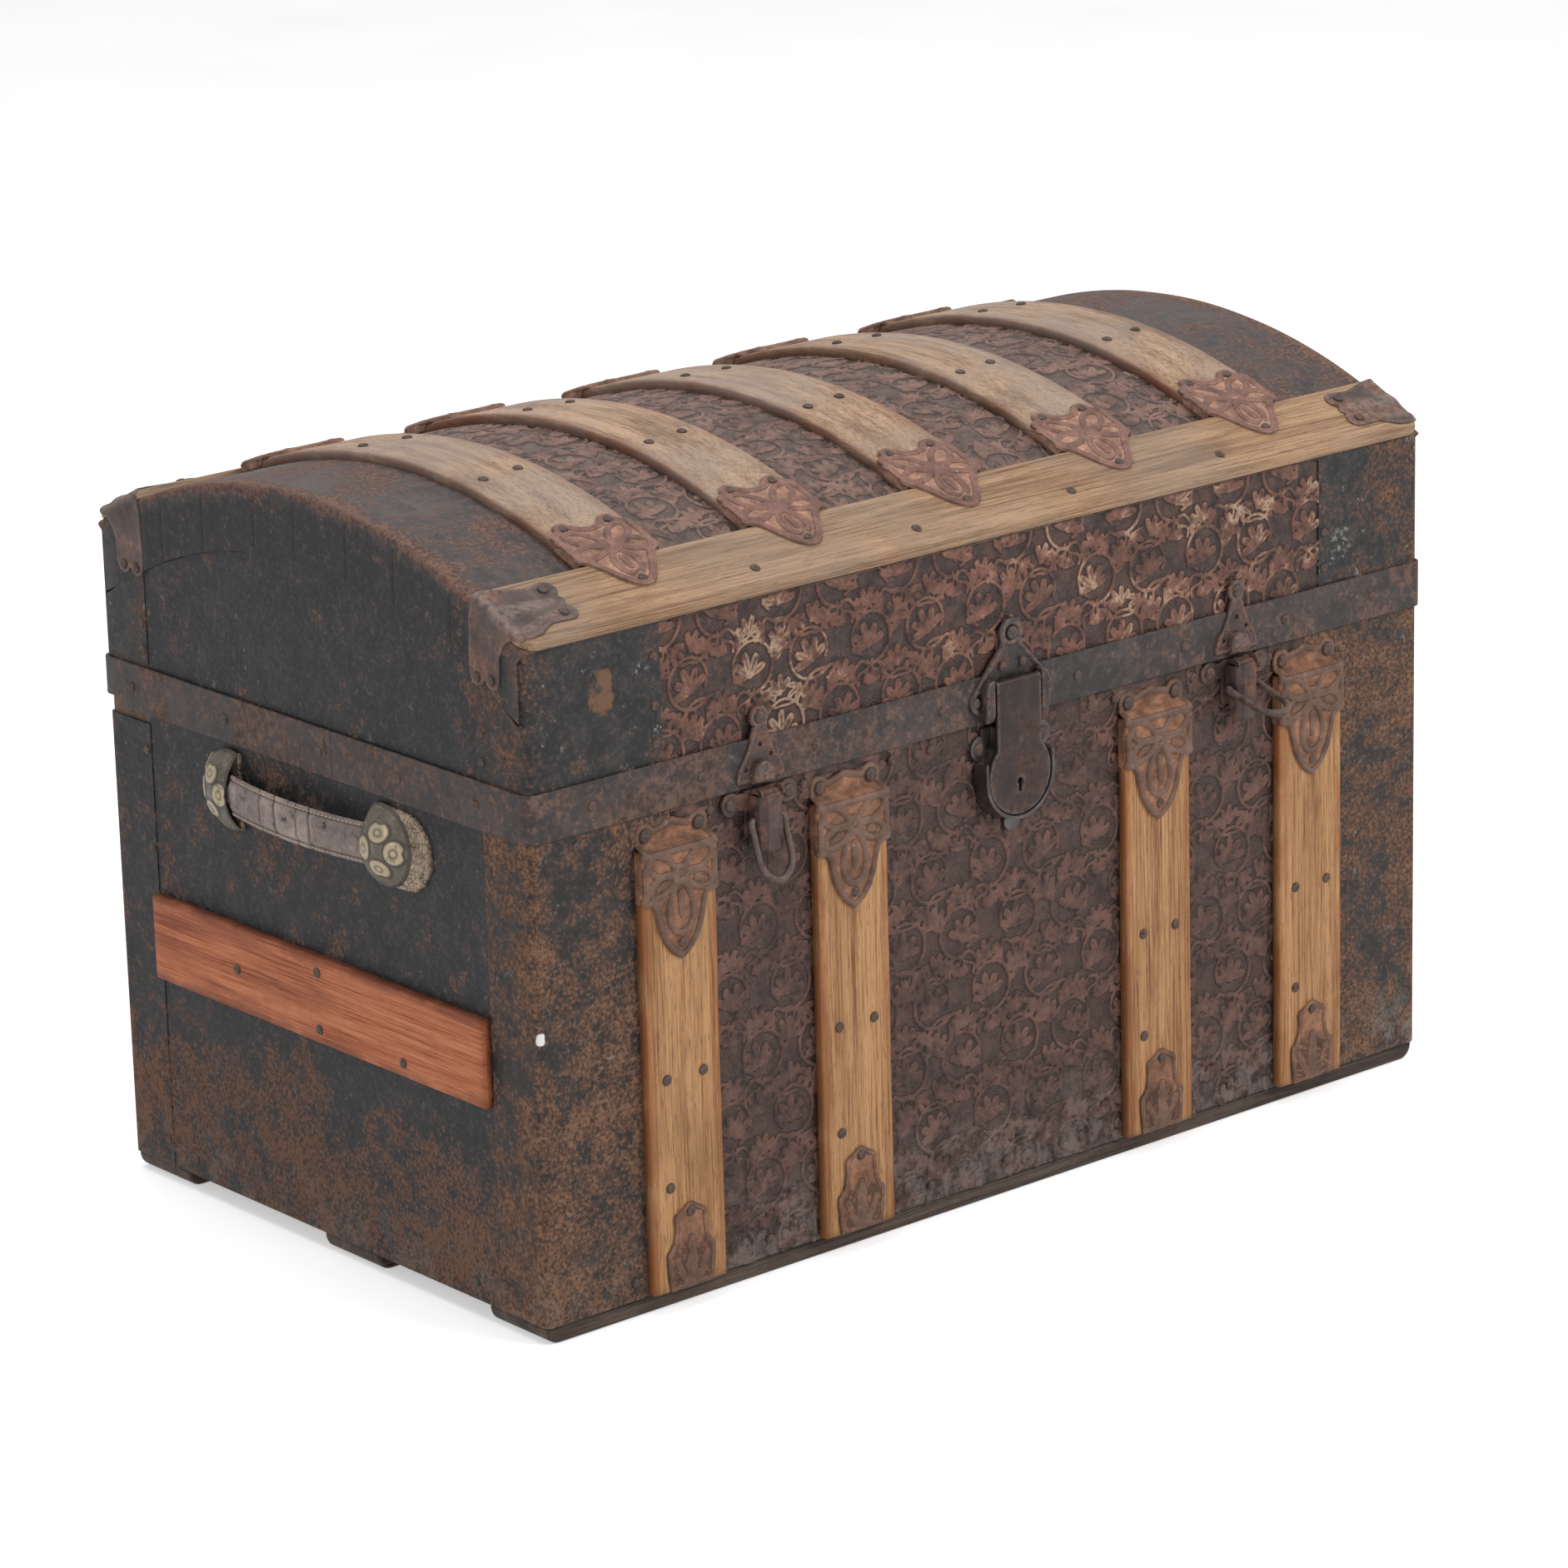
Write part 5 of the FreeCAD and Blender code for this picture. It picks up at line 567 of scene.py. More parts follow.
def piece(name, parts, node, degrees=None, look=None):
    """Several (points, faces, values) parts as one mesh that takes its place on a CAD node."""
    points, faces, shift = [], [], 0
    values = {key: [] for key in sorted({key for part in parts for key in part[2]})}
    for part_points, part_faces, data in parts:
        points.append(part_points)
        faces += [[v + shift for v in face] for face in part_faces]
        for key, rows in values.items():
            rows.append(data.get(key, np.zeros(len(part_points))))
        shift += len(part_points)
    values = {key: np.concatenate(rows) for key, rows in values.items()}
    adopt(crease(new_object(name, np.concatenate(points), faces, values), degrees), node, look)


WELD = 1e-6
WORN_EDGES = {
    "lock_case": 0.7, "latch_bases": 0.7, "shoulder_slats": 1.0, "runners": 2.0, "front_corner_wraps": 0.5,
    "lid_corner_wraps": 0.5, "front_band": 0.6, "back_band": 0.6,
}


def softened(node, width):
    """A CAD piece with its edges rubbed round."""
    def clean(made):
        bmesh.ops.remove_doubles(made, verts=made.verts, dist=WELD)
        bmesh.ops.dissolve_limit(made, angle_limit=math.radians(0.6), verts=made.verts, edges=made.edges)

    mesh = frame["nodes"][node].data.copy()
    mesh.name = node + "_worn"
    edited(mesh, clean)
    obj = shown(bpy.data.objects.new(node + "_worn", mesh))
    bevel = obj.modifiers.new("rubbed", "BEVEL")
    bevel.width = width * MM
    bevel.segments = 2
    bevel.limit_method = "ANGLE"
    bevel.angle_limit = math.radians(32)
    bevel.use_clamp_overlap = True
    bevel.harden_normals = False
    adopt(crease(obj, 45), node)


def most(*fields):
    best = fields[0]
    for field in fields[1:]:
        best = np.maximum(best, field)
    return best


def level(value, start, end):
    """0 at the start, 1 at the end, straight between."""
    return np.clip((value - start) / (end - start), 0, 1)


def front_points(x, out, z):
    """Points a distance out from the front boards."""
    return np.stack(np.broadcast_arrays(x, -(HALF_DEPTH + out), z), -1)


def flattened(top, axis, value):
    """The same points, all brought to one plane."""
    under = top.copy()
    under[..., axis] = value
    return under


def wobble(values, size, pitch, seed):
    """Slow hand-made unevenness along a row of places."""
    draw = np.random.default_rng(seed)
    total = np.zeros_like(values, dtype=float)
    for octave in range(3):
        total += np.sin(values / pitch * (1.7 ** octave) + draw.uniform(0, 6.28)) / (1.4 ** octave)
    return total * size / 2


def pitted(u, v, seed, pitch=5.0):
    """Shallow unevenness of old sheet metal, between -1 and 1."""
    draw = np.random.default_rng(seed)
    total = np.zeros_like(u)
    for octave in range(5):
        turn, phase = draw.uniform(0, 6.28, 2)
        size = pitch / 1.6 ** octave
        total += np.sin((u * math.cos(turn) + v * math.sin(turn)) / size + phase) / 5
    return total


def dome_top(y, offset):
    """Height of the dome, a distance outside its staves."""
    round_part = DOME_MIDDLE_Z + np.sqrt(np.maximum((DOME_RADIUS + offset) ** 2 - y ** 2, 0))
    flat = SHOULDER + (HALF_DEPTH - np.abs(y)) * SHOULDER_SLOPE + offset * SLOPE_LENGTH
    return np.minimum(round_part, flat)


# ---------------------------------------------------------------- relief of the embossed sheets
TILE = (96.0, 84.0)
RIDGE_STEEPNESS = 1.2
SCROLL_RADIUS = 18.0
SCROLL_CENTRES = ((12, 21, 1), (60, 21, -1), (36, 63, -1), (84, 63, 1))
RELIEF_STEP = 1.15
LID_STEP = RELIEF_STEP * 0.85
DOME_STEP = RELIEF_STEP * 1.07
COVERED_STEP = 12
SHEET_BASE = 0.45
FRONT_RELIEF = 1.35
DOME_RELIEF = 1.3
DOME_SHEET_REACH = 222.0


def stroke(du, dv, line, width):
    """Steep round-topped ridge along a polyline; width may taper from its start to its end."""
    best = np.zeros_like(du)
    start, end = width if isinstance(width, tuple) else (width, width)
    places = np.array(line)
    low, high = places.min(0) - max(start, end) / 2, places.max(0) + max(start, end) / 2
    close = (du > low[0]) & (du < high[0]) & (dv > low[1]) & (dv < high[1])
    x, y = du[close], dv[close]
    top = np.zeros_like(x)
    count = len(line) - 1
    for k, ((x0, y0), (x1, y1)) in enumerate(zip(line, line[1:])):
        dx, dy = x1 - x0, y1 - y0
        t = np.clip(((x - x0) * dx + (y - y0) * dy) / (dx * dx + dy * dy), 0, 1)
        away = np.hypot(x - x0 - t * dx, y - y0 - t * dy)
        half = (start + (end - start) * (k + t) / count) / 2
        top = np.maximum(top, np.clip(RIDGE_STEEPNESS * (1 - (away / half) ** 2), 0, 1))
    best[close] = top
    return best


def turned(du, dv, angle):
    """Places along and across a direction."""
    cosine, sine = math.cos(angle), math.sin(angle)
    return du * cosine + dv * sine, dv * cosine - du * sine


def palmette(du, dv, turn, size, lobes=5):
    """Leaf of pointed lobes that fan out from one round base, with a vein down each."""
    a, b = turned(du, dv, turn)
    best = np.clip(1.5 * (1 - ((a - size * 0.10) / (size * 0.26)) ** 2 - (b / (size * 0.17)) ** 2), 0, 1)
    for k in range(lobes):
        spread = (k - (lobes - 1) / 2) * 0.66
        reach = size * (1 - 0.13 * abs(spread))
        a, b = turned(du, dv, turn + spread)
        along = np.clip(a / reach, 0, 1)
        half = np.maximum(size * 0.42 * along ** 0.8 * (1.05 - along) ** 0.45, 0.05)
        lobe = np.clip(1.9 * (1 - (b / half) ** 2), 0, 1) * (a > 0) * (a < reach)
        vein = np.exp(-(b / (size * 0.055)) ** 2) * (along > 0.22) * (along < 0.82)
        best = np.maximum(best, lobe * (1 - 0.5 * vein))
    return best


def spiral(radius, start, turns, shrink, steps=26):
    """Scroll that winds inward."""
    shares = np.linspace(0, 1, steps + 1)
    reach = radius * (1 - shrink * shares ** 1.6)
    angle = start + turns * shares
    return list(zip(reach * np.cos(angle), reach * np.sin(angle)))


def s_curve(x0, y0, x1, y1, bend, steps=10):
    shares = np.linspace(0, 1, steps + 1)
    side = bend * np.sin(2 * math.pi * shares) / math.hypot(x1 - x0, y1 - y0)
    return list(zip(x0 + (x1 - x0) * shares - (y1 - y0) * side, y0 + (y1 - y0) * shares + (x1 - x0) * side))


def scroll_relief(u, v):
    """Height of the repeating scroll and leaf pattern, from 0 to 1."""
    best = np.zeros_like(u)
    wide, tall = TILE
    for number, (cx, cy, hand) in enumerate(SCROLL_CENTRES):
        du = ((u - cx + wide / 2) % wide - wide / 2) * hand
        dv = (v - cy + tall / 2) % tall - tall / 2
        tilt = 0.45 * math.sin(2.3 * number)
        start = -1.9 + tilt
        root = (SCROLL_RADIUS * math.cos(start), SCROLL_RADIUS * math.sin(start))
        stems = (
            (spiral(SCROLL_RADIUS, start, 5.9, 0.30), (3.2, 2.6)),
            (s_curve(*root, 24, -30, 3.5), (3.2, 2.6)),
            (s_curve(*root, -24, -22, -4), (3.0, 2.4)),
            (s_curve(17, 6, 27, 24, 3), (2.9, 2.3)),
            (s_curve(-14, 12, -22, 27, -3), (2.9, 2.3)),
        )
        leaves = (
            (-1, -6.5, 1.57 + tilt, 16.5, 5), (21, 7.5, 0.75 + tilt, 14.0, 4),
            (-1, 19.5, 1.9 - tilt, 13.5, 4), (9, -19.0, -0.9, 12.5, 4),
            (-13, -19.5, -2.4, 11.5, 3), (-19, 13, 2.6, 9.5, 3),
        )
        best = most(best, *[stroke(du, dv, line, width) for line, width in stems])
        best = most(best, *[palmette(du - x, dv - y, *leaf) for x, y, *leaf in leaves])
    return best


def relief_grid(low, high, covers, half, step, ends):
    """Grid of places on an embossed sheet, with wide steps where slats cover it."""
    stretches, place = [], low
    for middle in covers:
        left, right = max(middle - half, low), min(middle + half, high)
        if left > place:
            stretches.append((place, left, step))
        if right > left:
            stretches.append((left, right, COVERED_STEP))
            place = right
    if high > place:
        stretches.append((place, high, step))
    us = []
    for start, end, wide in stretches:
        us += list(np.linspace(start, end, max(2, int(round((end - start) / wide))), endpoint=False))
    foot, top = ends
    return np.meshgrid(us + [stretches[-1][1]], np.linspace(foot, top, int((top - foot) / step) + 1))


def embossed_front(name, node, low, high, ends, covers=(), step=RELIEF_STEP):
    u, v = relief_grid(low, high, covers, FRONT_SLAT_WIDTH / 2 - 1, step, ends)
    relief = scroll_relief(u, v)
    sag = 0.22 * np.sin(u / 57) * np.sin(v / 41 + 1) - 0.1
    out = SHEET_BASE + relief * FRONT_RELIEF + np.clip(sag, -0.3, 0.1)
    top = front_points(u, out, v)
    piece(name, [slab_data(top, flattened(top, 1, -HALF_DEPTH), {"relief": relief})], node)


def embossed_dome():
    u, v = relief_grid(DOME_SLATS[0], DOME_SLATS[-1], DOME_SLATS, DOME_SLAT_WIDTH / 2 - 1,
                       DOME_STEP, (-DOME_SHEET_REACH, DOME_SHEET_REACH))
    relief = scroll_relief(u, v * 1.06 + 30)
    out = SHEET_BASE + relief * level(np.abs(v), SLAT_JOINT_Y + 2, SLAT_JOINT_Y - 1) * DOME_RELIEF
    top = np.stack([u, v, dome_top(v, out)], -1)
    under = np.stack([u, v, dome_top(v, np.zeros_like(v))], -1)
    piece("dome_embossed_sheet", [slab_data(top, under, {"relief": relief})], "dome_sheet")


# ---------------------------------------------------------------- slats
SLAT_ROUND = 1.6
DOME_SLAT_ROUND = 1.8


def slat_data(half, radius, ends, count, stained, settle):
    """One slat. settle gives its top and underside from places on it and the fall of its round edges."""
    sides = [half, half - radius * 0.13, half - radius * 0.5]
    across = [-s for s in sides] + list(np.linspace(radius - half, half - radius, 9)) + sides[::-1]
    u, v = np.meshgrid(across, np.linspace(*ends, count))
    over = np.clip((np.abs(u) - (half - radius)) / radius, 0, 1)
    drop = radius * (1 - np.sqrt(np.maximum(0, 1 - over ** 2)))
    return slab_data(*settle(u, v, drop), {"edge": level(np.abs(u), half - stained, half)})


def front_slats():
    half = FRONT_SLAT_WIDTH / 2
    for number, x in enumerate(FRONT_SLATS, start=1):
        def settle(u, v, drop):
            narrow = 1 + wobble(v, 0.012, 55, number)
            thick = FRONT_SLAT_FACE - 0.25 + wobble(v, 0.25, 70, number + 9) - 0.12 * (u / half) ** 2
            out = np.minimum(thick - drop, FRONT_SLAT_FACE)
            top = front_points(x + u * np.minimum(narrow, 1.006), out, v)
            return top, flattened(top, 1, -(HALF_DEPTH + SKIN))
        part = slat_data(half, SLAT_ROUND, FRONT_SLAT_ENDS, 58, 7, settle)
        piece("front_wood_slat_%d" % number, [part], "front_slat_%d" % number)


def back_slats():
    parts = []
    for number, x in enumerate(FRONT_SLATS[1:3]):
        def settle(u, v, drop):
            rough = np.minimum(wobble(v, 0.2, 60, number + 30), 0)
            top = np.stack([x + u, HALF_DEPTH + END_SKIN + PLAIN_SLAT_THICKNESS - drop + rough, v], -1)
            return top, flattened(top, 1, HALF_DEPTH + END_SKIN)
        parts.append(slat_data(FRONT_SLAT_WIDTH / 2, SLAT_ROUND, FRONT_SLAT_ENDS, 40, 7, settle))
    piece("back_wood_slats", parts, "back_slats")


def end_slats():
    parts = []
    for side in (LEFT, RIGHT):
        def settle(u, v, drop):
            rough = np.minimum(wobble(v, 0.25, 60, side + 50), 0)
            out = HALF_LENGTH + END_SKIN + PLAIN_SLAT_THICKNESS - drop + rough
            top = np.stack([side * out, v, END_SLAT_Z + u], -1)
            return top, flattened(top, 0, side * (HALF_LENGTH + END_SKIN))
        parts.append(slat_data(END_SLAT_HALF, SLAT_ROUND, END_SLAT_ENDS, 64, 8, settle))
    piece("end_wood_slats", parts, "end_slats")


def dome_slats():
    reach = SLAT_JOINT_Y - 0.3
    parts = []
    for number, x in enumerate(DOME_SLATS):
        def settle(u, v, drop):
            crown = DOME_SLAT_THICKNESS - 0.25 - drop + np.minimum(wobble(v, 0.25, 60, number + 70), 0.1)
            ball = DOME_RADIUS + SKIN + crown
            top = np.stack([x + u, v, DOME_MIDDLE_Z + np.sqrt(ball ** 2 - v ** 2)], -1)
            return top, np.stack([x + u, v, dome_top(v, np.full_like(v, 0.6))], -1)
        parts.append(slat_data(DOME_SLAT_WIDTH / 2, DOME_SLAT_ROUND, (-reach, reach), 90, 6, settle))
    piece("dome_wood_slats", parts, "dome_slats")


# ---------------------------------------------------------------- stamped plates
def arc(x, y, radius, start, end, steps=8):
    """Points along an arc, from one angle to another in degrees."""
    angles = np.radians(np.linspace(start, end, steps))
    return [(x + radius * math.cos(a), y + radius * math.sin(a)) for a in angles]


def mirrored(right, first=1, last=-1):
    """Closed outline from its right half; the rows from first to last have a twin on the left."""
    return np.array(right + [(-x, y) for x, y in reversed(right[first:last])])


def segments(loop):
    return zip(loop, np.roll(loop, -1, 0))


def resampled(loop, step):
    points = []
    for (x0, y0), (x1, y1) in segments(loop):
        count = max(1, int(math.hypot(x1 - x0, y1 - y0) / step))
        points += [(x0 + (x1 - x0) * k / count, y0 + (y1 - y0) * k / count) for k in range(count)]
    return np.array(points)


def depth_inside(points, loops):
    """Distance of each point to the nearest border, and whether it lies inside."""
    nearest = np.full(len(points), 1e9)
    inside = np.zeros(len(points), bool)
    x, y = points[:, 0], points[:, 1]
    for loop in loops:
        for (x0, y0), (x1, y1) in segments(loop):
            dx, dy = x1 - x0, y1 - y0
            share = np.clip(((x - x0) * dx + (y - y0) * dy) / max(dx * dx + dy * dy, 1e-9), 0, 1)
            nearest = np.minimum(nearest, np.hypot(x - x0 - share * dx, y - y0 - share * dy))
            if abs(dy) > 1e-12:
                crosses = (y0 > y) != (y1 > y)
                inside ^= crosses & (x < x0 + (y - y0) * dx / dy)
    return nearest, inside


def border_ring(loop, loops, depth):
    """The border moved into the plate by a depth."""
    along = np.roll(loop, -1, 0) - np.roll(loop, 1, 0)
    along = along / np.maximum(np.linalg.norm(along, axis=1, keepdims=True), 1e-9)
    side = np.stack([-along[:, 1], along[:, 0]], 1)
    outside = ~depth_inside(loop + side * 0.03, loops)[1]
    side[outside] *= -1
    ring = loop + side * depth
    away, inside = depth_inside(ring, loops)
    return ring[inside & (away > depth * 0.9)]


def filled(loops, step, radius):
    """Points and triangles that fill an outline less its holes."""
    border = [resampled(loop, step) for loop in loops]
    low, high = border[0].min(0), border[0].max(0)
    u, v = np.meshgrid(np.arange(low[0], high[0], step), np.arange(low[1], high[1], step * 0.87))
    u = u + step / 2 * (np.arange(len(u)) % 2)[:, None]
    grid = np.stack([u.ravel(), v.ravel()], 1)
    depth, inside = depth_inside(grid, loops)
    inner = [grid[inside & (depth > radius + step * 0.4)]]
    edges, start = [], 0
    for loop in border:
        inner += [border_ring(loop, loops, radius * share) for share in (0.3, 1.0)]
        count = len(loop)
        edges += [(start + k, start + (k + 1) % count) for k in range(count)]
        start += count
    result = delaunay_2d_cdt([Vector(p) for p in np.concatenate(border + inner)], edges, [], 0, 1e-5)
    points = np.array([tuple(p) for p in result[0]])
    triangles = np.array(result[2])
    return points, triangles[depth_inside(points[triangles].mean(1), loops)[1]]


def pressed(loops, shape, place, step=1.1, radius=0.7):
    """One stamped plate: shape gives height and relief, place lays it on its surface."""
    points, triangles = filled(loops, step, radius)
    u, v = points.T
    depth = depth_inside(points, loops)[0]
    height, relief = shape(u, v, depth)
    over = np.clip(1 - depth / radius, 0, 1)
    height = height - radius * (1 - np.sqrt(1 - over ** 2))
    count = len(points)
    edges = np.concatenate([triangles[:, pair] for pair in ([0, 1], [1, 2], [2, 0])])
    known = set(map(tuple, edges.tolist()))
    rim = sorted((a, b) for a, b in known if (b, a) not in known)
    faces = triangles.tolist() + (triangles[:, ::-1] + count).tolist()
    faces += [[b, a, a + count, b + count] for a, b in rim]
    placed = np.concatenate([place(u, v, height), place(u, v, np.zeros_like(u))])
    return placed, faces, {"relief": np.concatenate([relief, relief])}


def on_front(x, out):
    return lambda u, v, height: front_points(x + u, out + height, v)


def hump(value, middle, width):
    """Round ridge: 1 at the middle, 0 half a width away."""
    return np.clip(1 - ((value - middle) / (width / 2)) ** 2, 0, 1)


def rivet(u, v, x, y, width):
    """Round head at one place."""
    return np.sqrt(hump(np.hypot(u - x, v - y), 0, width))


def petal_line(x, y, degrees, long, wide):
    """Closed line of a petal that starts from a point and heads in a direction."""
    cosine, sine = math.cos(math.radians(degrees)), math.sin(math.radians(degrees))
    angle = np.linspace(0, 2 * math.pi, 19)
    a = long * (1 - np.cos(angle)) / 2
    b = wide / 2 * np.sin(angle) * (0.55 + 0.45 * np.abs(np.sin(angle / 2)))
    return list(zip(x + a * cosine - b * sine, y + a * sine + b * cosine))


def ring_line(x, y, radius):
    return arc(x, y, radius, 0, 360, 17)


# ---------------------------------------------------------------- slat clamps
CLAMP_FOLD = 302.5
CLAMP_TOP = 310.0
CLAMP_REACH = 36.0
CLAMP_BOSS_Z = 283.5
CLAMP_RIVET_Z = 239.5
CLAMP_METAL = 1.0
CLAMP_RELIEF = 1.7
CLAMP_SUNK = 0.5
CLAMP_BEND = 0.9
DOME_CLAMP_REACH = 36.5
DOME_CLAMP_BOSS = 8
DOME_CLAMP_RIVET = -20.5
RIVET_WIDTH = 7.6


def top_clamp_outline():
    """The sides reach past the slat, to be folded down it."""
    right = [(0, 228.6), (3.5, 230.2), (8.5, 234.0), (13.5, 240.5), (17.2, 248), (19.2, 256), (20.6, 262.5)]
    right += [(22.5, 266.2), (26, 267.8), (29, 268.2), (CLAMP_REACH, 268.6), (CLAMP_REACH, 299.5)]
    right += [(29.4, 301.5)] + arc(21, CLAMP_TOP, 8, -25, 150, 9) + arc(0, 309.5, 8.2, 55, 90, 4)
    return mirrored(right)


def top_clamp_motif(u, v):
    """Boss with two lobes to each side and a long leaf below, under a level ridge."""
    lines = [ring_line(0, CLAMP_BOSS_Z, 4.6), petal_line(0, CLAMP_BOSS_Z - 5, -90, 33, 22)]
    inner = [((0, 271), (0, 257))]
    for side in (1, -1):
        lines.append(petal_line(side * 3.5, CLAMP_BOSS_Z + 1, 90 - side * 62, 24, 14))
        lines.append(petal_line(side * 3.5, CLAMP_BOSS_Z - 1, 90 - side * 112, 22, 13))
        inner.append(((side * 13, CLAMP_BOSS_Z - 5), (side * 18, CLAMP_BOSS_Z - 7)))
    ridges = [stroke(u, v, line, 4.6) for line in lines] + [stroke(u, v, [(-29, 299.0), (29, 299.0)], 4.4)]
    leaves = most(*[stroke(u, v, line, (6.4, 4.0)) for line in inner]) * 0.75
    dot = hump(np.hypot(u, v - CLAMP_BOSS_Z), 0, 4.8) * 0.8
    return most(*ridges, leaves, dot)


def folded(u, half, reach):
    """How far metal goes across and out where its sides are folded down past a slat's corner."""
    corner = half - 0.4
    past = np.maximum(np.abs(u) - corner, 0)
    angle = np.minimum(past / CLAMP_BEND, math.pi / 2)
    across = np.sign(u) * (np.minimum(np.abs(u), corner) + reach * np.sin(angle))
    return across, reach * np.cos(angle), np.maximum(past - CLAMP_BEND * math.pi / 2, 0)


def eased(share):
    return share * share * (3 - 2 * share)


def clamp_shape(slat_width, rim, side_rim, span, motif, rivet_place, rivet_rise, seed):
    """Height and relief of a clamp: its rim and motif stay on the slat, a second rim runs along its sides."""
    def shape(u, v, depth):
        on_top = level(np.abs(u), slat_width / 2 + 1.5, slat_width / 2 - 0.5)
        low_rim = hump(np.abs(u), *side_rim) * (v > span[0]) * (v < span[1])
        relief = most(hump(depth, *rim) * on_top, low_rim, motif(u, v) * on_top)
        head = rivet(u, v, 0, rivet_place, RIVET_WIDTH)
        height = CLAMP_METAL + relief * CLAMP_RELIEF + head * rivet_rise + pitted(u, v, seed) * 0.15
        return height, relief * (1 - head)
    return shape


def front_top_clamps():
    shape = clamp_shape(FRONT_SLAT_WIDTH, (2.4, 4.6), (27.0, 4.6), (268, 292), top_clamp_motif,
                        CLAMP_RIVET_Z, 1.5, 3)

    def settle(x):
        """The tongue lies on the slat with folded sides, the flange above it on the sheet."""
        def place(u, v, height):
            drop = eased(level(v, CLAMP_FOLD - 2, CLAMP_FOLD + 3))
            base = FRONT_SLAT_FACE + (SKIN - FRONT_SLAT_FACE) * drop
            reach = (CLAMP_SUNK + height) * (1 - 0.5 * drop)
            across, out, past = folded(u, FRONT_SLAT_WIDTH / 2, reach)
            lifted = height * 1.6 * drop * (1 - drop)
            return front_points(x + across, base - CLAMP_SUNK + out - past, v + lifted)
        return place

    parts = [pressed([top_clamp_outline()], shape, settle(x)) for x in FRONT_SLATS]
    piece("front_top_clamps", parts, "slat_top_clamps", 60)


def foot_clamp_outline():
    foot = FRONT_SLAT_ENDS[0]
    right = [(0, foot), (17.5, foot), (18.8, 24), (19.4, 33)] + arc(16.5, 38, 3.2, -20, 80, 4)
    right += [(14.2, 46), (13.0, 54)] + arc(9.0, 60.5, 4.4, -25, 75, 5) + arc(0, 63.5, 6.5, 40, 90, 4)
    return mirrored(right)


def front_foot_clamps():
    """Small worn clamps at the slats' feet, hammered and rusted uneven."""
    parts = []
    for number, x in enumerate(FRONT_SLATS):
        def shape(u, v, depth):
            rim = hump(depth, 1.8, 3.6) * 0.6
            spine = stroke(u, v, [(0, 18), (0, 46)], (13, 6)) * 0.55
            side = most(*[stroke(u, v, [(s * 6, 20), (s * 12, 34)], 5) for s in (1, -1)]) * 0.5
            rough = (pitted(u, v, number + 20, 2.6) * 0.5 + 0.3) * level(v, 50, 38)
            relief = np.clip(most(rim, spine, side) + rough * 0.6, 0, 1)
            return CLAMP_METAL + relief * 1.3 + rough * 0.35, relief
        parts.append(pressed([foot_clamp_outline()], shape, on_front(x, FRONT_SLAT_FACE), step=1.2))
    piece("front_foot_clamps", parts, "slat_foot_clamps", 60)


def dome_clamp_outline():
    """Plan outline with the slat joint at 0 and the dome's crest upward; the sides fold down."""
    right = [(0, -29.5), (4.5, -28.6), (9.5, -25.2), (14.2, -20), (18.2, -14), (22, -8), (26, -3.2)]
    right += [(30, -1.2), (DOME_CLAMP_REACH, -0.5), (DOME_CLAMP_REACH, 20), (31, 23)]
    right += arc(27.5, 25, 4.6, 0, 80, 4) + arc(17.5, 31.5, 7, 0, 150, 8) + [(7, 31), (0, 29.5)]
    return mirrored(right)


def dome_clamp_motif(u, v):
    """Boss with four petals toward the corners and an oval toward the tip."""
    lines = [ring_line(0, DOME_CLAMP_BOSS, 4.2), petal_line(0, 3, -90, 21, 19)]
    for degrees, long, wide in ((42, 26, 14), (-10, 25, 12)):
        lines.append(petal_line(3, DOME_CLAMP_BOSS, degrees, long, wide))
        lines.append(petal_line(-3, DOME_CLAMP_BOSS, 180 - degrees, long, wide))
    leaf = stroke(u, v, [(0, -4), (0, -12)], (6.0, 4.0)) * 0.7
    dot = hump(np.hypot(u, v - DOME_CLAMP_BOSS), 0, 4.6) * 0.8
    return most(*[stroke(u, v, line, 4.2) for line in lines], leaf, dot)


def joint_height(y):
    """Height of the wood under a dome clamp and how far its face leans, at a distance from the middle."""
    ball = DOME_RADIUS + SKIN + DOME_SLAT_THICKNESS
    rise = np.sqrt(ball ** 2 - y ** 2)
    flat = SHOULDER + (HALF_DEPTH - y) * SHOULDER_SLOPE + (SKIN + SHOULDER_THICK) * SLOPE_LENGTH
    share = eased(level(y, SLAT_JOINT_Y - 4, SLAT_JOINT_Y + 4))
    lean = np.arctan(y / rise) * (1 - share) + SLOPE_ANGLE * share
    return (DOME_MIDDLE_Z + rise) * (1 - share) + flat * share, lean


def dome_slat_clamps():
    shape = clamp_shape(DOME_SLAT_WIDTH, (2.6, 5.2), (29.0, 5.0), (-1, 22), dome_clamp_motif,
                        DOME_CLAMP_RIVET, 1.3, 5)

    def settle(x, face):
        def place(u, v, height):
            y = SLAT_JOINT_Y - v
            base, lean = joint_height(y)
            across, out, past = folded(u, DOME_SLAT_WIDTH / 2, CLAMP_SUNK + height)
            rise = out - CLAMP_SUNK - past
            return np.stack([x + across, face * (y + rise * np.sin(lean)), base + rise * np.cos(lean)], -1)
        return place

    parts = [pressed([dome_clamp_outline()], shape, settle(x, face))
             for x in DOME_SLATS for face in (FRONT, BACK)]
    piece("dome_slat_clamps", parts, "dome_clamps", 60)


# ---------------------------------------------------------------- hasp, lock and latch plates
HASP_BACK_OUT = 10.2
HASP_METAL = 2.6
HASP_AXIS_Z = 348.0
HASP_AXIS_OUT = 9.6
HASP_ROLL = 3.2
HASP_ROUND_Z = 286.7
HASP_ROUND = 26.5
HASP_HALF = 19.0
KEYHOLE_Z = 282.4
PLATE_OUT = 3.9
PLATE_FOOT = 324.5
PLATE_RIVETS = ((0, 379), (26.5, 339), (-26.5, 339))
BRASS_RIVET = (6.5, 358)


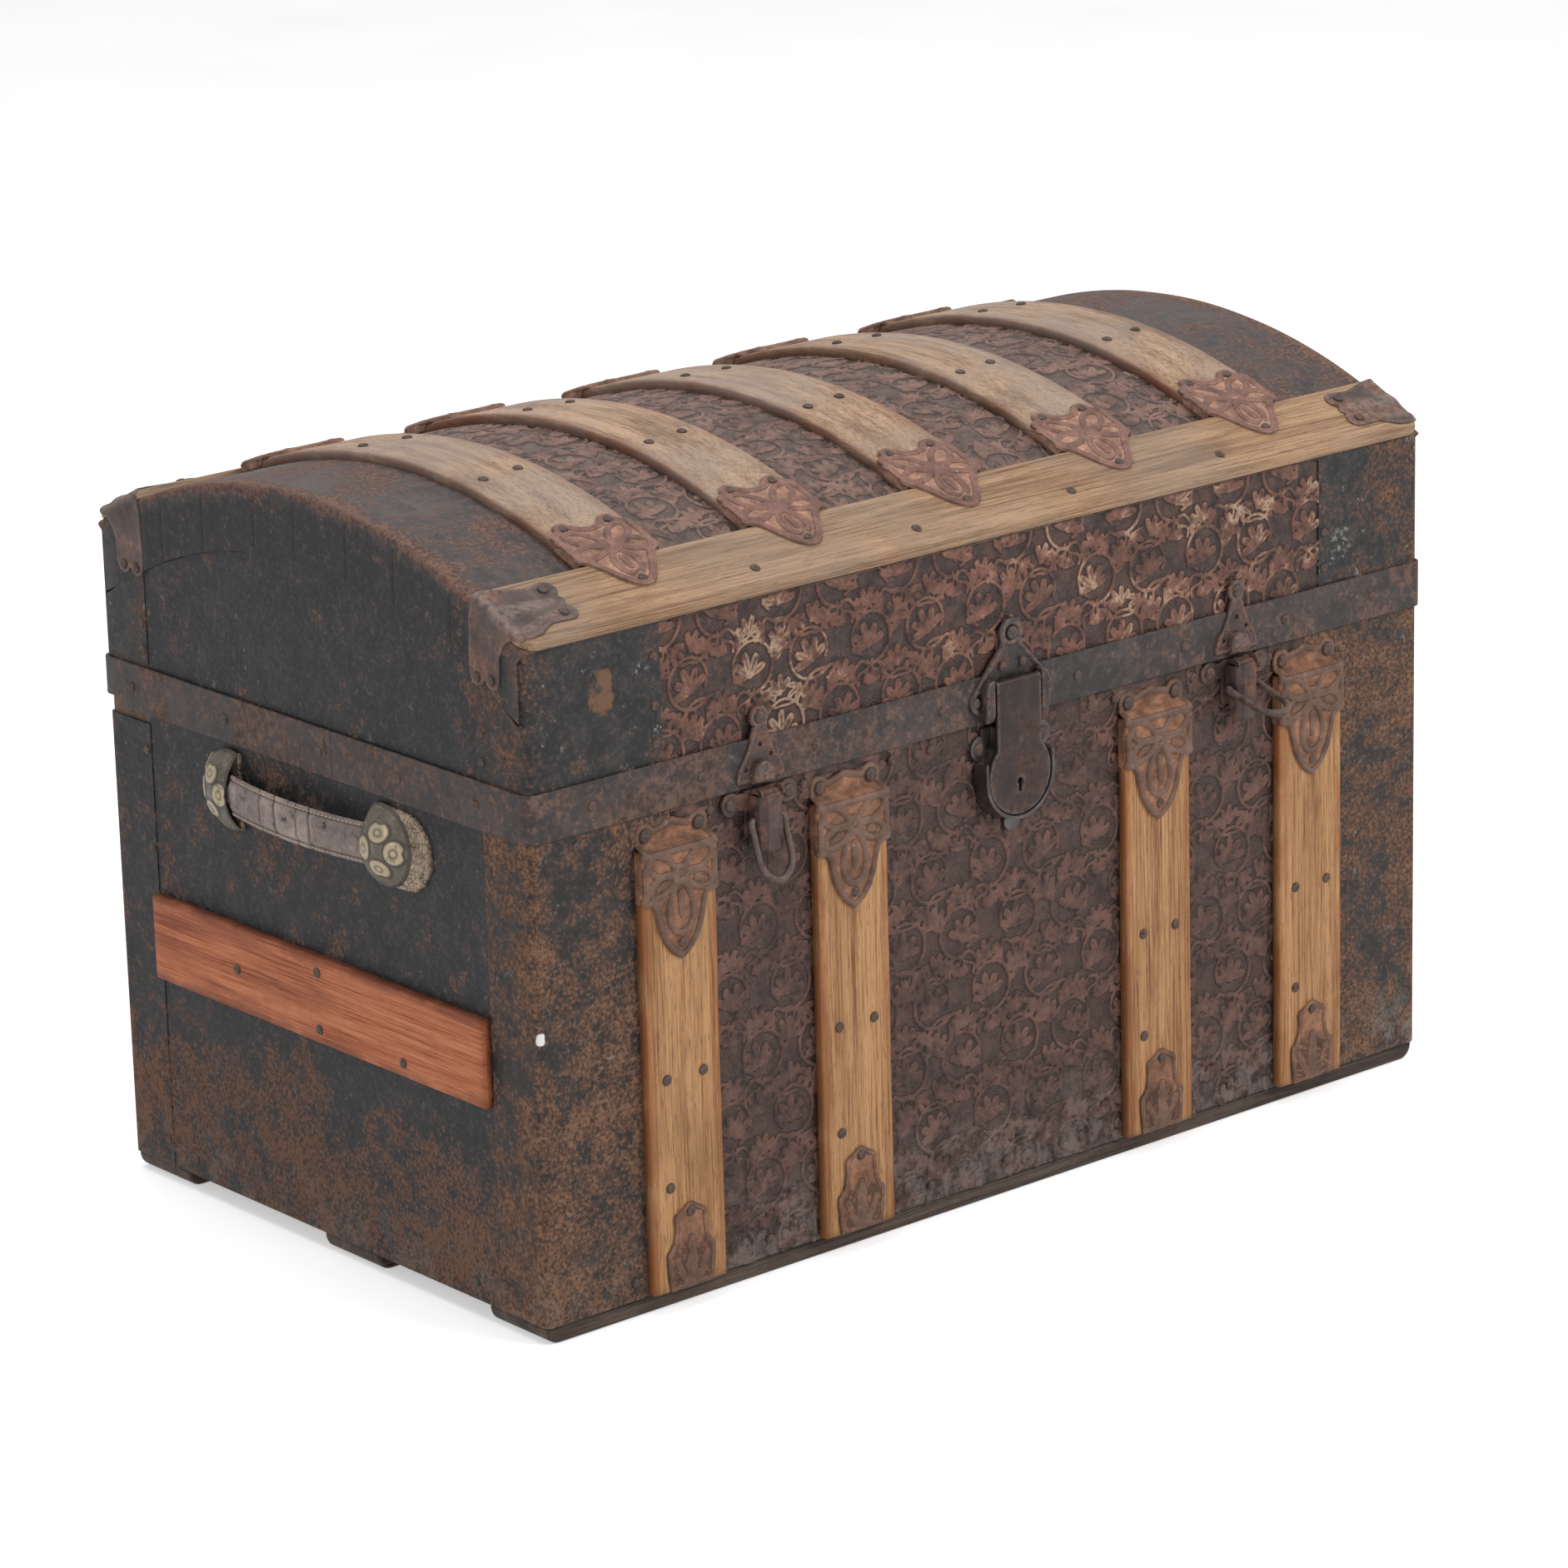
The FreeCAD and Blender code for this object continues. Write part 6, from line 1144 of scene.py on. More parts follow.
def hasp_back_plate():
    """Triangular plate with a rolled rim, two cheeks beside the hasp and its rivets."""
    right = [(20.5, PLATE_FOOT), (26.6, PLATE_FOOT), (26.6, 329)] + arc(26.5, 338.5, 9.5, -75, 45, 9)
    right += [(9.6, 371)] + arc(0, 379, 10, -30, 90, 9)

    def shape(u, v, depth):
        low = level(v, 352, 348) * (np.abs(u) < 19.5)
        rim = hump(depth, 2.0, 4.0) * (1 - low)
        ring = most(*[hump(np.hypot(u - x, v - z), 6.6, 4.2) for x, z in PLATE_RIVETS])
        relief = most(rim, ring * (1 - low))
        across, z = BRASS_RIVET
        brass = most(*[rivet(u, v, side * across, z, 4.6) for side in (1, -1)])
        return 0.9 + relief * 1.7 + brass * 0.9, most(relief, brass * 0.7)

    def cheek(u, v, depth):
        return 6.6 - 2.2 * level(v, 331, 324) ** 2, hump(depth, 0.8, 2.4)

    parts = [pressed([mirrored(right, 0)], shape, on_front(LOCK_X, PLATE_OUT), step=1.0)]
    corners = [(19.9, PLATE_FOOT), (27.2, PLATE_FOOT), (27.2, 346), (25.5, 351)]
    corners += [(22, 352.5), (19.9, 352.5)]
    for side in (LEFT, RIGHT):
        outline = np.array([(side * x, z) for x, z in corners][::side])
        parts.append(pressed([outline], cheek, on_front(LOCK_X, PLATE_OUT + 2.0), step=1.2, radius=1.4))
    piece("hasp_back_plate", parts, "hasp_plate", 55)


def hasp_flap():
    """Smooth flap, rolled round its pin at the top, with a keyhole in its round foot."""
    start = 90 - math.degrees(math.asin(HASP_HALF / HASP_ROUND))
    roll_top = HASP_AXIS_Z + HASP_ROLL * math.radians(165)
    right = arc(0, HASP_ROUND_Z, HASP_ROUND, -90, start, 18)
    right += [(HASP_HALF, HASP_AXIS_Z), (HASP_HALF, roll_top)]
    key = [(1.0, 275.4), (1.0, 280.4)] + arc(0, KEYHOLE_Z, 2.2, -60, 240, 12) + [(-1.0, 280.4), (-1.0, 275.4)]

    def shape(u, v, depth):
        border = hump(depth, 1.2, 2.4)
        head = rivet(u, v, 0, 310, 5.0)
        dish = level(np.hypot(u, v - HASP_ROUND_Z), 17, 23) * (v < 300)
        height = HASP_METAL - 0.35 + head * 0.9 - pitted(u, v, 8, 14) * 0.08
        return height, most(border * 0.8, head * 0.6, dish * 0.15)

    def place(u, v, height):
        turn = np.maximum(v - HASP_AXIS_Z, 0) / HASP_ROLL
        reach = HASP_ROLL - HASP_METAL + height
        out = np.where(turn > 0, HASP_AXIS_OUT + reach * np.cos(turn), HASP_BACK_OUT + height)
        return front_points(LOCK_X + u, out, np.where(turn > 0, HASP_AXIS_Z + reach * np.sin(turn), v))

    flap = pressed([mirrored(right, 1, None), np.array(key)], shape, place, step=1.3, radius=0.8)
    piece("hasp_flap_plate", [flap] + hasp_staple(), "hasp", 50)


def hasp_staple():
    """Loop behind the flap that the lock's bolt goes through."""
    half, tip, wall = 3.2, 3.6, 5.1
    low, eye_low, eye_high, high = 303.0, 305.5, 311.5, 314.0
    parts = []
    spans = ((low, eye_low, HASP_BACK_OUT), (eye_high, high, HASP_BACK_OUT), (eye_low, eye_high, wall))
    for z0, z1, deep in spans:
        corners = ((z0, tip), (z1, tip), (z1, deep), (z0, deep))
        parts.append(sweep_data([[front_points(LOCK_X + x, out, z) for z, out in corners]
                                 for x in (-half, half)]))
    return parts


CATCH_HOLES = ((0, 349.5), (-11.4, 335.0), (8.6, 342.0))
CATCH_HEAD_Z = 367.5
NUB_Z = 332
NUB_RADIUS = 8.2


def latch_catches():
    """Spade plates with a rim, three small holes and a thick nub for the hook."""
    right = [(18.6, 326.5), (19, 328.5), (18.6, 332), (17.2, 336.2), (14.0, 341), (10.6, 346.5), (8.0, 352.5)]
    right += [(6.3, 358.5)] + arc(0, CATCH_HEAD_Z, 7.4, -50, 90, 9)
    holes = [np.array(arc(x, z, 1.5, 0, 360, 11)[:-1]) for x, z in CATCH_HOLES]
    foot = [(NUB_RADIUS, 326.3), (NUB_RADIUS, NUB_Z)] + arc(0, NUB_Z, NUB_RADIUS, 15, 165, 10)
    nub_outline = np.array([(-NUB_RADIUS, 326.3)] + foot + [(-NUB_RADIUS, NUB_Z)])

    def shape(u, v, depth):
        beside_hole = most(*[1.0 * (np.hypot(u - x, v - z) < 4) for x, z in CATCH_HOLES])
        rim = hump(depth, 1.4, 2.8) * (1 - beside_hole)
        ring = hump(np.hypot(u, v - CATCH_HEAD_Z), 4.8, 3.4) * 0.6
        height = 1.5 + most(rim * 0.7, ring) - level(v, 332, 327) * 0.4 + pitted(u, v, 4, 6) * 0.08
        return height, most(rim * 0.5, ring)

    def nub(u, v, depth):
        dome = np.clip(1 - np.hypot(u, v - NUB_Z) / 13, 0, 1)
        return 4.6 + dome * 1.3, 0.25 + dome * 0.35

    parts = []
    for x in LATCH_X.values():
        parts.append(pressed([mirrored(right, 0)] + holes, shape, on_front(x, PLATE_OUT), step=0.9))
        parts.append(pressed([nub_outline], nub, on_front(x, PLATE_OUT + 1.4), step=1.0, radius=1.6))
    piece("latch_catch_plates", parts, "latch_catches", 55)


# ---------------------------------------------------------------- dome covers with their tucked flange
COVER_FROM = {LEFT: 267.0, RIGHT: 261.0}
COVER_TOP_Y = 221.6
COVER_FLANGE_Y = 216.0
COVER_BEND = 2.4
FLANGE_DEPTH = 42.0
TUCKS = (-158.0, -101.0, -52.0, 3.0, 47.0, 104.0, 151.0)
PLEAT_ENDS = (-175.0, *TUCKS, 175.0)
TUCK_STEPS = (-1.2, -0.5, 0, 0.4, 1.5)


def dome_end_cover(side, inner):
    """Sheet over one end of the dome, rolled over the edge and tucked down the end."""
    face = HALF_LENGTH + SKIN
    bend_start = face - COVER_BEND
    flat = np.linspace(inner, bend_start, 34)
    turns = np.linspace(0, math.pi / 2, 6)[1:]
    downs = np.linspace(1.5, FLANGE_DEPTH + SKIN - COVER_BEND, 22)
    xs = np.concatenate([flat, bend_start + COVER_BEND * np.sin(turns), np.full(len(downs), face)])
    foot = SKIN - COVER_BEND
    offsets = np.concatenate([np.full(len(flat), SKIN), foot + COVER_BEND * np.cos(turns), foot - downs])
    rows = np.linspace(-1, 1, 120) * COVER_TOP_Y
    ys = np.unique(np.concatenate([rows] + [[tuck + step for step in TUCK_STEPS] for tuck in TUCKS]))
    y, x = np.meshgrid(ys, xs, indexing="ij")
    offset = np.broadcast_to(offsets, y.shape)
    fall = np.clip(-offset / FLANGE_DEPTH, 0, 1)
    pleat = np.zeros_like(y)
    for start, end in zip(PLEAT_ENDS, PLEAT_ENDS[1:]):
        pleat = np.where((y >= start) & (y < end), (y - start) / (end - start), pleat)
    tucked = level(fall, 0.06, 0.18)
    slit = most(*[np.exp(-((y - tuck - 0.3) / 1.1) ** 2) for tuck in TUCKS]) * tucked
    lift = (pleat ** 2 * 1.7 - slit * 0.8) * tucked
    sag = pitted(x, y, 12, 60) * 0.35 * (offset > 0)
    wear = np.exp(-((offset - SKIN + 1) / 3.5) ** 2) * level(x, face - 14, face - 4)
    y = y * (1 - (1 - COVER_FLANGE_Y / COVER_TOP_Y) * np.clip(fall * 6, 0, 1))
    top = np.stack([side * (x + lift), y, dome_top(y, offset + np.minimum(sag, 0))], -1)
    deep = np.minimum(offset, 0.0)
    under_z = dome_top(y, np.minimum(deep, np.maximum(offset - SKIN, deep)))
    under = np.stack([side * np.minimum(x, HALF_LENGTH), y, under_z], -1)
    dark = level(fall, 0.02, 0.24) * level(np.abs(y), COVER_FLANGE_Y, COVER_FLANGE_Y - 14)
    # The slit values also paint near-black shade into the slits of the tucks.
    return shell_data(top, under, {"wear": wear, "slit": slit ** 0.5 * 0.9, "fall": dark})


def dome_end_covers():
    parts = [dome_end_cover(side, inner) for side, inner in COVER_FROM.items()]
    piece("dome_covers", parts, "dome_end_covers", 40)


# ---------------------------------------------------------------- end handles
CAP_BALL = 35.0
CAP_BALL_X = 360.5
CAP_RADIUS = 28.0
CAP_FROM_MOUTH = 10.0
CAP_BOSS = 7.0
HEART_REACH = 11.8
HEART_SIZE = (8.0, 10.2)
HEART_NOTCH = 4.2
PAD_HALF = 25.5
PAD_SHIFTS = {FRONT: 20.0, BACK: 4.0}
PAD_SEAM = 22.2
STRAP_HALF = 70.9
STRAP_AXIS = 388.0
STRAP_BOW = 7.0
STRAP_WIDE = 27.0
STRAP_THICK = 5.0
STRAP_SEAM = 11.4
STRAP_CREASES = ((-22, 0.9), (-9, 0.6), (14, 1.1), (31, 0.6))


def stitch(middle, along, across, length, radius):
    """Small stitch lying along a direction, half sunk."""
    along, across = np.asarray(along, float), np.asarray(across, float)
    up = np.cross(along, across)
    turns = np.arange(6) * math.pi / 3
    round_way = np.outer(np.cos(turns), across) + np.outer(np.sin(turns), up)
    rings = []
    for share in (-1.0, -0.8, -0.3, 0.3, 0.8, 1.0):
        size = radius * math.sqrt(max(1 - share ** 4, 0.05))
        rings.append(middle + along * share * length / 2 + size * round_way)
    return sweep_data(rings)


def cap_outline():
    """Round cap cut straight at its mouth; v runs from the strap outward."""
    angle = math.degrees(math.asin(CAP_FROM_MOUTH / CAP_RADIUS))
    return np.array(arc(0, 0, CAP_RADIUS, -angle, 180 + angle, 34))


def cap_shape(u, v, depth):
    """Four ribbed heart lobes round a cross, inside a plain border."""
    long, wide = HEART_SIZE
    lobes = np.zeros_like(u)
    for quarter in range(4):
        a, b = turned(u, v - CAP_BOSS, math.pi / 2 * quarter)
        a = a - HEART_REACH
        away = np.hypot(a / long, b / wide)
        dent = np.clip(2.0 * (1 - np.hypot(a - long, b) / HEART_NOTCH), 0, 1)
        heart = np.clip(np.clip(3.5 * (1 - away), 0, 1) - dent, 0, 1)
        lobes = np.maximum(lobes, heart * (0.80 + 0.20 * np.cos(away * 11.5)))
    relief = most(lobes, hump(depth, 1.3, 2.2) * 0.45)
    return 0.4 + relief, relief


def cap_middle(face):
    return HANDLE_Y + face * (HANDLE_MOUTH + CAP_FROM_MOUTH)


def handle_caps():
    parts = []
    for side in (LEFT, RIGHT):
        for face in (FRONT, BACK):
            def place(u, v, height):
                ball = np.sqrt(np.maximum(CAP_BALL ** 2 - u ** 2 - v ** 2, 0))
                scale = 1 + (height - 1.2) / CAP_BALL
                x = side * (CAP_BALL_X + ball * scale)
                return np.stack([x, cap_middle(face) + face * v * scale, HANDLE_Z + u * scale], -1)
            parts.append(pressed([cap_outline()], cap_shape, place, step=0.9, radius=0.4))
    piece("handle_brass_caps", parts, "handle_caps", 50)


def pad_outline(shift, seed):
    """Ragged leather: straight at the mouth, rounded beyond the cap."""
    draw = np.random.default_rng(seed)
    mouth = [(-PAD_HALF, -CAP_FROM_MOUTH), (PAD_HALF, -CAP_FROM_MOUTH)]
    loop = resampled(np.array(mouth + arc(0, shift, PAD_HALF, 0, 180, 40)), 1.6)
    away = loop - (0, shift * 0.6)
    away = away / np.linalg.norm(away, axis=1, keepdims=True)
    ragged = draw.uniform(-0.9, 0.5, len(loop)) * (loop[:, 1] > -6)
    return loop + away * ragged[:, None]


def handle_pads():
    parts, threads = [], []
    for side in (LEFT, RIGHT):
        for number, (face, shift) in enumerate(PAD_SHIFTS.items()):
            def place(u, v, height):
                x = side * (HALF_LENGTH + END_SKIN + height)
                return np.stack([x, cap_middle(face) + face * v, HANDLE_Z + u], -1)

            def shape(u, v, depth):
                groove = hump(depth, 3.4, 1.6) * 0.5
                return 2.3 - groove + pitted(u, v, number + 40, 2.5) * 0.35, 1 - groove

            parts.append(pressed([pad_outline(shift, number + 3)], shape, place, step=1.2, radius=0.6))
            for turn in np.radians(np.arange(2, 180, 7.5)):
                u, v = PAD_SEAM * math.cos(turn), shift + PAD_SEAM * math.sin(turn)
                along = (0, -face * math.cos(turn), math.sin(turn))
                threads.append(stitch(place(u, v, 1.9), along, (side, 0, 0), 2.3, 0.55))
    piece("handle_leather_pads", parts, "handle_pads", 50)
    piece("pad_stitches", threads, "handle_pads", look="thread")


def strap_place(side, along, across, out):
    """A point of the bowed strap: along it, across it and out from its middle layer."""
    bow = (STRAP_HALF ** 2 + STRAP_BOW ** 2) / (2 * STRAP_BOW)
    radius = bow + out
    turn = along / bow
    x = side * (STRAP_AXIS + STRAP_BOW - bow + radius * np.cos(turn))
    return np.stack(np.broadcast_arrays(x, HANDLE_Y + radius * np.sin(turn), HANDLE_Z + across), -1)


def strap_skin(side):
    """Padded strap: thin stitched edges, a raised middle, creases across it."""
    half, places = STRAP_WIDE / 2, 27
    across = np.concatenate([np.linspace(-half, half, places), np.linspace(half, -half, places)])
    outer = np.arange(2 * places) < places
    inset = np.abs(across) / half
    profile = np.where(outer, 1.1 + 1.3 * level(inset, 0.70, 0.54) ** 0.7, -1.6)
    profile = profile * np.sqrt(np.clip(1 - level(inset, 0.93, 1.0005) ** 2, 0.02, 1))
    seam = np.exp(-((inset - 0.76) / 0.04) ** 2) * outer
    rings, dirt = [], []
    for along in np.linspace(-STRAP_HALF, STRAP_HALF, 150):
        fold = sum(np.exp(-((along - place - 0.08 * across) / wide) ** 2)
                   for place, wide in STRAP_CREASES) * outer
        wave = pitted(across, np.full_like(across, along), 9, 7) * 0.22
        out = profile - fold * 0.7 - seam * 0.3 + np.minimum(wave, 0.1) * outer
        rings.append(strap_place(side, along, across, np.minimum(out, STRAP_THICK / 2)))
        # dirt: darkness in the creases and the seam groove, dirt together with painted shade
        dirt.append(np.clip(fold + seam * 0.8, 0, 1))
    return sweep_data(rings, {"dirt": dirt})


def strap_tongue(side, face):
    """Narrow end of the strap inside a cap."""
    rise, deep, start, end = 5.5, 2.0, STRAP_HALF - 2.0, STRAP_HALF + 12.6
    corners = ((-rise, -deep), (rise, -deep), (rise, deep), (-rise, deep))
    return sweep_data([[(side * (STRAP_AXIS + d), HANDLE_Y + face * along, HANDLE_Z + r) for r, d in corners]
                       for along in (start, end)])


def handle_straps():
    for name, side in (("left", LEFT), ("right", RIGHT)):
        node = "handle_strap_" + name
        parts = [strap_skin(side), strap_tongue(side, FRONT), strap_tongue(side, BACK)]
        piece(node + "_leather", parts, node, 50)
        threads = []
        for along in np.arange(-STRAP_HALF + 4, STRAP_HALF - 3, 3.6):
            for across in (-STRAP_SEAM, STRAP_SEAM):
                spot = strap_place(side, along, across, 1.05)
                threads.append(stitch(spot, (0, 1, 0), (side, 0, 0), 2.5, 0.5))
        piece(node + "_stitches", threads, node, look="thread")


# ---------------------------------------------------------------- latch levers and bails
LEVER_AXIS_Z = 320.0
LEVER_AXIS_OUT = 12.5
LEVER_HALF = 9.4
LEVER_WALL = 1.5
LEVER_BARREL = 4.5
LEVER_PANEL = 4.6
LEVER_SLOPE = 3.2
LEVER_STATIONS = (  # height, back and front of the channel
    (281.5, 11.4, 14.4), (282.5, 10.6, 15.9), (285, 9.6, 16.9), (291, 7.8, 17.2), (300.3, 4.3, 17.2),
    (308, 4.3, 17.2), (316.9, 4.3, 17.2), (319.2, 7.4, 17.0), (320.4, 8.1, 16.6),
)
BAIL_AXIS_OUT = 10.0
BAIL_AXIS_Z = 304.0
BAIL_HALF = 13.0
BAIL_REACH = 39.3
BAIL_SWING = {"left": 17.0, "right": 74.0}
BAIL_WIRE = 2.5
BAIL_STUB = 1.6


def lever_ring(x, z, back, front):
    """Channel section open to the back, with a raised panel along its front."""
    shoulder = front - LEVER_SLOPE
    hollow = shoulder - 1.0
    outer = [(LEVER_PANEL, front), (LEVER_PANEL + 0.6, front - 0.9), (LEVER_HALF - 0.8, shoulder + 1.0),
             (LEVER_HALF, shoulder), (LEVER_HALF, back)]
    inner = [(LEVER_HALF - LEVER_WALL, back), (LEVER_HALF - LEVER_WALL, hollow), (LEVER_PANEL, front - 1.9)]
    ring = [(-u, out) for u, out in reversed(outer)] + outer
    ring += inner + [(-u, out) for u, out in reversed(inner)]
    return [front_points(x + u, out, z) for u, out in ring]


def lever_ear(x, side):
    """Round end of one side wall, about the pin."""
    ring = arc(LEVER_AXIS_OUT, LEVER_AXIS_Z, LEVER_BARREL, -10, 190, 14)
    return sweep_data([[front_points(x + side * u, out, z) for out, z in ring]
                       for u in (LEVER_HALF - LEVER_WALL, LEVER_HALF)])


def latch_levers():
    for name, x in LATCH_X.items():
        node = "latch_lever_" + name
        body = sweep_data([lever_ring(x, *station) for station in LEVER_STATIONS])
        piece(node + "_channel", [body, lever_ear(x, LEFT), lever_ear(x, RIGHT)], node, 40)


def bail_path():
    """The loop as it hangs, from pivot to pivot: across, down, wire radius."""
    straight = BAIL_REACH - BAIL_HALF - 2.0
    half = [(7.8, 0.0, BAIL_STUB), (9.6, 0.0, BAIL_STUB), (11.6, 0.1, 2.2), (12.9, 1.0, 2.5)]
    half += [(BAIL_HALF + 0.2, 3.4, 2.4)] + [(BAIL_HALF, down, 2.2) for down in np.linspace(9.5, straight, 5)]
    for angle in np.linspace(0, math.pi / 2, 10)[1:]:
        down = straight + (BAIL_REACH - straight) * math.sin(angle)
        half.append((BAIL_HALF * math.cos(angle), down, BAIL_WIRE - 0.3 * math.cos(angle)))
    return np.array(half + [(-u, down, size) for u, down, size in reversed(half[:-1])])


def latch_bails():
    """Forged loop whose ends turn in through the lever's sides."""
    path = bail_path()
    ahead = np.gradient(path[:, :2], axis=0)
    ahead /= np.linalg.norm(ahead, axis=1, keepdims=True)
    turns = np.radians(np.arange(0, 360, 30))
    for name, x in LATCH_X.items():
        swing = math.radians(BAIL_SWING[name])
        down_way = np.array((0, -math.sin(swing), -math.cos(swing)))
        out_way = np.array((0, -math.cos(swing), math.sin(swing)))
        rings = []
        for (u, down, size), (turn_u, turn_down) in zip(path, ahead):
            middle = front_points(x + u, BAIL_AXIS_OUT, BAIL_AXIS_Z) + down_way * down
            side = np.array((-turn_down, 0, 0)) + down_way * turn_u
            rings.append(middle + size * (np.outer(np.cos(turns), side) + np.outer(np.sin(turns), out_way)))
        # relief: rubbed metal all round the wire, and a painted highlight on its outward side
        relief = np.tile(0.25 + 0.45 * np.maximum(np.sin(turns), 0), (len(rings), 1))
        node = "latch_bail_" + name
        piece(node + "_loop", [sweep_data(rings, {"relief": relief})], node, 50)


# ---------------------------------------------------------------- corner caps
SHOULDER_FRONT = 223.4
SHOULDER_END = 380.1
SHOULDER_ROUND = 12.0
SHOULDER_FOOT_Z = SHOULDER + (HALF_DEPTH - SHOULDER_FRONT) * SHOULDER_SLOPE + SKIN * SLOPE_LENGTH
CAP_BEND = 2.6
LEAF_LOBE = 7


def on_slope(y, z):
    """Place of a point on the end face in the cap's own sheet: turned over the end, and up the slope."""
    dy, dz = SHOULDER_FRONT - y, z - SHOULDER_FOOT_Z
    up = dy * math.cos(SLOPE_ANGLE) + dz * math.sin(SLOPE_ANGLE)
    down = dy * math.sin(SLOPE_ANGLE) - dz * math.cos(SLOPE_ANGLE) + SHOULDER_THICK - CAP_BEND
    return -(CAP_BEND * math.pi / 2 + down), up


def corner_cap_outline():
    """Scalloped tab on the slat, then over its end and down in a leaf with two lobes."""
    tab = [(-2, 6.0), (6, 5.2), (14, 6.6), (20, 9.6), (24, 12.2), (29, 13.6), (36, 13.2)]
    tab += arc(43, 20.4, 7.4, -95, 50, 8) + arc(43.5, 31.4, 5.0, -55, 55, 5) + arc(43, 42.5, 7.4, -45, 110, 8)
    tab += [(36, 49.0), (28, 48.2), (20, 50), (10, 53.4), (-2, 54.8)]
    leaf = [(171.8, 456.5), (171.6, 446), (170.8, 436), (170.6, 428)]
    for y, degrees in ((178.0, (10, 50, 90, 130, 160)), (192.6, (20, 50, 90, 130, 175))):
        leaf += [(y - LEAF_LOBE * math.cos(a), 421 - LEAF_LOBE * math.sin(a)) for a in np.radians(degrees)]
    leaf += [(200.2, 430), (200.6, 436), (203.5, 441.5), (207.0, 446.0), (210.5, 448.0)]
    return np.array(tab + [on_slope(y, z) for y, z in leaf])


def corner_caps():
    def shape(u, v, depth):
        # fold: a colour-only line along the bend over the slat's end, rubbed metal with a painted highlight
        # along it
        fold = np.exp(-((u + 2) / 3.0) ** 2)
        spine = stroke(u, v, [(2, 30), (22, 31), (38, 31)], (17, 8)) * 0.8
        brow = stroke(u, v, [(0, 12), (12, 14), (26, 20), (38, 21)], (8, 5)) * 0.5
        rim = hump(depth, 1.6, 3.2) * 0.35
        height = 1.1 + most(spine * 1.2, brow, rim) + pitted(u, v, 15, 6) * 0.25
        return height, most(fold, spine, brow, rim) * 0.9

    def settle(side, face):
        cosine, sine = math.cos(SLOPE_ANGLE), math.sin(SLOPE_ANGLE)

        def place(u, v, height):
            near_corner = np.clip(SHOULDER_ROUND - v, 0, SHOULDER_ROUND)
            inset = SHOULDER_ROUND - np.sqrt(SHOULDER_ROUND ** 2 - near_corner ** 2)
            inset = inset * np.clip((v - 2) / 6, 0.6, 1)
            angle = np.clip(-u / CAP_BEND, 0, math.pi / 2)
            past = np.maximum(-u - CAP_BEND * math.pi / 2, 0)
            reach = CAP_BEND + height
            x = SHOULDER_END - CAP_BEND - inset - np.maximum(u, 0) + reach * np.sin(angle)
            rise = SHOULDER_THICK - CAP_BEND + reach * np.cos(angle) - past
            y = SHOULDER_FRONT - v * cosine + rise * sine
            return np.stack([side * x, face * y, SHOULDER_FOOT_Z + v * sine + rise * cosine], -1)
        return place

    parts = [pressed([corner_cap_outline()], shape, settle(side, face), step=0.9, radius=0.6)
             for side in (LEFT, RIGHT) for face in (FRONT, BACK)]
    piece("slat_corner_caps", parts, "corner_caps", 55)


# ---------------------------------------------------------------- nail heads
# The last column is rubbed metal and, at the ring near the shoulder, a painted highlight.
HEAD_RINGS = (  # share of the radius, share of the height, how rubbed
    (1.0, -0.3, 0.0), (1.0, 0.12, 0.1), (0.93, 0.42, 0.5),
    (0.78, 0.72, 0.9), (0.52, 0.93, 0.6), (0.24, 1.0, 0.5),
)
HEAD_SIDES = 14
HEAD_LEAST_RADIUS = 3.1
HEAD_LEAST_HEIGHT = 1.5


def loose_parts(mesh):
    """Points of each separate solid in a mesh, in mm."""
    made = bmesh.new()
    made.from_mesh(mesh)
    bmesh.ops.remove_doubles(made, verts=made.verts, dist=WELD)
    parts, seen = [], set()
    for first in made.verts:
        if first in seen:
            continue
        seen.add(first)
        group, queue = [], [first]
        while queue:
            vert = queue.pop()
            group.append(tuple(vert.co))
            fresh = [edge.other_vert(vert) for edge in vert.link_edges]
            fresh = [other for other in fresh if other not in seen]
            seen.update(fresh)
            queue += fresh
        parts.append(np.array(group) / MM)
    made.free()
    return parts


def nail_head(points):
    """Round hammered head in the place of a plain one."""
    middle = points.mean(0)
    flat = np.linalg.svd(points - middle)[2]
    out = flat[2] * (1 if flat[2] @ (middle - (0, 0, SEAM / 2)) > 0 else -1)
    along = flat[0]
    across = np.cross(out, along)
    levels = (points - middle) @ out
    radius = max(np.linalg.norm(points - middle - np.outer(levels, out), axis=1).max(), HEAD_LEAST_RADIUS)
    height = max(levels.max() - levels.min(), HEAD_LEAST_HEIGHT)
    foot = middle + out * levels.min()
    turns = np.linspace(0, 2 * math.pi, HEAD_SIDES, endpoint=False)
    round_way = np.outer(np.cos(turns), along) + np.outer(np.sin(turns), across)
    rings = [foot + out * height * rise + radius * share * round_way for share, rise, rubbed in HEAD_RINGS]
    # relief: rubbed metal on the head, with a painted highlight ring round its shoulder
    relief = [[rubbed] * HEAD_SIDES for share, rise, rubbed in HEAD_RINGS]
    return sweep_data(rings, {"relief": relief})


def nail_heads():
    for node in ("body_nails", "lid_nails"):
        heads = [nail_head(points) for points in loose_parts(frame["nodes"][node].data)]
        piece(node + "_hammered", heads, node, 60)


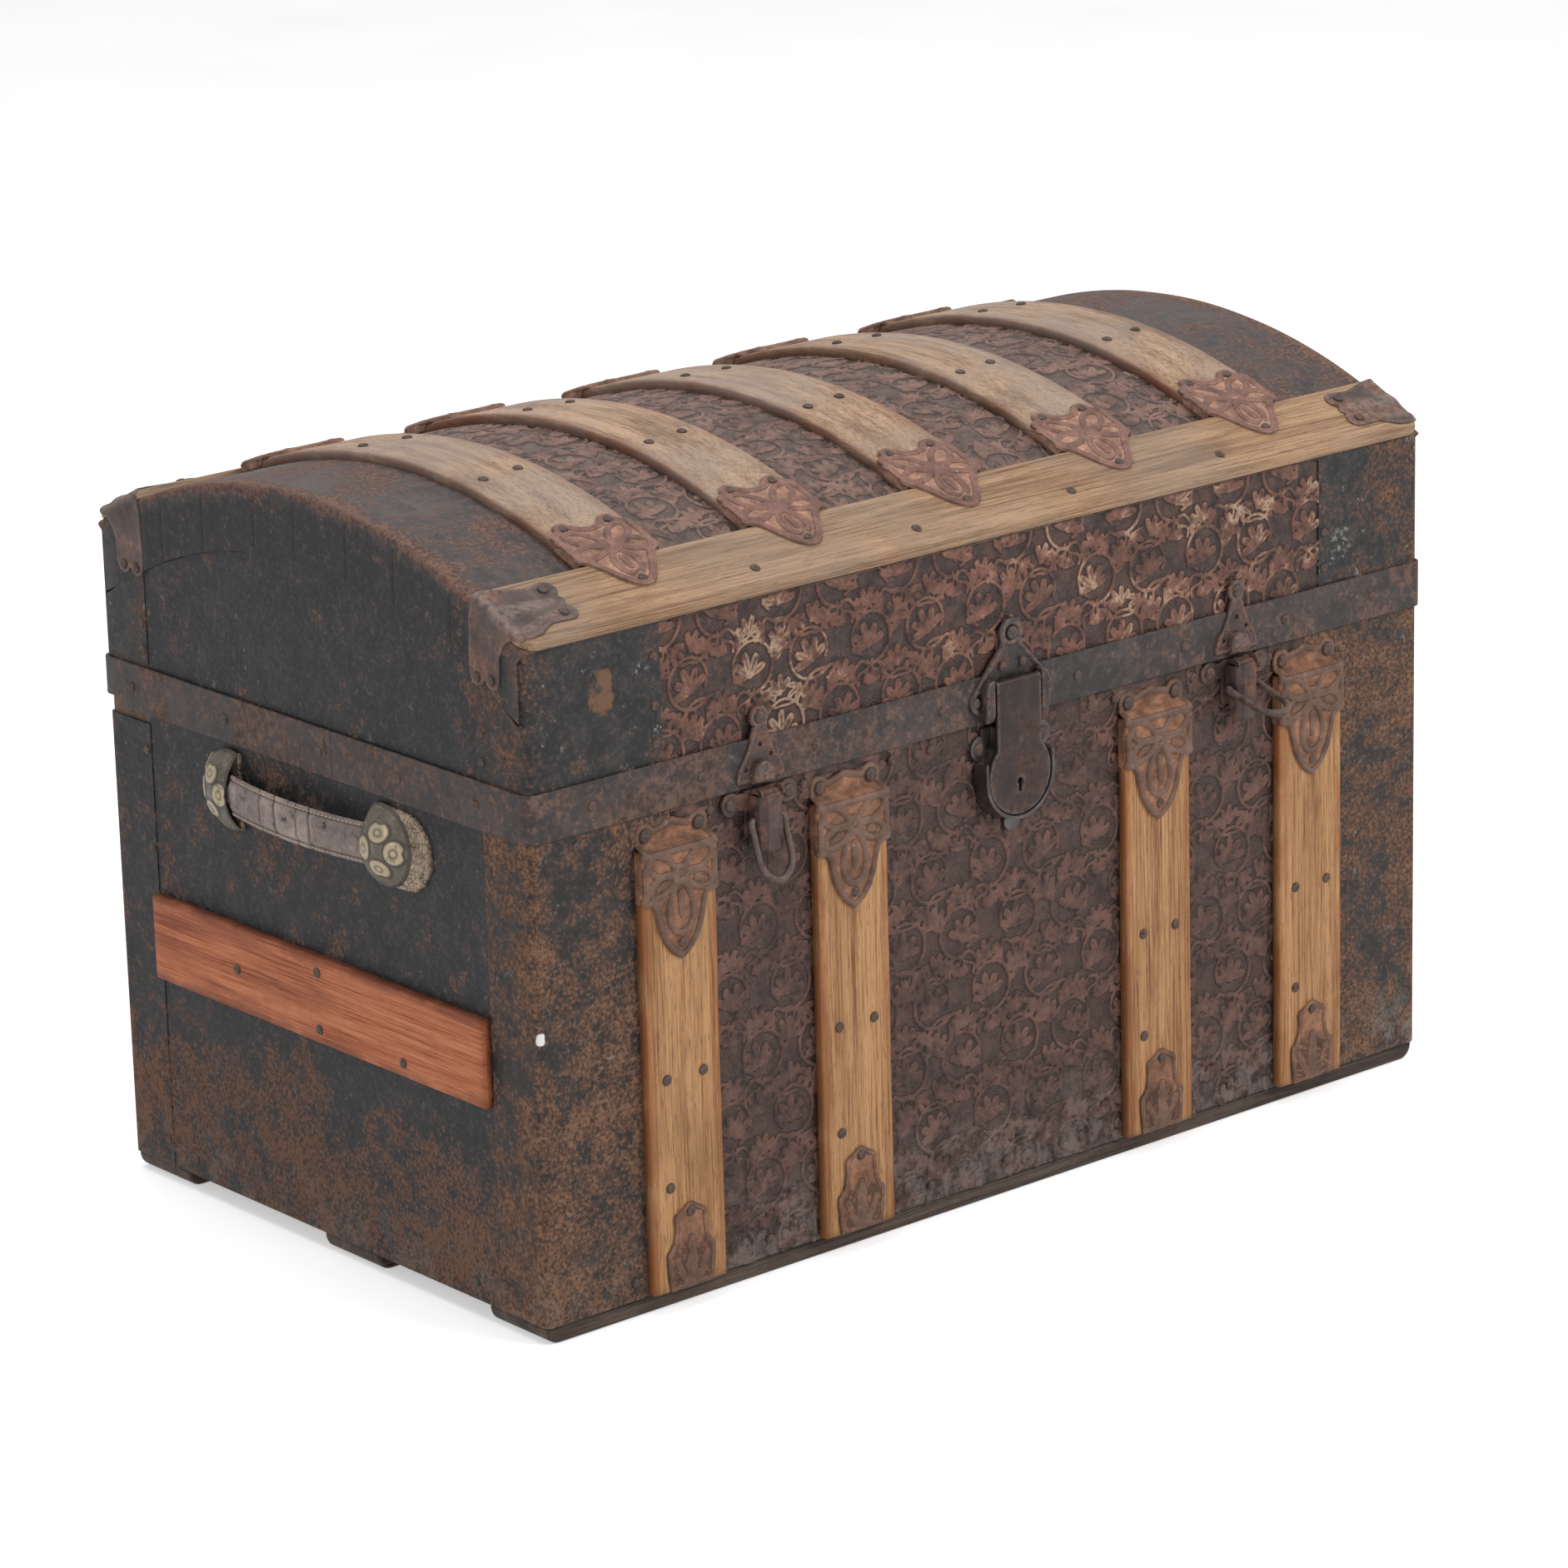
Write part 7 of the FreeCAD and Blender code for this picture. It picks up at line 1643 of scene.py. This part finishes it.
# ---------------------------------------------------------------- camera, stage and light
CAMERA_PLACE = (-2.507, -2.998, 1.430)
CAMERA_AIM = (0.61402, 0.73276, -0.29332)
CAMERA_ROLL = -1.488
CAMERA_LENS = 140.95
WORLD_LIGHT = 0.42
FLOOR_GLOW = 0.41
FLOOR_HALF = 14.0
LIGHT_TARGET = (0.0, 0.0, 0.25)
LIGHTS = (  # name, place, width, power
    ("key", (1.6, -3.2, 3.0), 2.2, 105),
    ("top", (-0.4, 0.6, 3.6), 2.6, 62),
    ("side", (-3.6, -0.6, 1.8), 1.8, 24),
)


def make_camera():
    """The photograph's view, found by matching the trunk's corners."""
    forward = Vector(CAMERA_AIM).normalized()
    flat = forward.cross(Vector((0, 0, 1))).normalized()
    above = flat.cross(forward)
    roll = math.radians(CAMERA_ROLL)
    right = flat * math.cos(roll) + above * math.sin(roll)
    data = bpy.data.cameras.new("camera")
    data.lens = CAMERA_LENS
    data.sensor_width = 36.0
    data.clip_start, data.clip_end = 0.1, 60.0
    camera = shown(bpy.data.objects.new("camera", data))
    turn = Matrix((right, right.cross(forward), -forward)).transposed()
    camera.matrix_world = Matrix.Translation(CAMERA_PLACE) @ turn.to_4x4()
    bpy.context.scene.camera = camera


def shown_to_eye(tree, low, high):
    """High for rays that see the background, straight or in a gloss or through glass, low for light."""
    path = tree.nodes.new("ShaderNodeLightPath")
    total = path.outputs["Is Camera Ray"]
    for name in ("Is Glossy Ray", "Is Transmission Ray"):
        node = tree.nodes.new("ShaderNodeMath")
        node.operation = "MAXIMUM"
        tree.links.new(total, node.inputs[0])
        tree.links.new(path.outputs[name], node.inputs[1])
        total = node.outputs[0]
    span = tree.nodes.new("ShaderNodeMapRange")
    span.inputs["To Min"].default_value = low
    span.inputs["To Max"].default_value = high
    tree.links.new(total, span.inputs["Value"])
    return span.outputs["Result"]


def make_world():
    world = bpy.data.worlds.new("studio")
    bpy.context.scene.world = world
    world.use_nodes = True
    tree = world.node_tree
    background = tree.nodes["Background"]
    background.inputs["Color"].default_value = (1, 1, 1, 1)
    tree.links.new(shown_to_eye(tree, WORLD_LIGHT, 1.0), background.inputs["Strength"])


def make_floor():
    mesh = bpy.data.meshes.new("floor")
    corners = [(x * FLOOR_HALF, y * FLOOR_HALF, 0) for x, y in ((-1, -1), (1, -1), (1, 1), (-1, 1))]
    mesh.from_pydata(corners, [], [(0, 1, 2, 3)])
    floor = shown(bpy.data.objects.new("floor", mesh))
    look = Look("floor_look", roughness=0.9, specular=0.1)
    look.colour = look.ramp(look.noise(3.2, 5, 0.6), (0.35, (0.90, 0.905, 0.92)), (0.6, (0.95, 0.95, 0.955)))
    mesh.materials.append(look.finish())
    look.put(look.shader.inputs["Emission Color"], (1, 1, 1))
    look.put(look.shader.inputs["Emission Strength"], shown_to_eye(look.material.node_tree, 0.0, FLOOR_GLOW))


def make_lights():
    for name, place, size, power in LIGHTS:
        data = bpy.data.lights.new(name, "AREA")
        data.shape = "DISK"
        data.size = size
        data.energy = power
        light = shown(bpy.data.objects.new(name, data))
        light.location = place
        light.rotation_mode = "QUATERNION"
        light.rotation_quaternion = (Vector(LIGHT_TARGET) - Vector(place)).to_track_quat("-Z", "Y")


# ---------------------------------------------------------------- putting it together
def dress_frame():
    """Every CAD piece gets a look; later ones replace the pieces that need more shape."""
    for node, obj in frame["nodes"].items():
        paint(obj, NODE_LOOKS.get(node, "plank"))
        crease(obj, 35)


def build():
    bpy.context.scene.view_settings.view_transform = "Standard"
    for make in (make_camera, make_world, make_floor, make_lights, dress_frame):
        make()
    embossed_front("front_embossed_sheet", "front_sheet", FRONT_SLATS[0], FRONT_SLATS[-1], (FOOT, SEAM),
                   FRONT_SLATS)
    embossed_front("lid_embossed_sheet", "lid_front_sheet", *LID_FRONT_SHEET, (SEAM, LID_SHEET_TOP),
                   step=LID_STEP)
    for make in (embossed_dome, front_slats, back_slats, end_slats, dome_slats, front_top_clamps,
                 front_foot_clamps, dome_slat_clamps, hasp_back_plate, hasp_flap, latch_catches,
                 latch_levers, latch_bails, corner_caps, dome_end_covers, handle_caps, handle_pads,
                 handle_straps, nail_heads):
        make()
    for node, width in WORN_EDGES.items():
        softened(node, width)


build()
